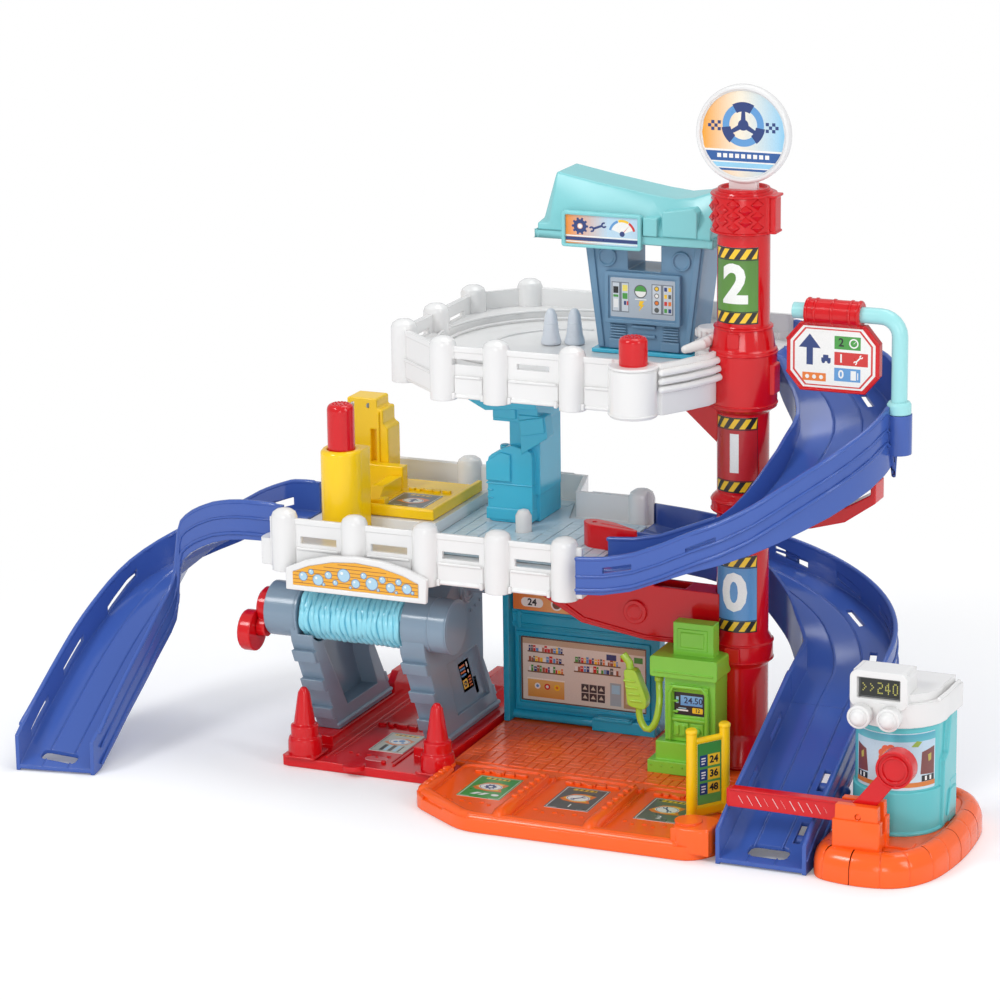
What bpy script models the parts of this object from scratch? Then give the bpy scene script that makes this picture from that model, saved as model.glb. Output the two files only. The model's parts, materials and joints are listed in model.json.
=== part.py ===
"""Toy garage: a red tower carries two white decks, four blue ramps, a tuning station,
a car lift, a car wash, a shop front, a fuel pump and a toll booth.

Metres, +Z up. The origin is the tower's axis on the ground. +X runs along the front.
"""
import math

import bpy
import bmesh
from mathutils import Matrix, Vector

for old in list(bpy.data.objects):
    bpy.data.objects.remove(old, do_unlink=True)

# Clearances
GAP = 0.0003
RUN = 0.0005

# Tower
TOWER_R = 0.019
TOWER_FOOT_R = 0.027
TOWER_FLANGE_R = 0.0225
TOWER_JOINT_Z = 0.200
TOWER_JOINT_R = 0.023
TOWER_COLLAR_R = 0.0245
TOWER_TOP_Z = 0.407
CAP_HEIGHT = 0.030
CAP_R = 0.0225
SIGN_R = 0.0352
SIGN_THICKNESS = 0.0055
SIGN_STEM_WIDTH = 0.021

# Ground pieces
BASE_FLOOR_Z = 0.010
BASE_SHELL = 0.0025
BASE_FRONT_Y = -0.190
BASE_BACK_Y = 0.054
BASE_LEFT_X = -0.2005
WASH_LANE_Z = 0.007
WASH_CURB_Z = 0.014
WASH_FRONT_Y = -0.109
WASH_BACK_Y = 0.088
BOOTH_BASE_Z = 0.020

# Decks
DECK_WALL = 0.0035
DECK_SKIRT = 0.018
DECK_PARAPET = 0.0195
POST_R = 0.0100
POST_RISE = 0.0070
DECK1_FLOOR_Z = 0.1705
DECK1_FRONT_Y = -0.100
DECK1_BACK_Y = 0.092
DECK1_LANE_BACK_Y = 0.047
DECK1_LEFT_X = -0.334
DECK1_RIGHT_X = -0.086
DECK2_FLOOR_Z = 0.303
DECK2_FRONT_Y = -0.070
DECK2_BACK_Y = 0.140
DECK2_LEFT_X = -0.258
DECK2_RIGHT_X = 0.000
INSERT_THICKNESS = 0.0012

# Ramps
TRACK_WIDTH = 0.066
TRACK_WALL = 0.003
TRACK_FLOOR = 0.003
TRACK_SKIRT = 0.012
TRACK_SIDE = 0.021
SPIRAL_R = 0.080
OUTER_R = SPIRAL_R + TRACK_WIDTH / 2
INNER_R = SPIRAL_R - TRACK_WIDTH / 2
EXIT_X = SPIRAL_R
BASE_RIGHT_X = EXIT_X - TRACK_WIDTH / 2 - 0.003
EXIT_MOUTH_Y = -0.186
EXIT_TOP_Y = -0.035
EXIT_TOP_Z = 0.071
MOUTH_Z = 0.0042
UPPER_END_Z = 0.1715

# Car wash
WASH_LEFT_X = -0.321
WASH_RIGHT_X = -0.232
WASH_WALL = 0.018
ROLLER_Y = -0.080
ROLLER_Z = 0.114
ROLLER_R = 0.0185
ROLLER_LEFT_X = -0.3145
ROLLER_RIGHT_X = -0.2305
HOUSING_R = 0.0205
AXLE_R = 0.003
CRANK_R = 0.015
CRANK_THROW = 0.020
CRANK_ANGLE = 233.0
KNOB_R = 0.0155

# Lift on the first deck
LIFT_BUTTON_X = DECK1_LEFT_X + 0.041
LIFT_BUTTON_Y = -0.0605
LIFT_HOUSING_R = 0.0157
LIFT_HOUSING_TOP_Z = 0.236
LIFT_BUTTON_R = 0.0102
LIFT_BUTTON_RISE = 0.034
LIFT_BUTTON_TRAVEL = 0.016
PLATFORM_LEFT_X = DECK1_LEFT_X + 0.042
PLATFORM_RIGHT_X = PLATFORM_LEFT_X + 0.063
PLATFORM_FRONT_Y = -0.040
PLATFORM_BACK_Y = 0.052
PLATFORM_THICKNESS = 0.0045
PLATFORM_RIM = 0.004
PAD_HEIGHT = 0.0100
LIFT_TOWER_TOP_Z = 0.252

# Horn button on the second deck
HORN_X = -0.056
HORN_Y = -0.074
HORN_WELL_R = 0.0178
HORN_R = 0.0103
HORN_RISE = 0.0215
HORN_TRAVEL = 0.010

# Tuning station
STATION_FRONT_Y = 0.030
STATION_DEPTH = 0.036
STATION_LEFT_X = -0.1345
STATION_RIGHT_X = -0.0405
STATION_TAPER = 0.0105
STATION_TOP_Z = 0.388
STATION_PLATE = 0.003
ROOF_RIM = 0.011

# Hanging sign
PIPE_R = 0.0058
PIPE_COLLAR_R = 0.0088
PIPE_Z = 0.3525
PIPE_STUB_X = 0.038
POLE_X = SPIRAL_R + TRACK_WIDTH / 2 + 0.004
SLEEVE_R = 0.0095
OCTAGON_HALF = 0.0345
OCTAGON_RISE = 0.0245
OCTAGON_Z = PIPE_Z - 0.032

# Pump
PUMP_X = -0.0245
PUMP_FRONT_Y = -0.044
PUMP_WIDTH = 0.039
PUMP_DEPTH = 0.030
PUMP_BASE_Z = 0.034
PUMP_NECK_Z = 0.083
PUMP_ROOF_Z = 0.099
PUMP_TAG_Z = 0.1235
HOSE_R = 0.0026
PUMP_PIN_R = 0.0014

# Toll booth and barrier
BOOTH_X = 0.1545
BOOTH_Y = -0.109
BOOTH_R = 0.0305
BOOTH_TOP_Z = 0.098
BOOTH_BACK_Y = BOOTH_Y + 0.027
BARRIER_Y = -0.168
BARRIER_THICKNESS = 0.008
PIVOT_X = 0.147
PIVOT_Z = 0.044
PIVOT_R = 0.002
BARRIER_LENGTH = 0.096
BARRIER_HEIGHT = 0.013
BARRIER_DISC_R = 0.0132
CHEEK = 0.006

DECK1_BOTTOM_Z = DECK1_FLOOR_Z - DECK_SKIRT
DECK1_TOP_Z = DECK1_FLOOR_Z + DECK_PARAPET
DECK2_BOTTOM_Z = DECK2_FLOOR_Z - DECK_SKIRT
DECK2_TOP_Z = DECK2_FLOOR_Z + DECK_PARAPET
DECK_FLOOR_THICKNESS = 0.003
HORN_WELL_TOP_Z = DECK2_TOP_Z - 0.0025
DECK1_UNDER_Z = DECK1_FLOOR_Z - DECK_FLOOR_THICKNESS
DECK2_UNDER_Z = DECK2_FLOOR_Z - DECK_FLOOR_THICKNESS


def make_object(name, vertices, faces):
    """Object from world vertices and faces, with its normals made to point out."""
    mesh = bpy.data.meshes.new(name)
    shape = bmesh.new()
    points = [shape.verts.new(v) for v in vertices]
    for face in faces:
        shape.faces.new([points[i] for i in face])
    bmesh.ops.recalc_face_normals(shape, faces=shape.faces)
    shape.to_mesh(mesh)
    shape.free()
    obj = bpy.data.objects.new(name, mesh)
    bpy.context.scene.collection.objects.link(obj)
    return obj


def to_axis(axis, a, b, c):
    """Point with in-plane coordinates a, b and height c along the named axis."""
    if axis == "X":
        return (c, a, b)
    if axis == "Y":
        return (a, c, b)
    return (a, b, c)


def prism(name, outline, low, high, axis="Z"):
    """Outline swept straight from low to high along an axis."""
    count = len(outline)
    vertices = [to_axis(axis, a, b, low) for a, b in outline]
    vertices += [to_axis(axis, a, b, high) for a, b in outline]
    faces = [tuple(range(count)), tuple(range(count, 2 * count))]
    for i in range(count):
        j = (i + 1) % count
        faces.append((i, j, j + count, i + count))
    return make_object(name, vertices, faces)


def block(name, x, y, z):
    """Upright box from ranges in X, Y and Z."""
    return prism(name, [(x[0], y[0]), (x[1], y[0]), (x[1], y[1]), (x[0], y[1])], z[0], z[1])


def turned(name, profile, centre=(0.0, 0.0), axis="Z", sides=24):
    """Profile of (radius, height) pairs turned about an axis through centre."""
    vertices = []
    faces = []
    for radius, height in profile:
        for k in range(sides):
            turn = 2 * math.pi * (k + 0.5) / sides
            a = centre[0] + radius * math.cos(turn)
            b = centre[1] + radius * math.sin(turn)
            vertices.append(to_axis(axis, a, b, height))
    for i in range(len(profile) - 1):
        for k in range(sides):
            j = (k + 1) % sides
            low = i * sides
            high = low + sides
            faces.append((low + k, low + j, high + j, high + k))
    faces.append(tuple(range(sides)))
    last = (len(profile) - 1) * sides
    faces.append(tuple(range(last, last + sides)))
    return make_object(name, vertices, faces)


def tube(name, path, radius, sides=10):
    """Round bar along a path of points, with flat ends."""
    points = [Vector(p) for p in path]
    vertices = []
    faces = []
    side = None
    for i, point in enumerate(points):
        ahead = points[min(i + 1, len(points) - 1)] - points[max(i - 1, 0)]
        ahead.normalize()
        if side is None:
            guide = Vector((0.0, 1.0, 0.0)) if abs(ahead.y) < 0.9 else Vector((1.0, 0.0, 0.0))
            side = ahead.cross(guide).normalized()
        side = (side - ahead * side.dot(ahead)).normalized()
        other = ahead.cross(side)
        for k in range(sides):
            turn = 2 * math.pi * (k + 0.5) / sides
            vertices.append(point + radius * (math.cos(turn) * side + math.sin(turn) * other))
    for i in range(len(points) - 1):
        for k in range(sides):
            j = (k + 1) % sides
            low = i * sides
            high = low + sides
            faces.append((low + k, low + j, high + j, high + k))
    faces.append(tuple(range(sides)))
    last = (len(points) - 1) * sides
    faces.append(tuple(range(last, last + sides)))
    return make_object(name, vertices, faces)


def boolean(target, tools, operation):
    """Joins or cuts target with each tool, keeps the result as its mesh, drops the tools."""
    for tool in tools:
        step = target.modifiers.new(operation.title(), "BOOLEAN")
        step.operation = operation
        step.solver = "EXACT"
        step.object = tool
    bpy.context.view_layer.update()
    graph = bpy.context.evaluated_depsgraph_get()
    mesh = bpy.data.meshes.new_from_object(target.evaluated_get(graph))
    target.modifiers.clear()
    target.data = mesh
    for tool in tools:
        bpy.data.objects.remove(tool, do_unlink=True)
    return target


def join(target, *tools):
    return boolean(target, tools, "UNION")


def cut(target, *tools):
    return boolean(target, tools, "DIFFERENCE")


def round_corners(outline, radius, steps=3):
    """Outline with each corner turned into an arc of about the given radius."""
    result = []
    count = len(outline)
    for i in range(count):
        before = Vector(outline[i - 1])
        corner = Vector(outline[i])
        after = Vector(outline[(i + 1) % count])
        back = before - corner
        ahead = after - corner
        reach = min(radius, 0.45 * back.length, 0.45 * ahead.length)
        start = corner + back.normalized() * reach
        end = corner + ahead.normalized() * reach
        for k in range(steps + 1):
            t = k / steps
            point = start * (1 - t) ** 2 + corner * (2 * t * (1 - t)) + end * t ** 2
            result.append((point.x, point.y))
    return result


def inset(outline, distance):
    """Outline moved inwards by a distance; the outline runs anticlockwise."""
    result = []
    count = len(outline)
    for i in range(count):
        before = Vector(outline[i - 1])
        corner = Vector(outline[i])
        after = Vector(outline[(i + 1) % count])
        first = (corner - before).normalized()
        second = (after - corner).normalized()
        n1 = Vector((-first.y, first.x))
        n2 = Vector((-second.y, second.x))
        middle = n1 + n2
        middle.normalize()
        scale = distance / max(0.35, middle.dot(n1))
        result.append((corner.x + middle.x * scale, corner.y + middle.y * scale))
    return result


def smooth_path(points, steps):
    """Evenly spaced points on a Catmull-Rom curve through the given points."""
    guide = [Vector(p) for p in points]
    first = guide[0] * 2 - guide[1]
    last = guide[-1] * 2 - guide[-2]
    guide = [first] + guide + [last]
    fine = []
    for i in range(1, len(guide) - 2):
        a, b, c, d = guide[i - 1:i + 3]
        for k in range(16):
            t = k / 16
            fine.append(0.5 * (2 * b + (c - a) * t + (2 * a - 5 * b + 4 * c - d) * t ** 2
                               + (3 * b - a - 3 * c + d) * t ** 3))
    fine.append(guide[-2])
    lengths = [0.0]
    for i in range(1, len(fine)):
        lengths.append(lengths[-1] + (fine[i] - fine[i - 1]).length)
    result = []
    k = 0
    for i in range(steps + 1):
        goal = lengths[-1] * i / steps
        while k < len(lengths) - 2 and lengths[k + 1] < goal:
            k += 1
        part = (goal - lengths[k]) / (lengths[k + 1] - lengths[k])
        result.append(fine[k].lerp(fine[k + 1], min(1.0, max(0.0, part))))
    return result


def headings(path, first=None, last=None):
    """Level unit direction at each point of a path."""
    result = []
    for i in range(len(path)):
        ahead = path[min(i + 1, len(path) - 1)] - path[max(i - 1, 0)]
        result.append(Vector((ahead.x, ahead.y)).normalized())
    if first is not None:
        result[0] = Vector(first).normalized()
    if last is not None:
        result[-1] = Vector(last).normalized()
    return result


def track(name, path, ways, left, right, halves=None, skirt_depth=TRACK_SKIRT):
    """U-shaped track along a path of floor points, with wall heights on the left and right."""
    rib = 0.0100
    rib_half = 0.0008
    rib_top = 0.0012
    vertices = []
    faces = []
    count = 0
    for i, point in enumerate(path):
        way = ways[i]
        side = Vector((-way.y, way.x))
        half = halves[i] if halves else TRACK_WIDTH / 2
        inner = half - TRACK_WALL
        under = max(point.z - TRACK_FLOOR, 0.0010) - point.z
        skirt = max(point.z - skirt_depth, 0.0) - point.z
        profile = [
            (-half, skirt), (-inner, skirt), (-inner, under), (inner, under),
            (inner, skirt), (half, skirt), (half, left[i]), (inner, left[i]), (inner, 0.0),
            (rib + rib_half, 0.0), (rib, rib_top), (rib - rib_half, 0.0),
            (rib_half - rib, 0.0), (-rib, rib_top), (-rib - rib_half, 0.0),
            (-inner, 0.0), (-inner, right[i]), (-half, right[i]),
        ]
        count = len(profile)
        for across, up in profile:
            spot = Vector((point.x, point.y)) + side * across
            vertices.append((spot.x, spot.y, point.z + up))
    for i in range(len(path) - 1):
        for k in range(count):
            j = (k + 1) % count
            low = i * count
            high = low + count
            faces.append((low + k, low + j, high + j, high + k))
    faces.append(tuple(range(count)))
    last = (len(path) - 1) * count
    faces.append(tuple(range(last, last + count)))
    return make_object(name, vertices, faces)


def lay_track(edges, heights):
    """Floor points, headings and half widths of a track from its edge points and heights."""
    path = []
    ways = []
    halves = []
    for (left, right), height in zip(edges, heights):
        left = Vector(left)
        right = Vector(right)
        across = left - right
        middle = (left + right) / 2
        path.append(Vector((middle.x, middle.y, height)))
        ways.append(Vector((across.y, -across.x)).normalized())
        halves.append(across.length / 2)
    return path, ways, halves


def track_slot(path, ways, at, across, length, low, high, width):
    """Slanted box that cuts a slot in a track: at is the share of the way along the path."""
    place = at * (len(path) - 1)
    i = min(int(place), len(path) - 2)
    point = path[i].lerp(path[i + 1], place - i)
    way = ways[i].lerp(ways[i + 1], place - i).normalized()
    rise = (path[i + 1] - path[i])
    grade = rise.z / math.hypot(rise.x, rise.y)
    side = Vector((-way.y, way.x))
    vertices = []
    for along in (-length / 2, length / 2):
        for offset in (across - width / 2, across + width / 2):
            for up in (low, high):
                spot = Vector((point.x, point.y)) + way * along + side * offset
                vertices.append((spot.x, spot.y, point.z + grade * along + up))
    faces = [(0, 1, 3, 2), (4, 5, 7, 6), (0, 1, 5, 4), (2, 3, 7, 6), (0, 2, 6, 4), (1, 3, 7, 5)]
    return make_object("slot", vertices, faces)


def place_origin(obj, point):
    """Moves an object's origin to a point and leaves its shape where it is."""
    obj.data.transform(Matrix.Translation(-Vector(point)))
    obj.location = point


def finish(obj, color, roughness=0.32, sharp=35.0):
    """Moulded plastic look and smooth shading that keeps hard edges."""
    material = bpy.data.materials.new(obj.name + "_plastic")
    material.use_nodes = True
    shader = material.node_tree.nodes["Principled BSDF"]
    shader.inputs["Base Color"].default_value = (*color, 1.0)
    shader.inputs["Roughness"].default_value = roughness
    shader.inputs["Metallic"].default_value = 0.0
    obj.data.materials.clear()
    obj.data.materials.append(material)
    obj.data.shade_smooth()
    obj.data.set_sharp_from_angle(angle=math.radians(sharp))
    return obj


RED = (0.78, 0.02, 0.03)
WHITE = (0.86, 0.85, 0.83)
BLUE = (0.04, 0.10, 0.42)
TURQUOISE = (0.03, 0.32, 0.48)
SKY = (0.08, 0.48, 0.66)
MINT = (0.30, 0.72, 0.72)
STEEL_BLUE = (0.16, 0.30, 0.42)
WASH_GREY = (0.22, 0.32, 0.40)
ROLLER_BLUE = (0.18, 0.66, 0.82)
ORANGE = (0.90, 0.12, 0.02)
YELLOW = (0.95, 0.62, 0.01)
GREEN = (0.22, 0.55, 0.05)
LIME = (0.38, 0.60, 0.06)
AQUA = (0.17, 0.60, 0.64)
BLACK = (0.02, 0.02, 0.02)
PALE_BLUE = (0.62, 0.76, 0.82)
PALE_GREY = (0.66, 0.70, 0.74)
TAN = (0.70, 0.36, 0.12)

# Main base: a shallow orange shell with dividers between three parking bays, and a foot under the tower
base_outline = round_corners([
    (BASE_LEFT_X + 0.003, BASE_FRONT_Y + 0.036), (-0.145, BASE_FRONT_Y), (0.030, BASE_FRONT_Y),
    (BASE_RIGHT_X, BASE_FRONT_Y + 0.018), (BASE_RIGHT_X, BASE_BACK_Y), (BASE_LEFT_X, BASE_BACK_Y)], 0.012)
main_base = prism("main_base", base_outline, 0.0, BASE_FLOOR_Z)
corner = block("corner", (0.014, BASE_RIGHT_X - 0.002), (BASE_FRONT_Y + 0.003, -0.160),
               (0.004, BASE_FLOOR_Z + 0.012))
kerb = block("kerb", (-0.140, 0.016), (BASE_FRONT_Y + 0.0015, BASE_FRONT_Y + 0.010),
             (0.004, BASE_FLOOR_Z + 0.003))
BAY_FRONT_Y = -0.150
BAY_BACK_Y = -0.094
dividers = []
for divider_x in (-0.118, -0.049):
    nose = prism("divider", round_corners([
        (divider_x - 0.005, BAY_FRONT_Y - 0.016), (divider_x + 0.005, BAY_FRONT_Y - 0.016),
        (divider_x + 0.004, BAY_BACK_Y), (divider_x - 0.004, BAY_BACK_Y)], 0.004, 2),
        0.004, BASE_FLOOR_Z + 0.005)
    dividers.append(nose)
back_kerb = block("back_kerb", (-0.176, 0.004), (BAY_BACK_Y - 0.002, BAY_BACK_Y + 0.004),
                  (0.004, BASE_FLOOR_Z + 0.0025))
sockets = [turned("socket", [(0.0075, 0.004), (0.0075, BASE_FLOOR_Z + 0.013),
                             (0.0055, BASE_FLOOR_Z + 0.015)], spot, sides=14)
           for spot in ((0.034, -0.040), (0.034, 0.036))]
join(main_base, corner, kerb, back_kerb, *dividers, *sockets)
NOTCH_X = BASE_LEFT_X + 0.0125
notch_outline = [(BASE_LEFT_X - 0.010, -0.117), (NOTCH_X, -0.117), (NOTCH_X, -0.080), (BASE_LEFT_X - 0.010, -0.080)]
hollow = prism("hollow", inset(base_outline, BASE_SHELL), -0.001, BASE_FLOOR_Z - BASE_SHELL)
notch_wall = prism("notch_wall", inset(notch_outline, -BASE_SHELL), -0.010, BASE_FLOOR_Z)
cut(hollow, notch_wall)
cut(main_base, hollow, prism("notch", notch_outline, -0.001, BASE_FLOOR_Z + 0.010))
tower_seat = turned("tower_seat", [(TOWER_R - 0.006, 0.0), (TOWER_R - 0.005, BASE_FLOOR_Z - 0.001)], sides=20)
join(main_base, tower_seat)
finish(main_base, ORANGE)

# Tower: lower half on the base, upper half above the joint, cap and round sign
tower_profile = [
    (TOWER_FOOT_R, BASE_FLOOR_Z + GAP), (TOWER_FOOT_R, BASE_FLOOR_Z + 0.004),
    (TOWER_R + 0.003, BASE_FLOOR_Z + 0.020), (TOWER_R, BASE_FLOOR_Z + 0.024), (TOWER_R, 0.086),
    (TOWER_FLANGE_R, 0.090), (TOWER_FLANGE_R, 0.104), (TOWER_R, 0.110),
    (TOWER_R, TOWER_JOINT_Z)]
tower_lower = turned("tower_lower", tower_profile, sides=32)


def tower_clearance():
    """Cutter a gap larger than the lower tower."""
    profile = [(radius + 2 * GAP, height) for radius, height in tower_profile]
    return turned("tower_clearance", profile, sides=32)


finish(tower_lower, RED)
COLLAR_LOW_Z = DECK2_BOTTOM_Z - 0.005
COLLAR_HIGH_Z = DECK2_TOP_Z
tower_upper = turned("tower_upper", [
    (TOWER_R, TOWER_JOINT_Z + GAP), (TOWER_JOINT_R, TOWER_JOINT_Z + GAP + 0.002),
    (TOWER_JOINT_R, 0.212), (TOWER_R, 0.216), (TOWER_R, COLLAR_LOW_Z - 0.004),
    (TOWER_COLLAR_R, COLLAR_LOW_Z), (TOWER_COLLAR_R, COLLAR_HIGH_Z),
    (TOWER_R + 0.004, COLLAR_HIGH_Z + 0.001), (TOWER_R + 0.002, COLLAR_HIGH_Z + 0.015),
    (TOWER_R, COLLAR_HIGH_Z + 0.018), (TOWER_R, TOWER_TOP_Z)], sides=32)
gusset = prism("gusset", [(-TOWER_R + 0.004, DECK2_BOTTOM_Z - 0.036),
                          (-TOWER_R + 0.004, DECK2_BOTTOM_Z - GAP),
                          (-0.052, DECK2_BOTTOM_Z - GAP), (-0.052, DECK2_BOTTOM_Z - 0.003)],
               -0.006, 0.006, "Y")
join(tower_upper, gusset)
finish(tower_upper, RED)
CAP_LOW_Z = TOWER_TOP_Z + GAP
CAP_TOP_Z = CAP_LOW_Z + CAP_HEIGHT
tower_cap = turned("tower_cap", [
    (CAP_R, CAP_LOW_Z), (CAP_R, CAP_TOP_Z - 0.004), (CAP_R - 0.002, CAP_TOP_Z)], sides=32)
shoulder = block("shoulder", (0.0, CAP_R), (-0.010, 0.006), (CAP_LOW_Z, CAP_TOP_Z - 0.003))
join(tower_cap, shoulder)
SIGN_SLOT_DEPTH = 0.012
SIGN_SLOT = (SIGN_THICKNESS + 2 * GAP) / 2
cut(tower_cap, block("slot", (-SIGN_STEM_WIDTH / 2 - GAP, SIGN_STEM_WIDTH / 2 + GAP),
                     (-SIGN_SLOT, SIGN_SLOT), (CAP_TOP_Z - SIGN_SLOT_DEPTH, CAP_TOP_Z + 0.010)))
finish(tower_cap, RED)
SIGN_Z = CAP_TOP_Z + 0.0045 + SIGN_R
top_sign = turned("top_sign", [
    (SIGN_R - 0.001, -SIGN_THICKNESS / 2), (SIGN_R, -SIGN_THICKNESS / 2 + 0.001),
    (SIGN_R, SIGN_THICKNESS / 2 - 0.001), (SIGN_R - 0.001, SIGN_THICKNESS / 2)],
    (0.0, SIGN_Z), "Y", 40)
stem = block("stem", (-SIGN_STEM_WIDTH / 2, SIGN_STEM_WIDTH / 2),
             (-SIGN_THICKNESS / 2, SIGN_THICKNESS / 2),
             (CAP_TOP_Z - SIGN_SLOT_DEPTH + GAP, SIGN_Z - SIGN_R + 0.010))
join(top_sign, stem)
cut(top_sign, turned("dish", [(SIGN_R - 0.004, -SIGN_THICKNESS / 2 - 0.001),
                              (SIGN_R - 0.004, -SIGN_THICKNESS / 2 + 0.0008)],
                     (0.0, SIGN_Z), "Y", 40))
finish(top_sign, WHITE)


def deck_post(x, y, floor_z, lean=0.0):
    """Round-topped post that stands in a deck's wall."""
    low = floor_z - DECK_SKIRT - 0.002
    high = floor_z + DECK_PARAPET + POST_RISE
    return turned("post", [(POST_R, low), (POST_R, high - 0.0065), (POST_R * 0.86, high - 0.003),
                           (POST_R * 0.55, high - 0.0008), (POST_R * 0.15, high)],
                  (x, y + lean), sides=14)


def shell_deck(name, outline, floor_z):
    """Deck with a wall round it, a floor and an open underside."""
    deck = prism(name, outline, floor_z - DECK_SKIRT, floor_z + DECK_PARAPET)
    inner = inset(outline, DECK_WALL)
    cut(deck, prism("top", inner, floor_z, floor_z + 0.050),
        prism("under", inner, floor_z - 0.050, floor_z - DECK_FLOOR_THICKNESS))
    return deck


# First deck: white, open at the left ramp's lane and along its right end
LEFT_LANE_Y = -0.045
deck1_outline = [
    (DECK1_LEFT_X, DECK1_FRONT_Y), (DECK1_RIGHT_X, DECK1_FRONT_Y),
    (DECK1_RIGHT_X, DECK1_LANE_BACK_Y), (-0.146, DECK1_LANE_BACK_Y),
    (-0.158, DECK1_BACK_Y), (DECK1_LEFT_X, DECK1_BACK_Y)]
deck_one = shell_deck("deck_one", deck1_outline, DECK1_FLOOR_Z)
POST_PITCH = 0.057
POST_FIRST_X = DECK1_LEFT_X + 0.011
post_y = DECK1_FRONT_Y + 0.002
deck1_posts = [deck_post(POST_FIRST_X + POST_PITCH * i, post_y, DECK1_FLOOR_Z) for i in range(4)]
deck1_posts.append(deck_post(DECK1_RIGHT_X - 0.014, post_y, DECK1_FLOOR_Z))
deck1_posts.append(deck_post(-0.256, DECK1_BACK_Y - 0.002, DECK1_FLOOR_Z))
deck1_posts.append(deck_post(DECK1_RIGHT_X - POST_R, DECK1_LANE_BACK_Y - 0.002, DECK1_FLOOR_Z))
end_block = prism("end_block", round_corners([
    (DECK1_LEFT_X - 0.010, DECK1_FRONT_Y + 0.002), (DECK1_LEFT_X + 0.002, DECK1_FRONT_Y + 0.002),
    (DECK1_LEFT_X + 0.002, DECK1_FRONT_Y + 0.0185), (DECK1_LEFT_X - 0.010, DECK1_FRONT_Y + 0.0185)],
    0.004, 2), DECK1_BOTTOM_Z, DECK1_FLOOR_Z + 0.002)
PAD_LEFT_X = PLATFORM_LEFT_X - 0.004
PAD_RIGHT_X = PLATFORM_RIGHT_X + 0.004
pad = block("pad", (PAD_LEFT_X, PAD_RIGHT_X), (PLATFORM_FRONT_Y - 0.004, PLATFORM_BACK_Y + 0.004),
            (DECK1_FLOOR_Z - 0.001, DECK1_FLOOR_Z + PAD_HEIGHT))
PEG_X = -0.168
PEG_Y = -0.012
peg = turned("peg", [(0.0062, DECK1_FLOOR_Z - 0.001), (0.0062, DECK1_FLOOR_Z + 0.0135),
                     (0.004, DECK1_FLOOR_Z + 0.0175), (0.001, DECK1_FLOOR_Z + 0.0185)],
             (PEG_X, PEG_Y), sides=12)
join(deck_one, *deck1_posts, end_block, pad, peg)
lane_half = TRACK_WIDTH / 2
deck1_cuts = [
    block("left_lane", (DECK1_LEFT_X - 0.020, DECK1_LEFT_X + DECK_WALL + 0.001),
          (LEFT_LANE_Y - lane_half + 0.001, LEFT_LANE_Y + lane_half - 0.001),
          (DECK1_FLOOR_Z, DECK1_FLOOR_Z + 0.060)),
    block("right_lanes", (DECK1_RIGHT_X - DECK_WALL - 0.001, DECK1_RIGHT_X + 0.020),
          (DECK1_FRONT_Y + DECK_WALL, DECK1_LANE_BACK_Y - DECK_WALL),
          (DECK1_FLOOR_Z, DECK1_FLOOR_Z + 0.060))]
for i in range(4):
    slot_x = POST_FIRST_X + POST_PITCH * (i + 0.5)
    deck1_cuts.append(block("slot", (slot_x - 0.0145, slot_x + 0.0145),
                            (DECK1_FRONT_Y - 0.002, DECK1_FRONT_Y + DECK_WALL + 0.001),
                            (DECK1_FLOOR_Z + 0.001, DECK1_FLOOR_Z + 0.0065)))
cut(deck_one, *deck1_cuts)
finish(deck_one, WHITE)

# Pale floor panel laid in the first deck, right of the lift's pad
insert_outline = [
    (PAD_RIGHT_X + GAP, DECK1_FRONT_Y + DECK_WALL + GAP + POST_R),
    (DECK1_RIGHT_X - 0.001, DECK1_FRONT_Y + DECK_WALL + GAP + POST_R),
    (DECK1_RIGHT_X - 0.001, DECK1_LANE_BACK_Y - DECK_WALL - GAP - POST_R),
    (-0.146 - DECK_WALL - GAP, DECK1_LANE_BACK_Y - DECK_WALL - GAP - POST_R),
    (-0.146 - DECK_WALL - 0.014, DECK1_BACK_Y - DECK_WALL - 0.010),
    (PAD_RIGHT_X + GAP, DECK1_BACK_Y - DECK_WALL - 0.010)]
INSERT_LOW_Z = DECK1_FLOOR_Z + GAP
INSERT_TOP_Z = INSERT_LOW_Z + INSERT_THICKNESS
deck_one_floor = prism("deck_one_floor", insert_outline, INSERT_LOW_Z, INSERT_TOP_Z)
cut(deck_one_floor, turned("peg_hole", [(0.0066, INSERT_LOW_Z - 0.002), (0.0066, INSERT_TOP_Z + 0.002)],
                           (PEG_X, PEG_Y), sides=12))
finish(deck_one_floor, PALE_BLUE)

# Second deck: white, chamfered at its left end, with a dished floor and a horn button's well
deck2_outline = [
    (-0.210, DECK2_FRONT_Y), (-0.036, DECK2_FRONT_Y), (-0.025, -0.052), (-0.0145, -0.031),
    (-0.012, -0.012), (DECK2_RIGHT_X - GAP, 0.010), (DECK2_RIGHT_X - GAP, SPIRAL_R + lane_half + 0.003),
    (-0.040, SPIRAL_R + lane_half + 0.003), (-0.066, DECK2_BACK_Y), (-0.226, DECK2_BACK_Y),
    (DECK2_LEFT_X, 0.104), (DECK2_LEFT_X, -0.028)]
deck_two = prism("deck_two", deck2_outline, DECK2_BOTTOM_Z, DECK2_TOP_Z)
well = turned("well", [(HORN_WELL_R - 0.001, DECK2_BOTTOM_Z - 0.001), (HORN_WELL_R, DECK2_BOTTOM_Z + 0.001),
                       (HORN_WELL_R, HORN_WELL_TOP_Z - 0.002), (HORN_WELL_R - 0.002, HORN_WELL_TOP_Z)],
              (HORN_X, HORN_Y), sides=28)
deck2_inner = inset(deck2_outline, DECK_WALL)
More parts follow.
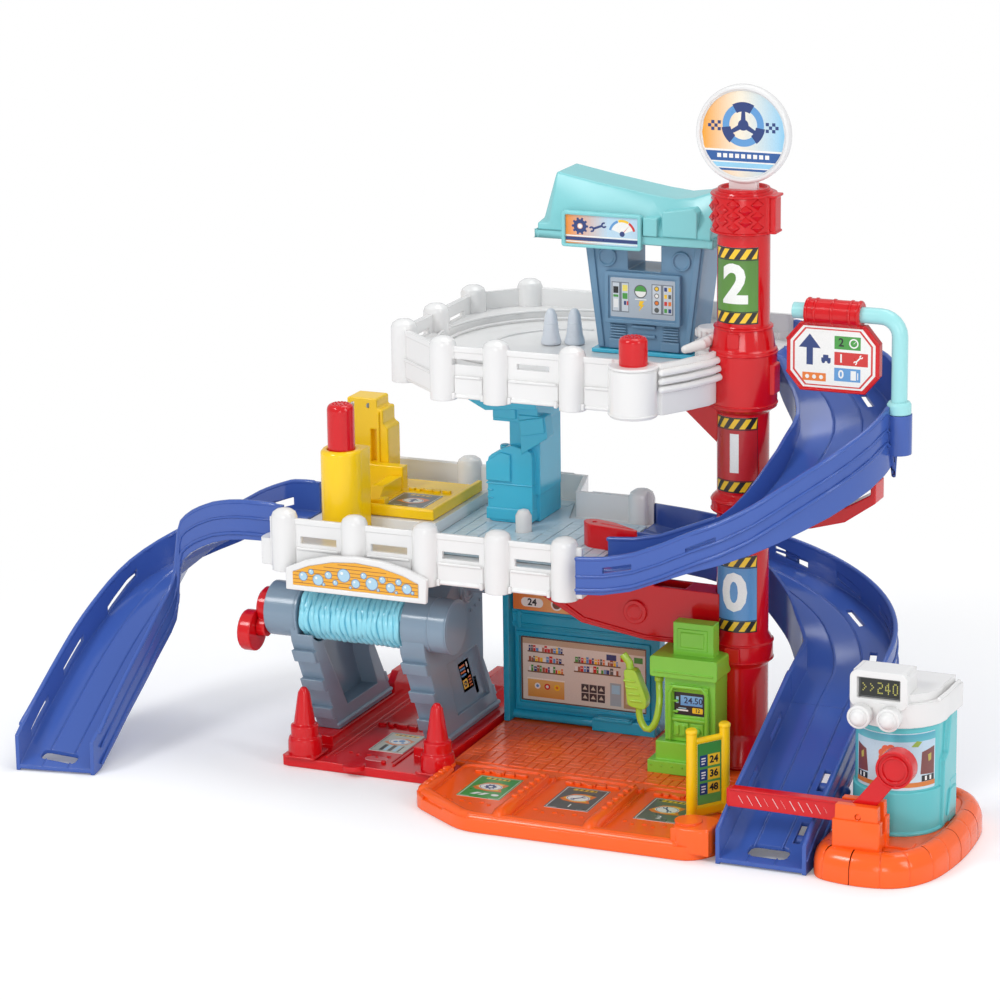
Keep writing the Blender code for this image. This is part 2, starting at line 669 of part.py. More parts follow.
cut(deck_two, prism("top", deck2_inner, DECK2_FLOOR_Z + 0.006, DECK2_TOP_Z + 0.030),
    prism("under", deck2_inner, DECK2_BOTTOM_Z - 0.030, DECK2_UNDER_Z))
dish = [(-0.040, -0.064)]
for k in range(13):
    angle = math.radians(270 - 15 * k)
    dish.append((-0.150 + 0.098 * math.cos(angle), 0.034 + 0.098 * math.sin(angle)))
dish += [(-0.070, 0.132), (-0.042, 0.110), (-0.005, 0.110), (-0.005, 0.016), (-0.018, -0.014), (-0.032, -0.050)]
cut(deck_two, prism("dish", dish, DECK2_FLOOR_Z, DECK2_FLOOR_Z + 0.010))
deck2_posts = [deck_post(x, y, DECK2_FLOOR_Z) for x, y in (
    (-0.206, DECK2_FRONT_Y + 0.002), (-0.164, DECK2_FRONT_Y + 0.002), (-0.105, DECK2_FRONT_Y + 0.002),
    (-0.256, -0.026), (-0.256, 0.032), (-0.256, 0.102), (-0.224, DECK2_BACK_Y - 0.002))]
join(deck_two, *deck2_posts, well)
deck2_cuts = [
    turned("bore", [(HORN_R + RUN, DECK2_BOTTOM_Z + 0.003), (HORN_R + RUN, DECK2_TOP_Z + 0.010)],
           (HORN_X, HORN_Y), sides=24),
    turned("tower_hole", [(TOWER_COLLAR_R + GAP, DECK2_BOTTOM_Z - 0.030),
                          (TOWER_COLLAR_R + GAP, DECK2_TOP_Z + 0.030)], sides=32),
    block("ramp_lane", (-0.012, 0.020), (SPIRAL_R - lane_half, SPIRAL_R + lane_half - 0.001),
          (DECK2_FLOOR_Z, DECK2_TOP_Z + 0.030))]
for slot_x in (-0.185, -0.1345):
    deck2_cuts.append(block("slot", (slot_x - 0.0125, slot_x + 0.0125),
                            (DECK2_FRONT_Y - 0.002, DECK2_FRONT_Y + DECK_WALL + 0.001),
                            (DECK2_FLOOR_Z + 0.0065, DECK2_FLOOR_Z + 0.0105)))
for slot_y in (0.003, 0.067):
    deck2_cuts.append(block("slot", (DECK2_LEFT_X - 0.002, DECK2_LEFT_X + DECK_WALL + 0.001),
                            (slot_y - 0.013, slot_y + 0.013),
                            (DECK2_FLOOR_Z + 0.0065, DECK2_FLOOR_Z + 0.0105)))
cut(deck_two, *deck2_cuts)
finish(deck_two, WHITE)

# Horn button: a red plunger in the well
horn_button = turned("horn_button", [
    (HORN_R, HORN_WELL_TOP_Z - 0.016), (HORN_R, HORN_WELL_TOP_Z + HORN_RISE - 0.002),
    (HORN_R - 0.002, HORN_WELL_TOP_Z + HORN_RISE)], (HORN_X, HORN_Y), sides=24)
place_origin(horn_button, (HORN_X, HORN_Y, HORN_WELL_TOP_Z))
finish(horn_button, RED)

# Support column between the decks
COLUMN_FRONT_Y = 0.005
COLUMN_BACK_Y = 0.056
column_low_z = INSERT_TOP_Z + GAP
support_column = block("support_column", (-0.190, -0.166), (COLUMN_FRONT_Y + 0.010, COLUMN_BACK_Y),
                       (column_low_z, DECK2_UNDER_Z - GAP))
shaft = block("shaft", (-0.188, -0.164), (COLUMN_FRONT_Y + 0.006, COLUMN_BACK_Y - 0.004),
              (DECK1_TOP_Z + 0.004, DECK2_UNDER_Z - GAP))
front_box = prism("front_box", round_corners([
    (-0.204, column_low_z), (-0.168, column_low_z), (-0.168, 0.228), (-0.186, 0.232),
    (-0.204, 0.222)], 0.004, 2), COLUMN_FRONT_Y, COLUMN_BACK_Y - 0.020, "Y")
head_box = block("head_box", (-0.199, -0.163), (COLUMN_FRONT_Y, COLUMN_BACK_Y - 0.004), (0.250, 0.292))
flange = prism("flange", [(-0.232, 0.272), (-0.220, 0.266), (-0.204, 0.258), (-0.163, 0.262),
                          (-0.163, 0.276), (-0.232, 0.276)], COLUMN_FRONT_Y - 0.003,
               COLUMN_BACK_Y - 0.002, "Y")
panel = prism("panel", [(-0.176, 0.226), (-0.155, 0.240), (-0.157, 0.256), (-0.178, 0.256)],
              COLUMN_FRONT_Y - 0.001, COLUMN_FRONT_Y + 0.012, "Y")
join(support_column, shaft, front_box, head_box, flange, panel)
finish(support_column, SKY)

# Car lift: button housing, button, guide tower and platform with its carriage
lift_housing = turned("lift_housing", [
    (LIFT_HOUSING_R, DECK1_FLOOR_Z + GAP), (LIFT_HOUSING_R, LIFT_HOUSING_TOP_Z - 0.002),
    (LIFT_HOUSING_R - 0.002, LIFT_HOUSING_TOP_Z)], (LIFT_BUTTON_X, LIFT_BUTTON_Y), sides=28)
button_low_z = LIFT_HOUSING_TOP_Z - 0.020
cut(lift_housing, turned("bore", [
    (LIFT_BUTTON_R + RUN, button_low_z - LIFT_BUTTON_TRAVEL - 0.002),
    (LIFT_BUTTON_R + RUN, LIFT_HOUSING_TOP_Z + 0.010)], (LIFT_BUTTON_X, LIFT_BUTTON_Y), sides=24))
finish(lift_housing, YELLOW)
lift_button = turned("lift_button", [
    (LIFT_BUTTON_R, button_low_z), (LIFT_BUTTON_R, LIFT_HOUSING_TOP_Z + LIFT_BUTTON_RISE - 0.003),
    (LIFT_BUTTON_R - 0.002, LIFT_HOUSING_TOP_Z + LIFT_BUTTON_RISE)],
    (LIFT_BUTTON_X, LIFT_BUTTON_Y), sides=24)
place_origin(lift_button, (LIFT_BUTTON_X, LIFT_BUTTON_Y, LIFT_HOUSING_TOP_Z))
finish(lift_button, RED)
LIFT_TOWER_FRONT_Y = 0.028
LIFT_TOWER_BACK_Y = 0.050
LIFT_TOWER_LEFT_X = DECK1_LEFT_X + DECK_WALL + GAP
LIFT_TOWER_RIGHT_X = PAD_LEFT_X - GAP
GROOVE_HALF = 0.0035
GROOVE_X = (LIFT_TOWER_LEFT_X + LIFT_TOWER_RIGHT_X) / 2 + 0.006
lift_tower = prism("lift_tower", round_corners([
    (LIFT_TOWER_LEFT_X, DECK1_FLOOR_Z + GAP), (LIFT_TOWER_RIGHT_X, DECK1_FLOOR_Z + GAP),
    (LIFT_TOWER_RIGHT_X, LIFT_TOWER_TOP_Z - 0.022), (LIFT_TOWER_RIGHT_X - 0.004, LIFT_TOWER_TOP_Z - 0.020),
    (LIFT_TOWER_RIGHT_X - 0.004, LIFT_TOWER_TOP_Z - 0.008), (LIFT_TOWER_RIGHT_X - 0.009, LIFT_TOWER_TOP_Z - 0.008),
    (LIFT_TOWER_RIGHT_X - 0.009, LIFT_TOWER_TOP_Z), (LIFT_TOWER_LEFT_X, LIFT_TOWER_TOP_Z)], 0.0015, 2), LIFT_TOWER_FRONT_Y,
    LIFT_TOWER_BACK_Y, "Y")
cut(lift_tower, block("groove", (GROOVE_X - GROOVE_HALF, GROOVE_X + GROOVE_HALF),
                      (LIFT_TOWER_FRONT_Y - 0.002, LIFT_TOWER_FRONT_Y + 0.005),
                      (DECK1_FLOOR_Z + 0.004, LIFT_TOWER_TOP_Z - 0.024)))
finish(lift_tower, YELLOW)
PLATFORM_LOW_Z = DECK1_FLOOR_Z + PAD_HEIGHT + GAP
PLATFORM_TOP_Z = PLATFORM_LOW_Z + PLATFORM_THICKNESS
lift_platform = block("lift_platform", (PLATFORM_LEFT_X, PLATFORM_RIGHT_X),
                      (PLATFORM_FRONT_Y, PLATFORM_BACK_Y),
                      (PLATFORM_LOW_Z, PLATFORM_TOP_Z + PLATFORM_RIM))
cut(lift_platform, block("tray", (PLATFORM_LEFT_X - 0.005, PLATFORM_RIGHT_X - 0.004),
                         (PLATFORM_FRONT_Y + 0.004, PLATFORM_BACK_Y + 0.005),
                         (PLATFORM_TOP_Z, PLATFORM_TOP_Z + 0.020)))
CARRIAGE_TOP_Z = PLATFORM_TOP_Z + 0.018
carriage = block("carriage", (GROOVE_X - 0.010, PLATFORM_LEFT_X + 0.012),
                 (LIFT_TOWER_FRONT_Y - 0.010, LIFT_TOWER_FRONT_Y - RUN),
                 (PLATFORM_LOW_Z, CARRIAGE_TOP_Z))
tongue = block("tongue", (GROOVE_X - GROOVE_HALF + RUN, GROOVE_X + GROOVE_HALF - RUN),
               (LIFT_TOWER_FRONT_Y - 0.002, LIFT_TOWER_FRONT_Y + 0.0043),
               (PLATFORM_LOW_Z, CARRIAGE_TOP_Z))
join(lift_platform, carriage, tongue)
place_origin(lift_platform, (GROOVE_X, LIFT_TOWER_FRONT_Y, PLATFORM_LOW_Z))
finish(lift_platform, YELLOW)

# Red divider between the two lanes at the first deck's right end
NOSE_Y = 0.017 - INNER_R
divider_nose = prism("divider_nose", round_corners([
    (-0.113, NOSE_Y), (-0.106, NOSE_Y - 0.008), (-0.066, NOSE_Y - 0.0145), (-0.066, NOSE_Y - 0.011),
    (-0.090, NOSE_Y + 0.004), (-0.106, NOSE_Y + 0.0085), (-0.113, NOSE_Y + 0.006)], 0.004, 3), INSERT_TOP_Z + GAP, INSERT_TOP_Z + 0.018)
cut(divider_nose, turned("hole", [(0.0017, INSERT_TOP_Z + 0.012), (0.0017, INSERT_TOP_Z + 0.030)],
                         (-0.104, NOSE_Y), sides=10))
finish(divider_nose, RED)

# Upper ramp: from the second deck clockwise round the tower to the first deck
TIGHT_R = INNER_R - 0.009
upper_turns = [
    (90, INNER_R, 0.000, 0.016, 0.010), (82, INNER_R - 0.002, -0.004, 0.018, 0.010),
    (72, INNER_R - 0.005, -0.008, 0.021, 0.010), (62, INNER_R - 0.008, -0.015, 0.024, 0.010), (52, TIGHT_R, -0.021, 0.027, 0.010),
    (42, TIGHT_R, -0.026, 0.031, 0.010), (32, TIGHT_R, -0.031, 0.033, 0.010),
    (22, TIGHT_R, -0.036, 0.034, 0.011), (12, TIGHT_R, -0.041, 0.034, 0.012),
    (2, TIGHT_R, -0.045, 0.034, 0.014), (-8, INNER_R - 0.008, -0.050, 0.034, 0.017), (-18, INNER_R - 0.007, -0.056, 0.033, 0.020),
    (-28, INNER_R - 0.005, -0.062, 0.032, 0.022), (-38, INNER_R - 0.003, -0.069, 0.031, 0.022),
    (-48, INNER_R - 0.0015, -0.076, 0.029, 0.021),
    (-58, INNER_R, -0.084, 0.026, 0.019), (-68, INNER_R, -0.092, 0.022, 0.016), (-79, INNER_R, -0.100, 0.019, 0.014),
    (-90, INNER_R, -0.107, 0.017, 0.013)]
upper_edges = []
upper_heights = []
upper_left = []
upper_right = []
for degrees, near_r, height, left_wall, right_wall in upper_turns:
    angle = math.radians(degrees)
    across = Vector((math.cos(angle), math.sin(angle)))
    upper_edges.append((across * OUTER_R, across * near_r))
    upper_heights.append(DECK2_FLOOR_Z + height)
    upper_left.append(left_wall)
    upper_right.append(right_wall)
for x, height in ((-0.022, 0.0155), (-0.044, 0.0065), (-0.066, 0.0015), (DECK1_RIGHT_X + GAP, 0.0)):
    upper_edges.append(((x, -OUTER_R), (x, -INNER_R)))
    upper_heights.append(UPPER_END_Z + height)
    upper_left.append(0.015)
    upper_right.append(0.013)
upper_path, upper_ways, upper_halves = lay_track(upper_edges, upper_heights)
ramp_upper = track("ramp_upper", upper_path, upper_ways, upper_left, upper_right, upper_halves)
wall_at = TRACK_WIDTH / 2 - TRACK_WALL / 2
upper_slots = [track_slot(upper_path, upper_ways, at, wall_at, 0.022, 0.004, 0.008, 0.007)
               for at in (0.80, 0.93)]
upper_slots += [track_slot(upper_path, upper_ways, at, 0.020, 0.018, -0.008, 0.008, 0.005)
                for at in (0.24, 0.42)]
cut(ramp_upper, *upper_slots)
POLE_SOCKET_R = 0.0095
POLE_SOCKET_LOW_Z = 0.254
POLE_SOCKET_TOP_Z = 0.283
socket = turned("pole_socket", [(POLE_SOCKET_R, POLE_SOCKET_LOW_Z), (POLE_SOCKET_R, POLE_SOCKET_TOP_Z)],
                (POLE_X, 0.0), sides=20)
join(ramp_upper, socket)
cut(ramp_upper, turned("pole_bore", [(PIPE_R + GAP, POLE_SOCKET_LOW_Z + 0.006),
                                     (PIPE_R + GAP, POLE_SOCKET_TOP_Z + 0.010)], (POLE_X, 0.0), sides=14),
    turned("collar_room", [(PIPE_COLLAR_R + GAP, POLE_SOCKET_TOP_Z), (PIPE_COLLAR_R + GAP, POLE_SOCKET_TOP_Z + 0.020)],
           (POLE_X, 0.0), sides=20))
finish(ramp_upper, BLUE)

# Lower ramp: from the first deck behind the tower and down its right side
LOWER_START_Z = DECK1_FLOOR_Z + 0.001
lower_start_x = DECK1_RIGHT_X + GAP
lower_edges = [
    ((lower_start_x, 0.0465), (lower_start_x, -0.0195)), ((-0.0865, 0.058), (-0.068, -0.012)),
    ((-0.083, 0.071), (-0.055, 0.000)), ((-0.075, 0.084), (-0.0465, 0.014)),
    ((-0.064, 0.094), (-0.039, 0.027)), ((-0.050, 0.102), (-0.030, 0.036))]
for degrees in range(105, -1, -7):
    angle = math.radians(degrees)
    across = Vector((math.cos(angle), math.sin(angle)))
    tight = math.sin(math.radians(min(1.0, (105 - degrees) / 45, degrees / 35) * 90))
    lower_edges.append((across * OUTER_R, across * (INNER_R + (TIGHT_R - INNER_R) * tight)))
for y in (-0.012, -0.0235, EXIT_TOP_Y):
    lower_edges.append(((EXIT_X + TRACK_WIDTH / 2, y), (EXIT_X - TRACK_WIDTH / 2, y)))
lower_run = [0.0]
for i in range(1, len(lower_edges)):
    here = (Vector(lower_edges[i][0]) + Vector(lower_edges[i][1])) / 2
    there = (Vector(lower_edges[i - 1][0]) + Vector(lower_edges[i - 1][1])) / 2
    lower_run.append(lower_run[-1] + (here - there).length)
lower_heights = [LOWER_START_Z + (EXIT_TOP_Z - LOWER_START_Z) * run / lower_run[-1] for run in lower_run]
lower_path, lower_ways, lower_halves = lay_track(lower_edges, lower_heights)
lower_count = len(lower_path)
lower_left = [0.015 + (TRACK_SIDE - 0.015) * min(1.0, i / 5) for i in range(lower_count)]
lower_right = [0.011 + 0.012 * min(1.0, i / 9) for i in range(lower_count)]
ramp_lower = track("ramp_lower", lower_path, lower_ways, lower_left, lower_right, lower_halves)
lower_slots = [track_slot(lower_path, lower_ways, at, wall_at, 0.026, 0.004, 0.010, 0.007)
               for at in (0.34, 0.50, 0.66, 0.82)]
lower_slots += [track_slot(lower_path, lower_ways, at, 0.018, 0.022, -0.008, 0.008, 0.005)
                for at in (0.60, 0.80)]
cut(ramp_lower, *lower_slots)
finish(ramp_lower, BLUE)

# Exit ramp: straight, down to the ground between the base and the booth
exit_path = []
for i in range(11):
    share = i / 10
    ease = max(0.0, 1 - share) ** 1.06
    exit_path.append(Vector((EXIT_X, EXIT_TOP_Y - GAP + (EXIT_MOUTH_Y - EXIT_TOP_Y) * share,
                             MOUTH_Z + (EXIT_TOP_Z - MOUTH_Z) * ease)))
exit_ways = [Vector((0.0, -1.0))] * 11
exit_side = [TRACK_SIDE] * 11
exit_side[10] = TRACK_SIDE - 0.004
exit_right = [TRACK_SIDE + 0.003] * 9 + [TRACK_SIDE + 0.002, TRACK_SIDE]
ramp_exit = track("ramp_exit", exit_path, exit_ways, exit_side, exit_right)
exit_cuts = [track_slot(exit_path, exit_ways, at, -wall_at, 0.024, 0.004, 0.010, 0.007)
             for at in (0.22, 0.56)]
exit_cuts += [track_slot(exit_path, exit_ways, at, 0.018, 0.020, -0.010, 0.010, 0.005)
              for at in (0.45, 0.78)]
mouth_hole = prism("mouth_hole", round_corners([
    (EXIT_X - 0.013, EXIT_MOUTH_Y + 0.006), (EXIT_X + 0.017, EXIT_MOUTH_Y + 0.006),
    (EXIT_X + 0.017, EXIT_MOUTH_Y + 0.018), (EXIT_X - 0.013, EXIT_MOUTH_Y + 0.018)], 0.006, 3),
    -0.002, 0.030)
cut(ramp_exit, mouth_hole, *exit_cuts)
finish(ramp_exit, BLUE)

# Left ramp: from the first deck's left end in a curve to the ground in front
left_points = [
    (DECK1_LEFT_X - GAP, LEFT_LANE_Y, DECK1_FLOOR_Z + 0.001), (-0.366, LEFT_LANE_Y + 0.002, 0.170),
    (-0.402, -0.031, 0.156), (-0.436, -0.021, 0.132), (-0.463, -0.034, 0.103), (-0.476, -0.070, 0.072),
    (-0.479, -0.115, 0.043), (-0.479, -0.160, 0.015), (-0.4765, EXIT_MOUTH_Y + 0.002, MOUTH_Z)]
left_path = smooth_path(left_points, 24)
left_ways = headings(left_path, (-1.0, 0.0), (0.16, -1.0))
left_right = [TRACK_SIDE + 0.002] * 25
left_left = [TRACK_SIDE + 0.004 * math.sin(math.pi * i / 24) for i in range(25)]
left_halves = [TRACK_WIDTH / 2] * 22 + [0.0325, 0.0318, 0.0308]
ramp_left = track("ramp_left", left_path, left_ways, left_left, left_right, left_halves, 0.008)
left_cuts = [track_slot(left_path, left_ways, at, -wall_at, 0.030, 0.004, 0.010, 0.007)
             for at in (0.14, 0.34, 0.52, 0.70, 0.88)]
foot = left_path[-1]
left_cuts.append(prism("mouth_hole", round_corners([
    (foot.x - 0.017, foot.y + 0.006), (foot.x + 0.013, foot.y + 0.006),
    (foot.x + 0.013, foot.y + 0.016), (foot.x - 0.017, foot.y + 0.016)], 0.005, 3), -0.002, 0.030))
cut(ramp_left, *left_cuts)
finish(ramp_left, BLUE)

# Brackets that run from the tower to the ramps
bracket_top = DECK1_BOTTOM_Z - GAP
bracket_left = prism("bracket_left", [
    (-0.010, 0.099), (-0.010, 0.140), (-0.064, 0.141), (-0.072, bracket_top),
    (-0.152, bracket_top), (-0.152, 0.124), (-0.121, 0.107), (-0.070, 0.099)],
    -0.015, 0.007, "Y")
cut(bracket_left, prism("pocket", [(-0.148, bracket_top + 0.010), (-0.148, 0.128), (-0.121, 0.111),
                                   (-0.070, 0.103), (-0.040, 0.103), (-0.040, 0.150)],
                        -0.012, 0.004, "Y"))
tower_bite = tower_clearance()
boss = turned("boss", [(0.009, -0.0175), (0.009, -0.010)], (-0.078, 0.120), "Y", 16)
join(bracket_left, boss)
cut(bracket_left, tower_bite)
finish(bracket_left, RED)
bracket_right = prism("bracket_right", [
    (TOWER_R + GAP, 0.192), (0.060, 0.199), (0.085, 0.206), (0.108, 0.222), (0.108, 0.237), (0.104, 0.237),
    (0.104, 0.228), (0.085, 0.217), (TOWER_R + GAP, 0.213)], -0.024, -0.004, "Y")
cut(bracket_right, turned("bite", [(TOWER_JOINT_R + GAP, 0.150), (TOWER_JOINT_R + GAP, 0.260)], sides=32))
finish(bracket_right, RED)

# Hanging sign: a bent pipe in the ramp's socket, and the octagon that swings on it
bend = 0.014
pipe_points = [(PIPE_STUB_X, 0.0, PIPE_Z), (POLE_X - bend, 0.0, PIPE_Z)]
for k in range(1, 7):
    angle = math.radians(15 * k)
    pipe_points.append((POLE_X - bend + bend * math.sin(angle), 0.0, PIPE_Z - bend + bend * math.cos(angle)))
pipe_points.append((POLE_X, 0.0, POLE_SOCKET_LOW_Z + 0.006 + GAP))
sign_pipe = tube("sign_pipe", pipe_points, PIPE_R, 14)
pipe_collar = turned("pipe_collar", [(PIPE_COLLAR_R, POLE_SOCKET_TOP_Z + GAP), (PIPE_COLLAR_R, POLE_SOCKET_TOP_Z + 0.007),
                                     (0.0075, POLE_SOCKET_TOP_Z + 0.009)], (POLE_X, 0.0), sides=20)
join(sign_pipe, pipe_collar)
finish(sign_pipe, MINT)
SIGN_MID_X = 0.0685
octagon = []
for side_x, side_z in ((1, -1), (1, 1), (-1, 1), (-1, -1)):
    tip = (SIGN_MID_X + side_x * OCTAGON_HALF, OCTAGON_Z + side_z * (OCTAGON_RISE - 0.0125))
    shoulder_point = (SIGN_MID_X + side_x * (OCTAGON_HALF - 0.0105), OCTAGON_Z + side_z * OCTAGON_RISE)
    octagon += [tip, shoulder_point] if side_x * side_z > 0 else [shoulder_point, tip]
octagon_sign = prism("octagon_sign", octagon, -0.0035, 0.0035, "Y")
sleeve = turned("sleeve", [(SLEEVE_R, SIGN_MID_X - 0.0205), (SLEEVE_R, SIGN_MID_X + 0.0205)],
                (0.0, PIPE_Z), "X", 20)
hanger = block("hanger", (SIGN_MID_X - 0.019, SIGN_MID_X + 0.019), (-0.003, 0.003),
               (OCTAGON_Z + 0.018, PIPE_Z - 0.004))
join(octagon_sign, hanger, sleeve)
cut(octagon_sign, turned("sleeve_bore", [(PIPE_R + RUN, SIGN_MID_X - 0.030), (PIPE_R + RUN, SIGN_MID_X + 0.030)],
                         (0.0, PIPE_Z), "X", 14))
place_origin(octagon_sign, (SIGN_MID_X, 0.0, PIPE_Z))
finish(octagon_sign, RED)

# Tuning station: plate, arched body, folded roof, sign plate and control panel
station_low_z = DECK2_FLOOR_Z + GAP
STATION_MID_X = (STATION_LEFT_X + STATION_RIGHT_X) / 2
STATION_BACK_Y = STATION_FRONT_Y + STATION_DEPTH
station_base = block("station_base", (STATION_LEFT_X + STATION_TAPER - 0.004, STATION_RIGHT_X - STATION_TAPER + 0.002),
                     (STATION_FRONT_Y - 0.004, STATION_BACK_Y + 0.002),
                     (station_low_z, station_low_z + STATION_PLATE))
finish(station_base, SKY)
body_low_z = station_low_z + STATION_PLATE + GAP
station_body = prism("station_body", [
    (STATION_LEFT_X + STATION_TAPER, body_low_z), (STATION_RIGHT_X - STATION_TAPER, body_low_z),
    (STATION_RIGHT_X, STATION_TOP_Z), (STATION_LEFT_X, STATION_TOP_Z)], STATION_FRONT_Y,
    STATION_BACK_Y, "Y")
window_low_z = STATION_TOP_Z - 0.022
STATION_WINDOW_HALF = 0.013
cut(station_body, block("window", (STATION_MID_X - STATION_WINDOW_HALF, STATION_MID_X + STATION_WINDOW_HALF),
                        (STATION_FRONT_Y - 0.010, STATION_BACK_Y + 0.010),
                        (window_low_z, STATION_TOP_Z + 0.010)),
    block("back_bay", (STATION_MID_X - 0.030, STATION_MID_X + 0.030),
          (STATION_FRONT_Y + 0.010, STATION_BACK_Y + 0.010), (body_low_z - 0.010, window_low_z - 0.004)))
rings = [turned("ring", [(0.0072, STATION_FRONT_Y + 0.002), (0.0072, STATION_FRONT_Y - 0.0012),
                         (0.0055, STATION_FRONT_Y - 0.0012), (0.0055, STATION_FRONT_Y - 0.0004)],
                (STATION_MID_X + offset, STATION_TOP_Z - 0.013), "Y", 20) for offset in (-0.029, 0.029)]
join(station_body, *rings)
finish(station_body, STEEL_BLUE)
ROOF_LOW_Z = STATION_TOP_Z + GAP
ROOF_LEFT_X = STATION_LEFT_X - 0.0325
ROOF_RIGHT_X = STATION_RIGHT_X + 0.009
ROOF_FRONT_Y = STATION_FRONT_Y - 0.012
ROOF_BACK_Y = STATION_BACK_Y + 0.004
roof_left_top = ROOF_LOW_Z + 0.047
roof_valley = ROOF_LOW_Z + 0.032
roof_right_top = ROOF_LOW_Z + 0.039
ROOF_SLANT = 0.014
roof_sections = []
for x, top in ((ROOF_LEFT_X, ROOF_LOW_Z + 0.013), (ROOF_LEFT_X + 0.010, roof_left_top),
               (ROOF_LEFT_X + 0.042, roof_valley + 0.009), (STATION_MID_X + 0.006, roof_valley + 0.002),
               (STATION_MID_X + 0.024, roof_valley), (ROOF_RIGHT_X - 0.018, roof_right_top - 0.005),
               (ROOF_RIGHT_X - 0.004, roof_right_top), (ROOF_RIGHT_X, roof_right_top - 0.006)):
    roof_sections.append([(x, ROOF_FRONT_Y, ROOF_LOW_Z), (x, ROOF_BACK_Y, ROOF_LOW_Z),
                          (x, ROOF_BACK_Y, top), (x, ROOF_FRONT_Y + ROOF_SLANT, top),
                          (x, ROOF_FRONT_Y, min(top, ROOF_LOW_Z + ROOF_RIM))])
roof_vertices = [v for section in roof_sections for v in section]
roof_faces = [tuple(range(5)), tuple(range(len(roof_vertices) - 5, len(roof_vertices)))]
for i in range(len(roof_sections) - 1):
    for k in range(5):
        j = (k + 1) % 5
        roof_faces.append((5 * i + k, 5 * i + j, 5 * i + 5 + j, 5 * i + 5 + k))
station_roof = make_object("station_roof", roof_vertices, roof_faces)
cut(station_roof, block("hollow", (ROOF_LEFT_X + 0.014, ROOF_RIGHT_X - 0.003),
                        (ROOF_FRONT_Y + ROOF_SLANT + 0.003, ROOF_BACK_Y - 0.003),
                        (ROOF_LOW_Z - 0.010, ROOF_LOW_Z + 0.020)))
finish(station_roof, MINT)
SIGN_PLATE_LEFT_X = STATION_MID_X - 0.056
station_sign = block("station_sign", (SIGN_PLATE_LEFT_X, SIGN_PLATE_LEFT_X + 0.057),
                     (ROOF_FRONT_Y - 0.0025 - GAP, ROOF_FRONT_Y - GAP),
                     (ROOF_LOW_Z - 0.003, ROOF_LOW_Z + 0.0205))
finish(station_sign, STEEL_BLUE)
station_panel = block("station_panel", (STATION_MID_X - 0.028, STATION_MID_X + 0.028),
                      (STATION_FRONT_Y - 0.0035 - GAP, STATION_FRONT_Y - GAP), (body_low_z + 0.020, window_low_z - 0.002))
finish(station_panel, STEEL_BLUE)

# Tyre stack and two small cones on the second deck
tyre_profile = [(0.006, station_low_z)]
for i in range(3):
    low = station_low_z + 0.0085 * i
    tyre_profile += [(0.0092, low), (0.0108, low + 0.0025), (0.0108, low + 0.006), (0.0092, low + 0.0084)]
tyre_profile.append((0.006, station_low_z + 0.0255))
tyre_stack = turned("tyre_stack", tyre_profile[1:], (-0.036, 0.030), sides=18)
finish(tyre_stack, WHITE)
for name, spot in (("deck_cone_left", (-0.166, 0.040)), ("deck_cone_right", (-0.1495, 0.046))):
    cone = turned(name, [(0.0078, station_low_z), (0.0078, station_low_z + 0.002), (0.0062, station_low_z + 0.008),
                         (0.0046, station_low_z + 0.022), (0.0022, station_low_z + 0.027)], spot, sides=16)
    finish(cone, PALE_GREY)

# Car wash base: red lane with raised curbs and the walls of its rear gate
CONE_Y = -0.098
CONE_LEFT_X = -0.311
CONE_RIGHT_X = -0.2025
CONE_BLOCK_R = 0.0128
WASH_X = (-0.327, BASE_LEFT_X - 0.001)
wash_outline = round_corners([(WASH_X[0], WASH_FRONT_Y + 0.001), (WASH_X[1] - 0.001, WASH_FRONT_Y),
                              (WASH_X[1], WASH_BACK_Y), (WASH_X[0], WASH_BACK_Y)], 0.006, 2)
lane_left_x = WASH_LEFT_X + WASH_WALL + 0.002
lane_right_x = WASH_RIGHT_X - 0.002
wash_base = prism("wash_base", wash_outline, 0.0, WASH_LANE_Z)
left_curb = block("left_curb", (WASH_X[0] + 0.001, lane_left_x), (-0.072, WASH_BACK_Y - 0.001), (0.003, WASH_CURB_Z))
right_curb = block("right_curb", (lane_right_x, WASH_X[1] - 0.001), (-0.072, WASH_BACK_Y - 0.001), (0.003, WASH_CURB_Z))
rear_left = prism("rear_left", [(0.040, 0.003), (0.040, 0.022), (0.048, 0.030), (WASH_BACK_Y - 0.001, 0.030),
                                (WASH_BACK_Y - 0.001, 0.003)][::-1], lane_left_x - 0.006, lane_left_x, "X")
rear_right = prism("rear_right", [(0.052, 0.003), (0.052, 0.022), (0.060, 0.030), (WASH_BACK_Y - 0.001, 0.030),
                                  (WASH_BACK_Y - 0.001, 0.003)][::-1], lane_right_x, lane_right_x + 0.006, "X")
tab = block("tab", (WASH_X[1] - 0.004, CONE_RIGHT_X + CONE_BLOCK_R), (CONE_Y - 0.0075, CONE_Y + 0.014), (0.0, WASH_LANE_Z))
join(wash_base, left_curb, right_curb, rear_left, rear_right, tab)
cut(wash_base, prism("hollow", inset(wash_outline, BASE_SHELL), -0.001, WASH_LANE_Z - BASE_SHELL))
finish(wash_base, RED)
for name, spot in (("cone_left", (CONE_LEFT_X, CONE_Y)), ("cone_right", (CONE_RIGHT_X, CONE_Y))):
    low = WASH_LANE_Z + GAP
    cone = turned(name, [(CONE_BLOCK_R, low), (CONE_BLOCK_R, 0.018), (0.0120, 0.022), (0.0105, 0.0225), (0.0105, 0.031),
                         (0.0082, 0.032), (0.0060, 0.046), (0.0045, 0.056), (0.0020, 0.060)], spot, sides=20)
    finish(cone, RED)

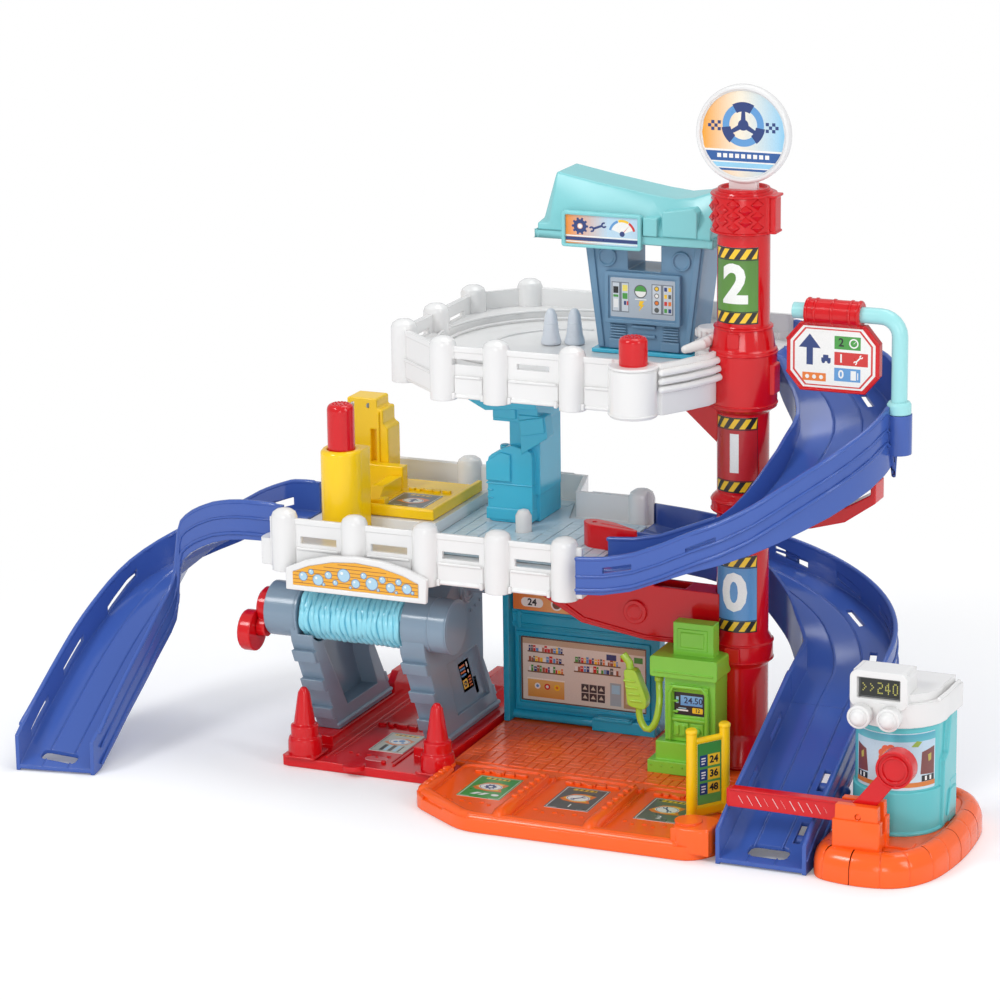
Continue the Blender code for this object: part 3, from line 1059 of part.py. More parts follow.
# Car wash walls: leaning side frames that hold the roller and carry the deck
wall_low_z = WASH_CURB_Z + GAP
wall_top_z = DECK1_UNDER_Z - GAP
side_profile = [(-0.055, wall_low_z), (0.040, wall_low_z), (0.010, 0.062), (0.010, wall_top_z),
                (-0.040, wall_top_z), (-0.044, 0.135), (-0.070, 0.120), (-0.098, 0.104), (-0.096, 0.094)]
wash_wall_left = prism("wash_wall_left", side_profile, WASH_LEFT_X, WASH_LEFT_X + WASH_WALL, "X")
left_housing = turned("left_housing", [(HOUSING_R, ROLLER_LEFT_X - 0.027), (HOUSING_R, ROLLER_LEFT_X - RUN)],
                      (ROLLER_Y, ROLLER_Z), "X", 28)
left_link = prism("left_link", [(-0.058, 0.096), (-0.020, 0.096), (-0.020, 0.136), (-0.070, 0.136),
                                (-0.078, 0.120)], ROLLER_LEFT_X - 0.020, WASH_LEFT_X + 0.004, "X")
clear = turned("clear", [(ROLLER_R + 0.0035, ROLLER_LEFT_X - RUN), (ROLLER_R + 0.0035, ROLLER_RIGHT_X + 0.010)],
               (ROLLER_Y, ROLLER_Z), "X", 28)
recess = prism("recess", [(-0.040, 0.030), (0.014, 0.030), (0.000, 0.060), (0.000, 0.128), (-0.040, 0.128),
                          (-0.058, 0.092), (-0.078, 0.088)],
               WASH_LEFT_X + 0.004, WASH_LEFT_X + WASH_WALL + 0.010, "X")
join(wash_wall_left, left_link, left_housing)
axle_hole = turned("axle_hole", [(AXLE_R + RUN, ROLLER_LEFT_X - 0.040), (AXLE_R + RUN, ROLLER_LEFT_X + 0.010)],
                   (ROLLER_Y, ROLLER_Z), "X", 14)
cut(wash_wall_left, clear, recess, axle_hole)
finish(wash_wall_left, WASH_GREY)
wash_wall_right = prism("wash_wall_right", side_profile, WASH_RIGHT_X, WASH_RIGHT_X + WASH_WALL + 0.002, "X")
right_housing = turned("right_housing", [(HOUSING_R, ROLLER_RIGHT_X + RUN), (HOUSING_R, ROLLER_RIGHT_X + 0.035),
                                         (HOUSING_R - 0.002, ROLLER_RIGHT_X + 0.037)],
                       (ROLLER_Y, ROLLER_Z), "X", 28)
right_boss = turned("right_boss", [(0.012, WASH_RIGHT_X + 0.010), (0.012, WASH_RIGHT_X + WASH_WALL + 0.004),
                                   (0.010, WASH_RIGHT_X + WASH_WALL + 0.005)], (-0.022, 0.126), "X", 20)
join(wash_wall_right, right_housing, right_boss)
cut(wash_wall_right,
    turned("clear", [(ROLLER_R + 0.0035, ROLLER_LEFT_X), (ROLLER_R + 0.0035, ROLLER_RIGHT_X + RUN)],
           (ROLLER_Y, ROLLER_Z), "X", 28),
    turned("axle_bore", [(AXLE_R + RUN, ROLLER_RIGHT_X - 0.010), (AXLE_R + RUN, ROLLER_RIGHT_X + 0.026)],
           (ROLLER_Y, ROLLER_Z), "X", 14),
    prism("label_bay", [(-0.026, 0.034), (0.010, 0.034), (-0.010, 0.074), (-0.046, 0.074)],
          WASH_RIGHT_X + WASH_WALL + 0.001, WASH_RIGHT_X + WASH_WALL + 0.010, "X"))
finish(wash_wall_right, WASH_GREY)

# Roller, its axle, and the crank with its knob
roller_profile = []
RIBS = 9
for k in range(2 * RIBS + 1):
    share = k / (2 * RIBS)
    x = ROLLER_LEFT_X + RUN + (ROLLER_RIGHT_X - ROLLER_LEFT_X - 2 * RUN) * share
    roller_profile.append((ROLLER_R if k % 2 else ROLLER_R - 0.0012, x))
wash_roller = turned("wash_roller", roller_profile, (ROLLER_Y, ROLLER_Z), "X", 20)
cut(wash_roller, turned("axle_bore", [(AXLE_R + GAP, ROLLER_LEFT_X - 0.010), (AXLE_R + GAP, ROLLER_RIGHT_X + 0.010)],
                        (ROLLER_Y, ROLLER_Z), "X", 14))
place_origin(wash_roller, ((ROLLER_LEFT_X + ROLLER_RIGHT_X) / 2, ROLLER_Y, ROLLER_Z))
finish(wash_roller, ROLLER_BLUE)
CRANK_RIGHT_X = ROLLER_LEFT_X - 0.027 - RUN
CRANK_LEFT_X = CRANK_RIGHT_X - 0.008
roller_axle = turned("roller_axle", [(AXLE_R, CRANK_LEFT_X + 0.003), (AXLE_R, ROLLER_RIGHT_X + 0.025)],
                     (ROLLER_Y, ROLLER_Z), "X", 14)
place_origin(roller_axle, (CRANK_LEFT_X + 0.003, ROLLER_Y, ROLLER_Z))
finish(roller_axle, (0.55, 0.56, 0.58), 0.35)
crank_disc = turned("crank_disc", [(CRANK_R - 0.001, CRANK_LEFT_X), (CRANK_R, CRANK_LEFT_X + 0.001),
                                   (CRANK_R, CRANK_RIGHT_X)], (ROLLER_Y, ROLLER_Z), "X", 24)
knob_y = ROLLER_Y + CRANK_THROW * math.cos(math.radians(CRANK_ANGLE))
knob_z = ROLLER_Z + CRANK_THROW * math.sin(math.radians(CRANK_ANGLE))
KNOB_PIN_R = 0.003
arm_web = turned("arm_web", [(0.0075, CRANK_LEFT_X), (0.0075, CRANK_RIGHT_X - 0.001)], (
    (ROLLER_Y + knob_y) / 2 + 0.5 * (knob_y - ROLLER_Y) * 0.6, (ROLLER_Z + knob_z) / 2 + 0.5 * (knob_z - ROLLER_Z) * 0.6),
    "X", 18)
knob_pin = turned("knob_pin", [(KNOB_PIN_R, CRANK_LEFT_X - 0.008), (KNOB_PIN_R, CRANK_LEFT_X + 0.001)],
                  (knob_y, knob_z), "X", 12)
join(crank_disc, arm_web, knob_pin)
cut(crank_disc, turned("axle_seat", [(AXLE_R + GAP, CRANK_LEFT_X + 0.003 - GAP), (AXLE_R + GAP, CRANK_RIGHT_X + 0.010)],
                       (ROLLER_Y, ROLLER_Z), "X", 14))
place_origin(crank_disc, (CRANK_LEFT_X, ROLLER_Y, ROLLER_Z))
finish(crank_disc, RED)
crank_knob = turned("crank_knob", [(KNOB_R - 0.0015, CRANK_LEFT_X - 0.0115), (KNOB_R, CRANK_LEFT_X - 0.010),
                                   (KNOB_R, CRANK_LEFT_X - RUN)], (knob_y, knob_z), "X", 24)
cut(crank_knob, turned("pin_bore", [(KNOB_PIN_R + GAP, CRANK_LEFT_X - 0.008 - GAP), (KNOB_PIN_R + GAP, CRANK_LEFT_X + 0.010)],
                       (knob_y, knob_z), "X", 12))
place_origin(crank_knob, (CRANK_LEFT_X, knob_y, knob_z))
finish(crank_knob, RED)

# Car wash sign on the first deck's front: a white frame with an arched top, and its panel
FRAME_BACK_Y = post_y - POST_R - GAP
FRAME_FRONT_Y = FRAME_BACK_Y - 0.0045
frame_outline = [(-0.316, 0.1395), (-0.203, 0.1395), (-0.202, 0.158), (-0.218, 0.164), (-0.238, 0.168),
                 (-0.259, 0.1695), (-0.280, 0.168), (-0.300, 0.163), (-0.316, 0.156)]
panel_outline = [(-0.310, 0.1435), (-0.209, 0.1435), (-0.209, 0.154), (-0.221, 0.159), (-0.240, 0.1635),
                 (-0.259, 0.165), (-0.278, 0.1635), (-0.297, 0.159), (-0.310, 0.1535)]
wash_sign_frame = prism("wash_sign_frame", frame_outline, FRAME_FRONT_Y, FRAME_BACK_Y, "Y")
cut(wash_sign_frame, prism("recess", panel_outline, FRAME_FRONT_Y - 0.002, FRAME_FRONT_Y + 0.0018, "Y"))
finish(wash_sign_frame, WHITE)
panel_middle = ((-0.318 - 0.213) / 2, 0.153)
shrunk = inset(panel_outline, GAP)
wash_sign_panel = prism("wash_sign_panel", shrunk, FRAME_FRONT_Y + 0.0003, FRAME_FRONT_Y + 0.0018 - GAP, "Y")
finish(wash_sign_panel, YELLOW)

# Shop wall behind the bays, with a header under the deck
SHOP_Y = 0.031
SHOP_LEFT_X = -0.1995
SHOP_RIGHT_X = -0.077
SHOP_TOP_Z = 0.112
shop_low_z = BASE_FLOOR_Z + GAP
shop_wall = block("shop_wall", (SHOP_LEFT_X, SHOP_RIGHT_X), (SHOP_Y, SHOP_Y + 0.012), (shop_low_z, SHOP_TOP_Z))
wing = block("wing", (SHOP_LEFT_X, SHOP_LEFT_X + 0.005), (SHOP_Y - 0.012, SHOP_Y + 0.001), (shop_low_z, SHOP_TOP_Z))
sill = block("sill", (-0.128, SHOP_RIGHT_X), (SHOP_Y - 0.010, SHOP_Y + 0.001), (shop_low_z, 0.020))
lintel = block("lintel", (SHOP_LEFT_X, SHOP_RIGHT_X), (SHOP_Y - 0.004, SHOP_Y + 0.001), (0.084, 0.098))
join(shop_wall, wing, sill, lintel)
cut(shop_wall, block("label_bay", (SHOP_LEFT_X + 0.009, SHOP_RIGHT_X - 0.010), (SHOP_Y - 0.002, SHOP_Y + 0.0012),
                     (0.024, 0.076)))
finish(shop_wall, TURQUOISE)
shop_header = block("shop_header", (SHOP_LEFT_X + 0.006, SHOP_LEFT_X + 0.062),
                    (SHOP_Y - 0.006, SHOP_Y - GAP), (0.0985, SHOP_TOP_Z))
finish(shop_header, TAN)

# Fuel pump: stepped foot, body with display, roof with tag, and the hose arm
foot_top = PUMP_BASE_Z
pump_left = PUMP_X - PUMP_WIDTH / 2
pump_right = PUMP_X + PUMP_WIDTH / 2
pump_back = PUMP_FRONT_Y + PUMP_DEPTH
pump_base = block("pump_base", (pump_left - 0.011, pump_right + 0.004), (PUMP_FRONT_Y - 0.008, pump_back + 0.003),
                  (BASE_FLOOR_Z + GAP, 0.020))
step = block("step", (pump_left - 0.006, pump_right + 0.002), (PUMP_FRONT_Y - 0.004, pump_back + 0.001), (0.018, foot_top))
join(pump_base, step)
cut(pump_base, tower_clearance())
finish(pump_base, GREEN)
pump_body = block("pump_body", (pump_left, pump_right), (PUMP_FRONT_Y, pump_back), (foot_top + GAP, PUMP_NECK_Z))
cut(pump_body, block("display", (PUMP_X - 0.013, PUMP_X + 0.011), (PUMP_FRONT_Y - 0.002, PUMP_FRONT_Y + 0.0015),
                     (0.054, 0.072)))
frame_bar = block("frame_bar", (PUMP_X - 0.0155, PUMP_X + 0.0145), (PUMP_FRONT_Y - 0.0025, PUMP_FRONT_Y + 0.001), (0.0745, 0.0775))
side_bar = block("side_bar", (PUMP_X - 0.0155, PUMP_X - 0.0135), (PUMP_FRONT_Y - 0.0025, PUMP_FRONT_Y + 0.001), (0.036, 0.0755))
side_bar_right = block("side_bar_right", (PUMP_X + 0.0125, PUMP_X + 0.0145), (PUMP_FRONT_Y - 0.0025, PUMP_FRONT_Y + 0.001), (0.036, 0.0755))
join(pump_body, frame_bar, side_bar, side_bar_right)
cut(pump_body, tower_clearance())
finish(pump_body, GREEN)
pump_roof = prism("pump_roof", round_corners([
    (pump_left - 0.010, PUMP_NECK_Z + GAP), (pump_right + 0.003, PUMP_NECK_Z + GAP), (pump_right + 0.003, PUMP_ROOF_Z),
    (pump_left - 0.010, PUMP_ROOF_Z)], 0.002, 2), PUMP_FRONT_Y - 0.005, pump_back + 0.003, "Y")
tag = block("tag", (pump_left + 0.005, pump_right - 0.003), (PUMP_FRONT_Y + 0.004, PUMP_FRONT_Y + 0.016), (PUMP_ROOF_Z - 0.002, PUMP_TAG_Z))
join(pump_roof, tag)
cut(pump_roof, tower_clearance())
HOSE_X = pump_left - 0.0068
HOSE_Y = PUMP_FRONT_Y + 0.006
cut(pump_roof, turned("pin_socket", [(PUMP_PIN_R + RUN, PUMP_NECK_Z - 0.010), (PUMP_PIN_R + RUN, PUMP_NECK_Z + 0.008)],
                      (HOSE_X, HOSE_Y), sides=12))
finish(pump_roof, GREEN)
hose_points = smooth_path([
    (HOSE_X, HOSE_Y, PUMP_NECK_Z - RUN), (HOSE_X, HOSE_Y, 0.074), (HOSE_X + 0.0015, HOSE_Y - 0.004, 0.060),
    (HOSE_X - 0.001, HOSE_Y - 0.006, 0.046), (HOSE_X - 0.007, HOSE_Y - 0.006, 0.040),
    (HOSE_X - 0.0125, HOSE_Y - 0.006, 0.047), (HOSE_X - 0.014, HOSE_Y - 0.006, 0.060)], 20)
hose_points[0].x = HOSE_X
fuel_arm = tube("fuel_arm", hose_points, HOSE_R, 10)
grip = prism("grip", round_corners([(HOSE_X - 0.021, 0.058), (HOSE_X - 0.007, 0.056), (HOSE_X - 0.006, 0.064),
                                    (HOSE_X - 0.015, 0.086), (HOSE_X - 0.024, 0.086)], 0.003, 2),
             HOSE_Y - 0.0105, HOSE_Y - 0.0020, "Y")
spout = tube("spout", [(HOSE_X - 0.020, HOSE_Y - 0.006, 0.083), (HOSE_X - 0.021, HOSE_Y - 0.006, 0.090),
                       (HOSE_X - 0.026, HOSE_Y - 0.006, 0.096)], 0.0030, 10)
pivot_pin = turned("pivot_pin", [(PUMP_PIN_R, 0.078), (PUMP_PIN_R, PUMP_NECK_Z + 0.006)], (HOSE_X, HOSE_Y), sides=12)
join(fuel_arm, grip, spout, pivot_pin)
place_origin(fuel_arm, (HOSE_X, HOSE_Y, PUMP_NECK_Z))
finish(fuel_arm, LIME)

# Price sign between the bays and the exit ramp
PRICE_FOOT = Vector((0.0100, -0.1340))
PRICE_STEP = Vector((0.0165, 0.0227))
price_along = PRICE_STEP.normalized()
price_side = Vector((-price_along.y, price_along.x))


def price_panel(name, start, end, half, low, high):
    """Upright slab along the price sign, from start to end along it."""
    corners = []
    for along, out in ((start, -half), (end, -half), (end, half), (start, half)):
        spot = PRICE_FOOT + price_along * along + price_side * out
        corners.append((spot.x, spot.y))
    return prism(name, corners, low, high)


PRICE_WIDTH = PRICE_STEP.length
price_sign = price_panel("price_sign", 0.0, PRICE_WIDTH, 0.0016, 0.016, 0.068)
price_posts = []
for along in (0.0, PRICE_WIDTH):
    spot = PRICE_FOOT + price_along * along
    price_posts.append(turned("price_post", [(0.0038, BASE_FLOOR_Z + GAP), (0.0038, 0.074), (0.0030, 0.075)],
                              (spot.x, spot.y), sides=14))
rail = price_panel("rail", 0.0, PRICE_WIDTH, 0.0028, 0.012, 0.018)
join(price_sign, rail, *price_posts)
finish(price_sign, YELLOW)

# Toll booth: orange base against the exit ramp's side, rounded body, roof with lamps and display
BOOTH_LEFT_X = EXIT_X + TRACK_WIDTH / 2 + GAP
booth_outline = round_corners([
    (BOOTH_LEFT_X, -0.186), (0.124, -0.192), (0.162, -0.193), (0.186, -0.184), (0.199, -0.156), (0.204, -0.110),
    (0.202, -0.056), (0.190, -0.036), (0.168, -0.024), (0.138, -0.030), (BOOTH_LEFT_X, -0.060)], 0.006, 2)
booth_base = prism("booth_base", booth_outline, 0.0, BOOTH_BASE_Z)
cut(booth_base, prism("hollow", inset(booth_outline, BASE_SHELL), -0.001, BOOTH_BASE_Z - BASE_SHELL))
finish(booth_base, ORANGE)
body_z = BOOTH_BASE_Z + GAP
booth_plan = []
for k in range(19):
    angle = math.radians(150 + 12.5 * k)
    booth_plan.append((BOOTH_X + BOOTH_R * math.cos(angle), BOOTH_Y + BOOTH_R * math.sin(angle)))
booth_plan += [(BOOTH_X + BOOTH_R, BOOTH_BACK_Y), (BOOTH_X - BOOTH_R + 0.004, BOOTH_BACK_Y)]
booth_body = prism("booth_body", booth_plan, body_z, BOOTH_TOP_Z)
buttress = prism("buttress", [(BOOTH_Y - 0.004, body_z), (BOOTH_BACK_Y, body_z), (BOOTH_BACK_Y, BOOTH_TOP_Z),
                              (BOOTH_Y + 0.012, BOOTH_TOP_Z), (BOOTH_Y + 0.006, 0.072), (BOOTH_Y - 0.002, 0.068)],
                 BOOTH_X + BOOTH_R - 0.010, BOOTH_X + BOOTH_R + 0.003, "X")
join(booth_body, buttress)
finish(booth_body, AQUA)
roof_low = BOOTH_TOP_Z + GAP
roof_plan = []
for k in range(15):
    angle = math.radians(170 + 200 * k / 14)
    roof_plan.append((BOOTH_X + (BOOTH_R + 0.004) * math.cos(angle), BOOTH_Y + (BOOTH_R + 0.004) * math.sin(angle)))
roof_plan += [(BOOTH_X + BOOTH_R + 0.005, BOOTH_BACK_Y + 0.005), (BOOTH_X - BOOTH_R, BOOTH_BACK_Y + 0.005)]
booth_roof = prism("booth_roof", roof_plan, roof_low, roof_low + 0.017)
crown = prism("crown", inset(roof_plan, 0.004), roof_low + 0.014, roof_low + 0.023)
DISPLAY_LEFT_X = BOOTH_X - 0.0245
DISPLAY_RIGHT_X = BOOTH_X + 0.0140
DISPLAY_FRONT_Y = BOOTH_Y - 0.032
display_box = prism("display_box", [(DISPLAY_FRONT_Y, roof_low + 0.014), (DISPLAY_FRONT_Y + 0.024, roof_low + 0.014),
                                    (DISPLAY_FRONT_Y + 0.024, roof_low + 0.038), (DISPLAY_FRONT_Y + 0.003, roof_low + 0.038)],
                    DISPLAY_LEFT_X, DISPLAY_RIGHT_X, "X")
lamps = [turned("lamp", [(0.0072, BOOTH_Y - 0.020), (0.0072, BOOTH_Y - 0.042), (0.0055, BOOTH_Y - 0.045), (0.002, BOOTH_Y - 0.046)],
                (BOOTH_X + offset, roof_low + 0.008), "Y", 16) for offset in (-0.0165, 0.0045)]
join(booth_roof, crown, display_box, *lamps)
screen_z = (roof_low + 0.019, roof_low + 0.034)
SCREEN_DEPTH = 0.0022
cut(booth_roof, block("screen_bay", (DISPLAY_LEFT_X + 0.004, DISPLAY_RIGHT_X - 0.004),
                      (DISPLAY_FRONT_Y - 0.004, DISPLAY_FRONT_Y + 0.0045), screen_z))
finish(booth_roof, WHITE)
booth_display = block("booth_display", (DISPLAY_LEFT_X + 0.004 + GAP, DISPLAY_RIGHT_X - 0.004 - GAP),
                      (DISPLAY_FRONT_Y + 0.0045 - GAP - SCREEN_DEPTH, DISPLAY_FRONT_Y + 0.0045 - GAP),
                      (screen_z[0] + GAP, screen_z[1] - GAP))
finish(booth_display, BLACK, 0.2)

# Barrier: forked post, swinging arm with its disc, and the pin between them
POST_X = (0.130, 0.162)
slot_half = BARRIER_THICKNESS / 2 + RUN
post_top = 0.052
barrier_post = prism("barrier_post", [(POST_X[0], body_z), (POST_X[1], body_z), (POST_X[1] - 0.001, post_top),
                                      (POST_X[0] + 0.001, post_top)],
                     BARRIER_Y - slot_half - CHEEK, BARRIER_Y + slot_half + CHEEK, "Y")
cut(barrier_post, block("fork", (POST_X[0] - 0.010, POST_X[1] + 0.010), (BARRIER_Y - slot_half, BARRIER_Y + slot_half),
                        (PIVOT_Z - 0.014, post_top + 0.010)),
    turned("pin_hole", [(PIVOT_R + GAP, BARRIER_Y - 0.020), (PIVOT_R + GAP, BARRIER_Y + 0.020)], (PIVOT_X, PIVOT_Z), "Y", 14))
finish(barrier_post, ORANGE)
disc_x = PIVOT_X + 0.0245
disc_z = PIVOT_Z + 0.036
barrier_arm = prism("barrier_arm", round_corners([
    (PIVOT_X - BARRIER_LENGTH, PIVOT_Z - BARRIER_HEIGHT + 0.007), (PIVOT_X + 0.004, PIVOT_Z - 0.007),
    (PIVOT_X + 0.007, PIVOT_Z + 0.002), (disc_x + 0.004, disc_z - 0.006), (disc_x - 0.006, disc_z + 0.002),
    (PIVOT_X - 0.006, PIVOT_Z + 0.007), (PIVOT_X - BARRIER_LENGTH, PIVOT_Z + 0.007)], 0.002, 2),
    BARRIER_Y - BARRIER_THICKNESS / 2, BARRIER_Y + BARRIER_THICKNESS / 2, "Y")
disc = turned("disc", [(BARRIER_DISC_R - 0.001, BARRIER_Y - BARRIER_THICKNESS / 2 - 0.003), (BARRIER_DISC_R, BARRIER_Y - BARRIER_THICKNESS / 2 - 0.002),
                       (BARRIER_DISC_R, BARRIER_Y + BARRIER_THICKNESS / 2)], (disc_x, disc_z), "Y", 28)
join(barrier_arm, disc)
cut(barrier_arm, turned("pin_hole", [(PIVOT_R + RUN, BARRIER_Y - 0.020), (PIVOT_R + RUN, BARRIER_Y + 0.020)], (PIVOT_X, PIVOT_Z), "Y", 14))
place_origin(barrier_arm, (PIVOT_X, BARRIER_Y, PIVOT_Z))
finish(barrier_arm, RED)
barrier_pin = turned("barrier_pin", [(PIVOT_R, BARRIER_Y - slot_half - CHEEK + 0.001), (PIVOT_R, BARRIER_Y + slot_half + CHEEK - 0.001)],
                     (PIVOT_X, PIVOT_Z), "Y", 14)
finish(barrier_pin, ORANGE)
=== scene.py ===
"""Dresses the toy garage: moulded plastic shells, printed labels, and the small moulded details.

Metres, +Z up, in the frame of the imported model.
"""
import json
import math
import random

import bmesh
import bpy
from mathutils import Matrix, Vector
from mathutils.bvhtree import BVHTree

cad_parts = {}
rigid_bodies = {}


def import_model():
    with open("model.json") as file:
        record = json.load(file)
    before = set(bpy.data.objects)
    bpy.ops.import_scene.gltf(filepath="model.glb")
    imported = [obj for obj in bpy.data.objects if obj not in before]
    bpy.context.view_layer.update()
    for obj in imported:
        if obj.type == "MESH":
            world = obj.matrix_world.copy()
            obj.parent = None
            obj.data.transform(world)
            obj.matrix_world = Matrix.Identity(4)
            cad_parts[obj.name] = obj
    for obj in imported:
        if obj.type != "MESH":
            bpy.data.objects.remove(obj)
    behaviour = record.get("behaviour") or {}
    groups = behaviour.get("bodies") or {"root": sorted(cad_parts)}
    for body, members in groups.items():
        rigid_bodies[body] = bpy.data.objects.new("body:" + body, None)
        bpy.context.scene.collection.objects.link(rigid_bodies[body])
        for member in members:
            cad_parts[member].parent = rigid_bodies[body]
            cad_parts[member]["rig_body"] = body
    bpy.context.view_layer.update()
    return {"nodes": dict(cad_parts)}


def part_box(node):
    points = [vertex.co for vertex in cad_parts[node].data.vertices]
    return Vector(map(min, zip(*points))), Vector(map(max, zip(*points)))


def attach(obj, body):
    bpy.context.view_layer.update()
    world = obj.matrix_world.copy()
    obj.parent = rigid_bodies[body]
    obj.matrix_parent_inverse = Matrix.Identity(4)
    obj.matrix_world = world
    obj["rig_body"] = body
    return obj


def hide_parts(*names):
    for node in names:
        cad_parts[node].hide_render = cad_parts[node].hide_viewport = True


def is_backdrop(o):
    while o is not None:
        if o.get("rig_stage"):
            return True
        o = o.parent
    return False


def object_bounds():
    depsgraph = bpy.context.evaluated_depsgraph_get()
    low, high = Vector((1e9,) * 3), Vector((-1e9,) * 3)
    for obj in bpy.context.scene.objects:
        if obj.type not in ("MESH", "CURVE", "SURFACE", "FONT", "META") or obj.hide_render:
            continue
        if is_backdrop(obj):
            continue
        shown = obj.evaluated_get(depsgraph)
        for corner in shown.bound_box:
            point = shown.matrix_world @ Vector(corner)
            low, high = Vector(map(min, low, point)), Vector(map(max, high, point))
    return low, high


for old in list(bpy.data.objects):
    bpy.data.objects.remove(old, do_unlink=True)
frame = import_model()


# Studio
# A pale floor, a white surround and four soft lamps, seen from the photograph's angle,
# a little above the toy and to the right of its front.
def placed(name, data):
    """New object of some data, in the scene."""
    obj = bpy.data.objects.new(name, data)
    bpy.context.scene.collection.objects.link(obj)
    return obj


camera_data = bpy.data.cameras.new("camera")
camera_data.lens = 136.8
camera_data.sensor_width = 36.0
camera_data.clip_end = 60.0
camera = placed("camera", camera_data)
camera.matrix_world = Matrix((
    (0.919119, -0.091304, 0.383254, 0.894738),
    (0.39375, 0.246147, -0.885648, -2.511411),
    (-0.013474, 0.964922, 0.262189, 0.933908),
    (0.0, 0.0, 0.0, 1.0)))
bpy.context.scene.camera = camera
bpy.context.scene.view_settings.view_transform = "Standard"


def wire(tree, kind, inputs=(), **settings):
    """New node with its settings, and its inputs linked or set."""
    node = tree.nodes.new(kind)
    for key, value in settings.items():
        setattr(node, key, value)
    for socket, value in dict(inputs).items():
        if isinstance(value, bpy.types.NodeSocket):
            tree.links.new(value, node.inputs[socket])
        else:
            node.inputs[socket].default_value = value
    return node


world = bpy.data.worlds.new("studio")
bpy.context.scene.world = world
world.use_nodes = True
sky_tree = world.node_tree
sky_tree.nodes.clear()
sky = wire(sky_tree, "ShaderNodeBackground", {"Strength": 0.62, "Color": (0.96, 0.98, 1.0, 1.0)})
white = wire(sky_tree, "ShaderNodeBackground", {"Strength": 1.0, "Color": (1.0, 1.0, 1.0, 1.0)})
paths = wire(sky_tree, "ShaderNodeLightPath")
seen = wire(sky_tree, "ShaderNodeMath", {0: paths.outputs["Is Camera Ray"],
    1: paths.outputs["Is Transmission Ray"]}, operation="MAXIMUM")
choose = wire(sky_tree, "ShaderNodeMixShader", {0: seen.outputs[0], 1: sky.outputs[0], 2: white.outputs[0]})
wire(sky_tree, "ShaderNodeOutputWorld", {0: choose.outputs[0]})


def lamp(name, place, target, width, height, power):
    """Soft rectangular lamp at a place, turned to a target."""
    data = bpy.data.lights.new(name, "AREA")
    data.shape = "RECTANGLE"
    data.size = width
    data.size_y = height
    data.energy = power
    obj = placed(name, data)
    obj.location = place
    obj.rotation_euler = (Vector(target) - Vector(place)).to_track_quat("-Z", "Y").to_euler()
    return obj


lamp("key_lamp", (-1.5, -2.2, 2.3), (-0.05, -0.02, 0.15), 0.9, 0.9, 31.0)
lamp("front_lamp", (0.7, -2.6, 0.55), (-0.08, 0.0, 0.08), 1.0, 0.6, 9.5)
lamp("side_lamp", (2.3, -0.9, 1.3), (-0.05, 0.0, 0.2), 0.6, 1.3, 13.0)
lamp("top_lamp", (0.2, 0.7, 2.4), (-0.05, 0.0, 0.1), 1.6, 0.9, 15.0)

floor_mesh = bpy.data.meshes.new("floor")
floor_mesh.from_pydata([(-9, -9, -0.0003), (9, -9, -0.0003), (9, 9, -0.0003), (-9, 9, -0.0003)], [],
    [(0, 1, 2, 3)])
floor = placed("floor", floor_mesh)
floor_paper = bpy.data.materials.new("floor_paper")
floor_paper.use_nodes = True
paper = floor_paper.node_tree
paper_shader = paper.nodes["Principled BSDF"]
paper_shader.inputs["Base Color"].default_value = (0.93, 0.93, 0.94, 1.0)
paper_shader.inputs["Roughness"].default_value = 0.85
paper_shader.inputs["Specular IOR Level"].default_value = 0.1
paper_paths = wire(paper, "ShaderNodeLightPath")
paper_lift = wire(paper, "ShaderNodeMath", {0: paper_paths.outputs["Is Camera Ray"], 1: 0.12},
    operation="MULTIPLY")
paper_glow = wire(paper, "ShaderNodeEmission", {"Strength": paper_lift.outputs[0]})
paper_sum = wire(paper, "ShaderNodeAddShader", {0: paper_shader.outputs[0], 1: paper_glow.outputs[0]})
paper_place = wire(paper, "ShaderNodeTexCoord")
paper_centre = wire(paper, "ShaderNodeMapping", {"Vector": paper_place.outputs["Object"],
    "Location": (0.15, 0.02, 0.0)})
paper_far = wire(paper, "ShaderNodeVectorMath", {0: paper_centre.outputs[0]}, operation="LENGTH")
paper_fade = wire(paper, "ShaderNodeMapRange",
    {"Value": paper_far.outputs["Value"], "From Min": 0.34, "From Max": 0.72},
    interpolation_type="SMOOTHSTEP")
paper_seen = wire(paper, "ShaderNodeMath", {0: paper_fade.outputs["Result"],
    1: paper_paths.outputs["Is Camera Ray"]}, operation="MULTIPLY")
paper_white = wire(paper, "ShaderNodeEmission")
paper_mix = wire(paper, "ShaderNodeMixShader", {0: paper_seen.outputs[0], 1: paper_sum.outputs[0],
    2: paper_white.outputs[0]})
paper.links.new(paper_mix.outputs[0], paper.nodes["Material Output"].inputs[0])
floor_mesh.materials.append(floor_paper)
floor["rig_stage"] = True


# Main base
# One shallow orange moulding that everything stands on, with three sunken parking bays,
# rounded noses between them and moulded paving behind. Printed cards lie in the bays.
def shade_group(name, inputs, outputs):
    """Empty shader group with its sockets; returns the tree, its input node and its output node."""
    tree = bpy.data.node_groups.new(name, "ShaderNodeTree")
    for label_text, kind, value in inputs:
        tree.interface.new_socket(label_text, in_out="INPUT", socket_type=kind).default_value = value
    for label_text, kind in outputs:
        tree.interface.new_socket(label_text, in_out="OUTPUT", socket_type=kind)
    return tree, tree.nodes.new("NodeGroupInput"), tree.nodes.new("NodeGroupOutput")


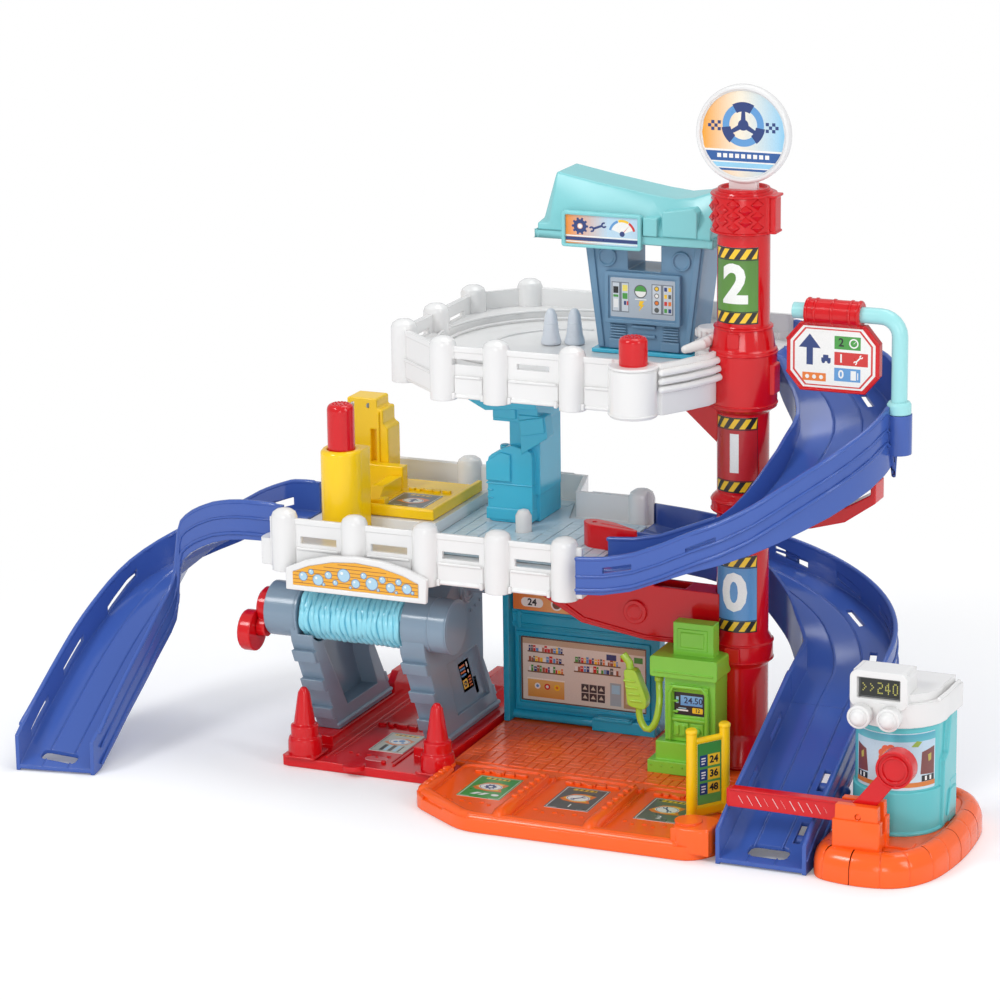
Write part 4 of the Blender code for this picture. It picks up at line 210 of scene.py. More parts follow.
moulded_skin, skin_in, skin_out = shade_group("moulded_skin", [
    ("Pigment", "NodeSocketColor", (0.8, 0.8, 0.8, 1.0)), ("Mottle", "NodeSocketFloat", 0.04),
    ("Gloss", "NodeSocketFloat", 0.3), ("Grain", "NodeSocketFloat", 0.2),
    ("Relief", "NodeSocketFloat", 0.0)],
    [("Color", "NodeSocketColor"), ("Roughness", "NodeSocketFloat"), ("Normal", "NodeSocketVector")])
skin_place = wire(moulded_skin, "ShaderNodeTexCoord")
flow = wire(moulded_skin, "ShaderNodeTexNoise",
    {"Vector": skin_place.outputs["Object"], "Scale": 22.0, "Detail": 3.0, "Roughness": 0.55})
speck = wire(moulded_skin, "ShaderNodeTexNoise",
    {"Vector": skin_place.outputs["Object"], "Scale": 950.0, "Detail": 2.0})
haze = wire(moulded_skin, "ShaderNodeTexNoise",
    {"Vector": skin_place.outputs["Object"], "Scale": 70.0, "Detail": 4.0})
soft_edge = wire(moulded_skin, "ShaderNodeBevel", {"Radius": 0.0012}, samples=4)
true_face = wire(moulded_skin, "ShaderNodeNewGeometry")
# The bevel normal against the true normal marks the rounded edges; there the colour is lifted by up to a
# tenth, a painted highlight, and the roughness drops a little.
edge_dot = wire(moulded_skin, "ShaderNodeVectorMath",
    {0: soft_edge.outputs[0], 1: true_face.outputs["Normal"]}, operation="DOT_PRODUCT")
edge_highlight_mask = wire(moulded_skin, "ShaderNodeMapRange", {"Value": edge_dot.outputs["Value"], "From Min": 0.995,
    "From Max": 0.78, "To Min": 0.0, "To Max": 1.0})
mottle_span = wire(moulded_skin, "ShaderNodeMath", {0: flow.outputs[0], 1: 0.5}, operation="SUBTRACT")
mottle_scaled = wire(moulded_skin, "ShaderNodeMath",
    {0: mottle_span.outputs[0], 1: skin_in.outputs["Mottle"]}, operation="MULTIPLY")
edge_light = wire(moulded_skin, "ShaderNodeMath", {0: edge_highlight_mask.outputs[0], 1: 0.1, 2: 1.0},
    operation="MULTIPLY_ADD")
value_sum = wire(moulded_skin, "ShaderNodeMath", {0: mottle_scaled.outputs[0], 1: edge_light.outputs[0]},
    operation="ADD")
pigment_out = wire(moulded_skin, "ShaderNodeHueSaturation", {"Value": value_sum.outputs[0],
    "Color": skin_in.outputs["Pigment"]})
moulded_skin.links.new(pigment_out.outputs[0], skin_out.inputs["Color"])
haze_span = wire(moulded_skin, "ShaderNodeMath", {0: haze.outputs[0], 1: 0.16, 2: -0.08},
    operation="MULTIPLY_ADD")
gloss_sum = wire(moulded_skin, "ShaderNodeMath", {0: haze_span.outputs[0], 1: skin_in.outputs["Gloss"]},
    operation="ADD")
gloss_edge = wire(moulded_skin, "ShaderNodeMath",
    {0: edge_highlight_mask.outputs[0], 1: -0.05, 2: gloss_sum.outputs[0]}, operation="MULTIPLY_ADD")
moulded_skin.links.new(gloss_edge.outputs[0], skin_out.inputs["Roughness"])
grain_height = wire(moulded_skin, "ShaderNodeMath", {0: speck.outputs[0], 1: skin_in.outputs["Grain"],
    2: skin_in.outputs["Relief"]}, operation="MULTIPLY_ADD")
skin_bump = wire(moulded_skin, "ShaderNodeBump",
    {"Strength": 0.6, "Distance": 0.0004, "Height": grain_height.outputs[0], "Normal": soft_edge.outputs[0]})
moulded_skin.links.new(skin_bump.outputs[0], skin_out.inputs["Normal"])


def tint(red, green, blue):
    """Linear colour of a screen colour from 0 to 255."""
    return tuple((v / 255 / 12.92) if v / 255 <= 0.04045 else ((v / 255 + 0.055) / 1.055) ** 2.4
        for v in (red, green, blue))


def plastic(name, pigment, gloss=0.3, mottle=0.05, grain=0.1, **sockets):
    """Moulded plastic: the pigment with faint flow marks, haze in the gloss, a fine grain, and a painted
    highlight that lightens rounded edges.
    """
    material = bpy.data.materials.new(name)
    material.use_nodes = True
    tree = material.node_tree
    shader = tree.nodes["Principled BSDF"]
    skin = tree.nodes.new("ShaderNodeGroup")
    skin.node_tree = moulded_skin
    skin.inputs["Pigment"].default_value = (*pigment, 1.0)
    skin.inputs["Mottle"].default_value = mottle
    skin.inputs["Gloss"].default_value = gloss
    skin.inputs["Grain"].default_value = grain
    tree.links.new(skin.outputs["Color"], shader.inputs["Base Color"])
    tree.links.new(skin.outputs["Roughness"], shader.inputs["Roughness"])
    tree.links.new(skin.outputs["Normal"], shader.inputs["Normal"])
    for socket, value in sockets.items():
        shader.inputs[socket.replace("_", " ")].default_value = value
    return material


def final_mesh(obj):
    """A mesh of the object as its modifiers leave it."""
    bpy.context.view_layer.update()
    return bpy.data.meshes.new_from_object(obj.evaluated_get(bpy.context.evaluated_depsgraph_get()))


def weighted(obj):
    """Smooth shading that keeps flat faces flat, made final in the mesh."""
    for polygon in obj.data.polygons:
        polygon.use_smooth = True
    modifier = obj.modifiers.new("even_light", "WEIGHTED_NORMAL")
    modifier.keep_sharp = True
    modifier.weight = 80
    obj.data.set_sharp_from_angle(angle=math.radians(50))
    final = final_mesh(obj)
    obj.modifiers.remove(modifier)
    obj.data = final
    return obj


def soften(shape, width, steps=2, from_angle=32):
    """Rounds the sharp edges of a bmesh."""
    bmesh.ops.remove_doubles(shape, verts=shape.verts, dist=0.00002)
    bmesh.ops.dissolve_limit(shape, angle_limit=math.radians(1.2), verts=shape.verts, edges=shape.edges)
    bmesh.ops.dissolve_degenerate(shape, edges=shape.edges, dist=0.00008)
    sharp = [e for e in shape.edges if len(e.link_faces) == 2
        and e.calc_face_angle(0.0) > math.radians(from_angle)]
    bmesh.ops.bevel(shape, geom=sharp, offset=width, segments=steps, profile=0.5, affect="EDGES",
        clamp_overlap=True)


def moulded(node, material, width=0.0007, steps=2, body=None):
    """The node's shell with rounded edges, in its finish. It stands for the node and moves with its body."""
    source = frame["nodes"][node]
    shape = bmesh.new()
    shape.from_mesh(source.data)
    soften(shape, width, steps)
    mesh = bpy.data.meshes.new(node + "_shell")
    shape.to_mesh(mesh)
    shape.free()
    shell = placed(node + "_shell", mesh)
    mesh.materials.append(material)
    weighted(shell)
    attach(shell, source["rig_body"])
    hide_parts(node)
    return shell


def laid(axis):
    """How an outline's two numbers and a height lie in X, Y and Z, when the height is along an axis."""
    return {"X": lambda a, b, c: (c, a, b), "Y": lambda a, b, c: (a, c, b), "Z": lambda a, b,
        c: (a, b, c)}[axis]


def slab(shape, outline, low, high, axis="Z"):
    """Adds a closed prism to a bmesh: an outline swept along an axis."""
    place = laid(axis)
    bottom = [shape.verts.new(place(a, b, low)) for a, b in outline]
    top = [shape.verts.new(place(a, b, high)) for a, b in outline]
    faces = [shape.faces.new(bottom), shape.faces.new(top)]
    for i in range(len(outline)):
        j = (i + 1) % len(outline)
        faces.append(shape.faces.new((bottom[i], bottom[j], top[j], top[i])))
    bmesh.ops.recalc_face_normals(shape, faces=faces)


def oblong(x, y):
    """Outline of a rectangle, from ranges in two directions."""
    return [(x[0], y[0]), (x[1], y[0]), (x[1], y[1]), (x[0], y[1])]


def brick(shape, x, y, z):
    """Adds an upright box to a bmesh from ranges in X, Y and Z."""
    slab(shape, oblong(x, y), z[0], z[1])


def rounded(x, y, radius, steps=5):
    """Outline of a rectangle with round corners, from ranges in two directions."""
    points = []
    for cx, cy, start in ((x[1] - radius, y[1] - radius, 0), (x[0] + radius, y[1] - radius, 90),
            (x[0] + radius, y[0] + radius, 180), (x[1] - radius, y[0] + radius, 270)):
        for k in range(steps + 1):
            turn = math.radians(start + 90 * k / steps)
            points.append((cx + radius * math.cos(turn), cy + radius * math.sin(turn)))
    return points


def skin(shape, rows):
    """Closes rings of points into a solid: a face at each end and a band between each two rings."""
    faces = [shape.faces.new(rows[0]), shape.faces.new(rows[-1])]
    for low_row, high_row in zip(rows, rows[1:]):
        for k in range(len(low_row)):
            j = (k + 1) % len(low_row)
            faces.append(shape.faces.new((low_row[k], low_row[j], high_row[j], high_row[k])))
    bmesh.ops.recalc_face_normals(shape, faces=faces)


def lathe(shape, profile, centre, axis="Z", sides=32):
    """Adds a turned solid to a bmesh: (radius, height) pairs about an axis through a centre."""
    place = laid(axis)
    rows = []
    for radius, height in profile:
        rows.append([shape.verts.new(place(centre[0] + radius * math.cos(2 * math.pi * k / sides),
            centre[1] + radius * math.sin(2 * math.pi * k / sides), height)) for k in range(sides)])
    skin(shape, rows)


def rod(shape, path, radii, sides=12, flat=1.0, up=(0, 0, 1)):
    """Adds a bar with round ends along a path; radii follow the path, and flat squeezes its height."""
    points = [Vector(p) for p in path]
    if isinstance(radii, float):
        radii = [radii] * len(points)
    first = (points[0] - points[1]).normalized()
    last = (points[-1] - points[-2]).normalized()
    spots = [(points[0] + first * radii[0] * 0.95, radii[0] * 0.3),
        (points[0] + first * radii[0] * 0.6, radii[0] * 0.8)]
    spots += list(zip(points, radii))
    spots += [(points[-1] + last * radii[-1] * 0.6, radii[-1] * 0.8),
        (points[-1] + last * radii[-1] * 0.95, radii[-1] * 0.3)]
    rows = []
    for i, (point, radius) in enumerate(spots):
        ahead = (spots[min(i + 1, len(spots) - 1)][0] - spots[max(i - 1, 0)][0]).normalized()
        side = ahead.cross(Vector(up)).normalized()
        other = side.cross(ahead)
        rows.append([shape.verts.new(point + side * radius * math.cos(2 * math.pi * k / sides)
            + other * radius * flat * math.sin(2 * math.pi * k / sides)) for k in range(sides)])
    skin(shape, rows)


def made(name, body, material, shape, width=0.0, steps=2):
    """Finished piece from a bmesh: rounded edges, even light, and moving with its body."""
    if width:
        soften(shape, width, steps)
    mesh = bpy.data.meshes.new(name)
    shape.to_mesh(mesh)
    shape.free()
    piece = placed(name, mesh)
    mesh.materials.append(material)
    weighted(piece)
    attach(piece, body)
    return piece


def carved(node, cutters, material, width=0.0007, steps=2, added=None):
    """The node's shell with hollows cut in it, in its finish. It stands for the node."""
    source = frame["nodes"][node]
    shape = bmesh.new()
    shape.from_mesh(source.data)
    bmesh.ops.remove_doubles(shape, verts=shape.verts, dist=0.00002)
    mesh = bpy.data.meshes.new(node + "_shell")
    shape.to_mesh(mesh)
    shape.free()
    shell = placed(node + "_shell", mesh)
    for operation, tool in (("DIFFERENCE", cutters), ("UNION", added)):
        if tool is None:
            continue
        tool_mesh = bpy.data.meshes.new("cutter")
        tool.to_mesh(tool_mesh)
        tool.free()
        cutter = placed("cutter", tool_mesh)
        change = shell.modifiers.new("carve", "BOOLEAN")
        change.operation = operation
        change.solver = "EXACT"
        change.use_self = True
        change.object = cutter
        shell.data = final_mesh(shell)
        shell.modifiers.clear()
        bpy.data.objects.remove(cutter, do_unlink=True)
    shape = bmesh.new()
    shape.from_mesh(shell.data)
    soften(shape, width, steps)
    shape.to_mesh(shell.data)
    shape.free()
    shell.data.materials.clear()
    shell.data.materials.append(material)
    for polygon in shell.data.polygons:
        polygon.material_index = 0
    weighted(shell)
    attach(shell, source["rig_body"])
    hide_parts(node)
    return shell


set_out = bpy.data.node_groups.new("set_out", "GeometryNodeTree")
set_out.interface.new_socket("Spots", in_out="INPUT", socket_type="NodeSocketGeometry")
set_out.interface.new_socket("Unit", in_out="INPUT", socket_type="NodeSocketObject")
set_out.interface.new_socket("Finish", in_out="INPUT", socket_type="NodeSocketMaterial")
set_out.interface.new_socket("Spread", in_out="INPUT", socket_type="NodeSocketFloat")
set_out.interface.new_socket("Seed", in_out="INPUT", socket_type="NodeSocketInt")
set_out.interface.new_socket("Pieces", in_out="OUTPUT", socket_type="NodeSocketGeometry")
set_in = set_out.nodes.new("NodeGroupInput")
set_unit = wire(set_out, "GeometryNodeObjectInfo", {"Object": set_in.outputs["Unit"]})
set_turn = wire(set_out, "GeometryNodeInputNamedAttribute", {"Name": "turn"}, data_type="FLOAT_VECTOR")
set_size = wire(set_out, "GeometryNodeInputNamedAttribute", {"Name": "size"}, data_type="FLOAT_VECTOR")
set_wobble = wire(set_out, "FunctionNodeRandomValue", {"Seed": set_in.outputs["Seed"]},
    data_type="FLOAT_VECTOR")
set_wobble.inputs["Min"].default_value = (-1.0, -1.0, -1.0)
set_wobble.inputs["Max"].default_value = (1.0, 1.0, 1.0)
set_scaled = wire(set_out, "ShaderNodeVectorMath", {0: set_wobble.outputs["Value"]}, operation="SCALE")
set_out.links.new(set_in.outputs["Spread"], set_scaled.inputs["Scale"])
set_grown = wire(set_out, "ShaderNodeVectorMath", {0: set_scaled.outputs[0], 1: (1.0, 1.0, 1.0)},
    operation="ADD")
set_final = wire(set_out, "ShaderNodeVectorMath", {0: set_size.outputs["Attribute"], 1: set_grown.outputs[0]},
    operation="MULTIPLY")
set_place = wire(set_out, "GeometryNodeInstanceOnPoints", {
    "Points": set_in.outputs["Spots"], "Instance": set_unit.outputs["Geometry"],
    "Rotation": set_turn.outputs["Attribute"], "Scale": set_final.outputs[0]})
set_real = wire(set_out, "GeometryNodeRealizeInstances", {"Geometry": set_place.outputs[0]})
set_dress = wire(set_out, "GeometryNodeSetMaterial", {"Geometry": set_real.outputs[0],
    "Material": set_in.outputs["Finish"]})
set_result = set_out.nodes.new("NodeGroupOutput")
set_out.links.new(set_dress.outputs[0], set_result.inputs[0])


def spread(name, body, unit, spots, material, wobble=0.0, seed=1, width=0.0):
    """One unit shape repeated at spots of (place, turn, size), as one piece on a body."""
    if width:
        soften(unit, width, 1)
    unit_mesh = bpy.data.meshes.new(name + "_unit")
    unit.to_mesh(unit_mesh)
    unit.free()
    pattern = placed(name + "_unit", unit_mesh)
    points = bpy.data.meshes.new(name)
    points.from_pydata([spot[0] for spot in spots], [], [])
    for label_name, index in (("turn", 1), ("size", 2)):
        data = points.attributes.new(label_name, "FLOAT_VECTOR", "POINT")
        for value, spot in zip(data.data, spots):
            value.vector = spot[index]
    piece = placed(name, points)
    nodes = piece.modifiers.new("set_out", "NODES")
    nodes.node_group = set_out
    keys = {item.name: item.identifier for item in set_out.interface.items_tree if item.in_out == "INPUT"}
    nodes[keys["Unit"]] = pattern
    nodes[keys["Finish"]] = material
    nodes[keys["Spread"]] = wobble
    nodes[keys["Seed"]] = seed
    piece.data = final_mesh(piece)
    piece.modifiers.clear()
    bpy.data.objects.remove(pattern, do_unlink=True)
    weighted(piece)
    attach(piece, body)
    return piece


def bar(x, y, width, height, ink, far=None):
    """Print: a rectangle in mm about its centre. far is its ink at the upper edge."""
    far = far or ink
    w = width / 2
    h = height / 2
    return [(oblong((x - w, x + w), (y - h, y + h)), [ink, ink, far, far])]


def bars(ink, *spots):
    """Print: bars of one ink, each given as x, y, width and height."""
    return [piece for spot in spots for piece in bar(*spot, ink)]


def disc(x, y, radius, ink, hole=0.0, start=0.0, end=360.0, squash=1.0, steps=36):
    """Print: a disc, ring or sector in mm."""
    turns = [math.radians(start + (end - start) * k / steps) for k in range(steps + 1)]
    result = []
    for a, b in zip(turns, turns[1:]):
        corners = [(radius * math.cos(a), radius * math.sin(a)), (radius * math.cos(b), radius * math.sin(b))]
        if hole:
            corners += [(hole * math.cos(b), hole * math.sin(b)), (hole * math.cos(a), hole * math.sin(a))]
        else:
            corners.append((0.0, 0.0))
        result.append(([(x + p, y + q * squash) for p, q in corners], [ink] * len(corners)))
    return result


def patch(points, ink):
    """Print: a closed shape in mm."""
    return [(points, [ink] * len(points))]


def stripes(x, y, width, height, pitch, slant, inks):
    """Print: slanting stripes that fill a rectangle in mm."""
    result = []
    count = int((width + abs(slant)) / pitch) + 3
    left = x - width / 2
    right = x + width / 2
    for k in range(-2, count):
        start = left + (k - 1) * pitch
        corners = [(start, y - height / 2), (start + pitch, y - height / 2),
            (start + pitch + slant, y + height / 2), (start + slant, y + height / 2)]
        corners = [(min(max(p, left), right), q) for p, q in corners]
        if max(p for p, q in corners) - min(p for p, q in corners) > 0.01:
            ink = inks[k % len(inks)]
            result.append((corners, [ink] * 4))
    return result


def lettering(x, y, size, text, ink, weight=0.0):
    """Print: plain figures in mm about their centre."""
    curve = bpy.data.curves.new("figures", "FONT")
    curve.body = text
    curve.size = size
    curve.offset = weight
    curve.align_x = "CENTER"
    curve.align_y = "CENTER"
    curve.resolution_u = 3
    obj = placed("figures", curve)
    mesh = final_mesh(obj)
    result = [([(x + mesh.vertices[i].co.x, y + mesh.vertices[i].co.y) for i in polygon.vertices],
        [ink] * len(polygon.vertices)) for polygon in mesh.polygons]
    bpy.data.objects.remove(obj, do_unlink=True)
    return result


print_skin, print_in, print_out = shade_group("print_skin",
    [("Ink", "NodeSocketColor", (1.0, 1.0, 1.0, 1.0))],
    [("Color", "NodeSocketColor"), ("Roughness", "NodeSocketFloat"),
    ("Normal", "NodeSocketVector")])
print_place = wire(print_skin, "ShaderNodeTexCoord")
screen = wire(print_skin, "ShaderNodeTexVoronoi", {"Vector": print_place.outputs["Object"], "Scale": 1400.0})
paper_flow = wire(print_skin, "ShaderNodeTexNoise",
    {"Vector": print_place.outputs["Object"], "Scale": 160.0, "Detail": 3.0})
screen_value = wire(print_skin, "ShaderNodeMapRange", {"Value": screen.outputs["Distance"], "From Min": 0.0,
    "From Max": 0.8, "To Min": 1.03, "To Max": 0.95})
ink_spread = wire(print_skin, "ShaderNodeHueSaturation", {"Color": print_in.outputs["Ink"],
    "Value": screen_value.outputs["Result"]})
print_skin.links.new(ink_spread.outputs[0], print_out.inputs["Color"])
film_gloss = wire(print_skin, "ShaderNodeMapRange",
    {"Value": paper_flow.outputs[0], "To Min": 0.22, "To Max": 0.4})
print_skin.links.new(film_gloss.outputs["Result"], print_out.inputs["Roughness"])
film_waves = wire(print_skin, "ShaderNodeBump",
    {"Strength": 0.25, "Distance": 0.0004, "Height": paper_flow.outputs[0]})
print_skin.links.new(film_waves.outputs[0], print_out.inputs["Normal"])
print_film = bpy.data.materials.new("print_film")
print_film.use_nodes = True
film_shader = print_film.node_tree.nodes["Principled BSDF"]
film_shader.inputs["Coat Weight"].default_value = 0.3
film_shader.inputs["Coat Roughness"].default_value = 0.12
film_ink = wire(print_film.node_tree, "ShaderNodeAttribute", attribute_name="ink")
film_skin = wire(print_film.node_tree, "ShaderNodeGroup", node_tree=print_skin)
print_film.node_tree.links.new(film_ink.outputs["Color"], film_skin.inputs["Ink"])
for socket, target in (("Color", "Base Color"), ("Roughness", "Roughness"), ("Normal", "Normal")):
    print_film.node_tree.links.new(film_skin.outputs[socket], film_shader.inputs[target])


def printed(name, body, centre, across, up, film, art, lift=0.0001, bend=None):
    """Printed film label at a centre: film is its outline in mm and its ink, art its layers of ink.
    bend is the radius of an upright round surface that the label wraps."""
    across = Vector(across).normalized()
    up = Vector(up).normalized()
    out = across.cross(up)
    shape = bmesh.new()
    inks = shape.loops.layers.float_color.new("ink")

    def lay(points, colours, height):
        area = sum(p[0] * q[1] - q[0] * p[1] for p, q in zip(points, points[1:] + points[:1]))
        if abs(area) < 0.002:
            return
        if area < 0:
            points = points[::-1]
            colours = colours[::-1]
        face = shape.faces.new([shape.verts.new((p[0] / 1000, p[1] / 1000, height)) for p in points])
        for loop, colour in zip(face.loops, colours):
            loop[inks] = (*colour, 1.0)

    outline, ground = film
    lay(outline, [ground] * len(outline), lift)
    rim = [(p[0] / 1000, p[1] / 1000) for p in outline]
    slab(shape, rim, -0.0002, lift - 0.000004)
    for face in shape.faces:
        for loop in face.loops:
            if loop[inks][3] == 0.0:
                loop[inks] = (*ground, 1.0)
    for level, layer in enumerate(art):
        for order, (points, colours) in enumerate(layer):
            lay(points, colours, lift + 0.000009 * (level + 1) + 0.000008 * order / len(layer))
    if bend:
        edge = max(abs(p[0]) for p in outline) / 1000
        cuts = int(2 * edge / 0.0025)
        for k in range(1, cuts):
            bmesh.ops.bisect_plane(shape, geom=shape.verts[:] + shape.edges[:] + shape.faces[:],
                plane_co=(-edge + 2 * edge * k / cuts, 0, 0), plane_no=(1, 0, 0), dist=0.000001)
        for vertex in shape.verts:
            x, y, z = vertex.co
            vertex.co = ((bend + z) * math.sin(x / bend), y, (bend + z) * math.cos(x / bend) - bend)
    turn = Matrix((across, up, out)).transposed().to_4x4()
    bmesh.ops.transform(shape, matrix=Matrix.Translation(centre) @ turn, verts=shape.verts)
    mesh = bpy.data.meshes.new(name)
    shape.to_mesh(mesh)
    shape.free()
    mesh.materials.append(print_film)
    piece = placed(name, mesh)
    if bend:
        mesh.shade_smooth()
    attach(piece, body)
    return piece


def block_unit(edge):
    """A block of unit size with its edges cut off by a width."""
    unit = bmesh.new()
    brick(unit, (-0.5, 0.5), (-0.5, 0.5), (-0.5, 0.5))
    bmesh.ops.bevel(unit, geom=unit.edges[:], offset=edge, segments=1, affect="EDGES")
    return unit


orange_abs = plastic("orange_abs", tint(255, 100, 28), 0.16)
BAYS = ((-0.1865, -0.1245), (-0.1115, -0.0555), (-0.0425, 0.0125))
hollows = bmesh.new()
for left, right in BAYS:
    slab(hollows, rounded((left, right), (-0.1765, -0.081), 0.007), 0.0084, 0.03)
carved("main_base", hollows, orange_abs, 0.0009, 2)

edging = bmesh.new()
kerb_line = [(-0.188, -0.15, 0.0088), (-0.176, -0.16, 0.0088), (-0.16, -0.1715, 0.0088),
    (-0.146, -0.1815, 0.0088),
    (-0.136, -0.1845, 0.0088), (-0.12, -0.1848, 0.0088), (-0.08, -0.1848, 0.0088), (-0.04, -0.1848, 0.0088),
    (0.0, -0.1848, 0.0088), (0.016, -0.1848, 0.0088)]
rod(edging, kerb_line, 0.0052, 16, 0.92)
rod(edging, [(-0.1915, -0.146, 0.0105), (-0.1915, -0.125, 0.0105), (-0.1915, -0.1, 0.0105)],
    [0.0052, 0.0048, 0.003], 14, 0.8)
for x in (-0.118, -0.049):
    rod(edging, [(x, -0.094, 0.0095), (x, -0.11, 0.0112), (x, -0.14, 0.0118), (x, -0.165, 0.0118),
        (x, -0.1765, 0.0112),
        (x, -0.1835, 0.009)], [0.003, 0.0042, 0.005, 0.0056, 0.0064, 0.006], 18, 0.95)
slab(edging, rounded((0.0135, 0.0432), (-0.1885, -0.1565), 0.009), 0.004, 0.0232)
lathe(edging, [(0.0098, 0.022), (0.0098, 0.0242), (0.0092, 0.0248)], (0.0225, -0.1735))
soften(edging, 0.0022, 3, 60)
made("base_edging", "garage", orange_abs, edging)

PAVING_STEP = 0.0132
paving_unit = block_unit(0.06)
paving = []
for i in range(18):
    for j in range(11):
        for k in (-1, 1):
            cx = -0.1885 + PAVING_STEP * i
            cy = -0.0695 + PAVING_STEP * j
            along = (i + j) % 2
            x = cx + (0.0 if along else k * 0.0033)
            y = cy + (k * 0.0033 if along else 0.0)
            if y > 0.045 or x > 0.04 or math.hypot(x, y) < 0.031 or (x > 0.02 and y > -0.052):
                continue
            if (abs(x + 0.0245) < 0.03 and -0.056 < y < 0.0) or (y > 0.021 and x < -0.066):
                continue
            if x < -0.182 and y < -0.07:
                continue
            size = (0.0126, 0.006, 0.0011) if along else (0.006, 0.0126, 0.0011)
            paving.append(((x, y, 0.0101), (0, 0, 0), size))
spread("base_paving", "garage", paving_unit, paving, orange_abs, 0.012, 3)

tooth = block_unit(0.09)
teeth = []
for left, right in BAYS:
    mid = (left + right) / 2
    for x, y, w, d in ((-0.0165, 0, 6.0, 5.5), (-0.0095, 1.2, 8.5, 3.0), (-0.0095, -2.2, 4.0, 2.6),
            (-0.001, 0.2, 9.0, 5.0),
            (0.0085, -1.8, 7.0, 3.0), (0.0075, 1.6, 6.0, 2.6), (0.017, 0.4, 9.0, 3.2), (0.0, -3.4, 4.0, 2.4)):
        teeth.append(((mid + x, -0.0905 + y * 0.001, 0.0092), (0, 0, 0), (w * 0.001, d * 0.001, 0.0024)))
    for x, y, w in ((-0.019, -0.1505, 3), (-0.012, -0.1545, 2.4), (-0.0035, -0.1525, 3.4),
            (0.004, -0.1555, 2.2),
            (0.0115, -0.1515, 3), (0.018, -0.1545, 2.6)):
        teeth.append(((mid + x, y, 0.0086), (0, 0, 0.3), (w * 0.001, 0.0024, 0.0012)))
for i in range(6):
    for dx in (-0.118, -0.049):
        teeth.append(((dx, -0.098 - 0.0105 * i, 0.0148 + 0.0004 * min(i, 4)), (0, 0, 0),
            (0.0042, 0.0052, 0.003)))
    teeth.append(((-0.1915, -0.098 - 0.0085 * i, 0.0135), (0, 0, 0), (0.0046, 0.0062, 0.003)))
spread("base_teeth", "garage", tooth, teeth, orange_abs, 0.03, 5)

RIGHT = (1, 0, 0)
BACK = (0, 1, 0)
UP = (0, 0, 1)
INK_BLACK = tint(30, 30, 32)
INK_WHITE = tint(244, 244, 240)
INK_YELLOW = tint(252, 204, 40)
INK_ORANGE = tint(236, 124, 40)
INK_RED = tint(214, 48, 44)
INK_NAVY = tint(38, 62, 122)
INK_BLUE = tint(96, 156, 212)
INK_SKY = tint(166, 212, 234)
INK_GREEN = tint(72, 158, 66)
INK_GREY = tint(92, 96, 94)


def frame_lines(width, height, margin, thickness, ink, corner=8.0):
    """Print: thin corner lines round a card."""
    w = width / 2 - margin
    h = height / 2 - margin
    result = []
    for sx in (-1, 1):
        for sy in (-1, 1):
            result += bar(sx * (w - corner / 2), sy * h, corner, thickness, ink)
            result += bar(sx * w, sy * (h - corner / 2), thickness, corner, ink)
    result += bar(0, h, 2 * w - 4, thickness, ink) + bar(-w, 0, thickness, 2 * h - 6, ink) + bar(w, 0,
        thickness, 2 * h - 6, ink)
    return result


def spanner(x, y, size, ink, turn=0.7):
    """Print: a plain spanner."""
    def at(p, q):
        return (x + size * (p * math.cos(turn) - q * math.sin(turn)),
            y + size * (p * math.sin(turn) + q * math.cos(turn)))
    result = patch([at(-0.7, -0.13), at(0.6, -0.13), at(0.6, 0.13), at(-0.7, 0.13)], ink)
    for end, facing in ((-0.8, 180), (0.8, 0)):
        cx, cy = at(end, 0)
        gap = math.degrees(turn) + facing
        result += disc(cx, cy, size * 0.34, ink, size * 0.14, gap + 42, gap + 318)
    return result


def cog(x, y, size, ink, teeth_count=9):
    """Print: a plain cog wheel."""
    result = disc(x, y, size * 0.78, ink, size * 0.34)
    for k in range(teeth_count):
        turn = 2 * math.pi * k / teeth_count
        corners = [(0.7, -0.16), (1.0, -0.11), (1.0, 0.11), (0.7, 0.16)]
        result += patch([(x + size * (p * math.cos(turn) - q * math.sin(turn)),
            y + size * (p * math.sin(turn) + q * math.cos(turn))) for p, q in corners], ink)
    return result


for number, (left, right) in enumerate(BAYS):
    mid = (left + right) / 2
    ground = INK_GREEN if number == 0 else INK_GREY
    art = [frame_lines(34, 46, 1.4, 0.55, INK_WHITE),
        bar(-1, 18.3, 18, 3.6, INK_YELLOW), stripes(-1, 18.3, 17, 2.4, 2.0, 1.2, (INK_BLACK, INK_YELLOW)),
        patch([(-13, -2), (-6, 9), (2, 11), (12, 8), (9, -1), (12, -7), (1, -8), (-9, -6)], INK_ORANGE),
        patch([(-11, 0), (-3, 8), (8, 9), (6, 0), (9, -5), (-2, -6)], INK_YELLOW),
        disc(0, 1.5, 9.0, INK_WHITE, squash=0.72), disc(0, 1.5, 8.3, INK_NAVY, 7.8, squash=0.72)]
    art.append((cog(0, 1.5, 4.8, INK_NAVY), spanner(0, 1.5, 5.6, INK_NAVY),
        spanner(0, 1.5, 5.6, INK_NAVY, 2.2))[number])
    if number:
        art.append(lettering(0, -15.5, 8.0, str(number), INK_WHITE, 0.15))
    else:
        art.append(patch([(-9, -17), (-5, -17), (-1, -12), (-5, -12)], INK_WHITE)
            + patch([(-3, -17), (1, -17), (5, -12), (1, -12)], INK_WHITE) + disc(10, -14.5, 3.0, INK_WHITE,
            squash=0.7))
    card = rounded((-17, 17), (-23, 23), 0.8, 2)
    printed("bay_card_%d" % (number + 1), "garage",
        (mid + (0.0045 if number == 0 else 0.001), -0.1205, 0.0085), (1, 0.0, 0), (0, 1, 0),
        (card, ground), art)


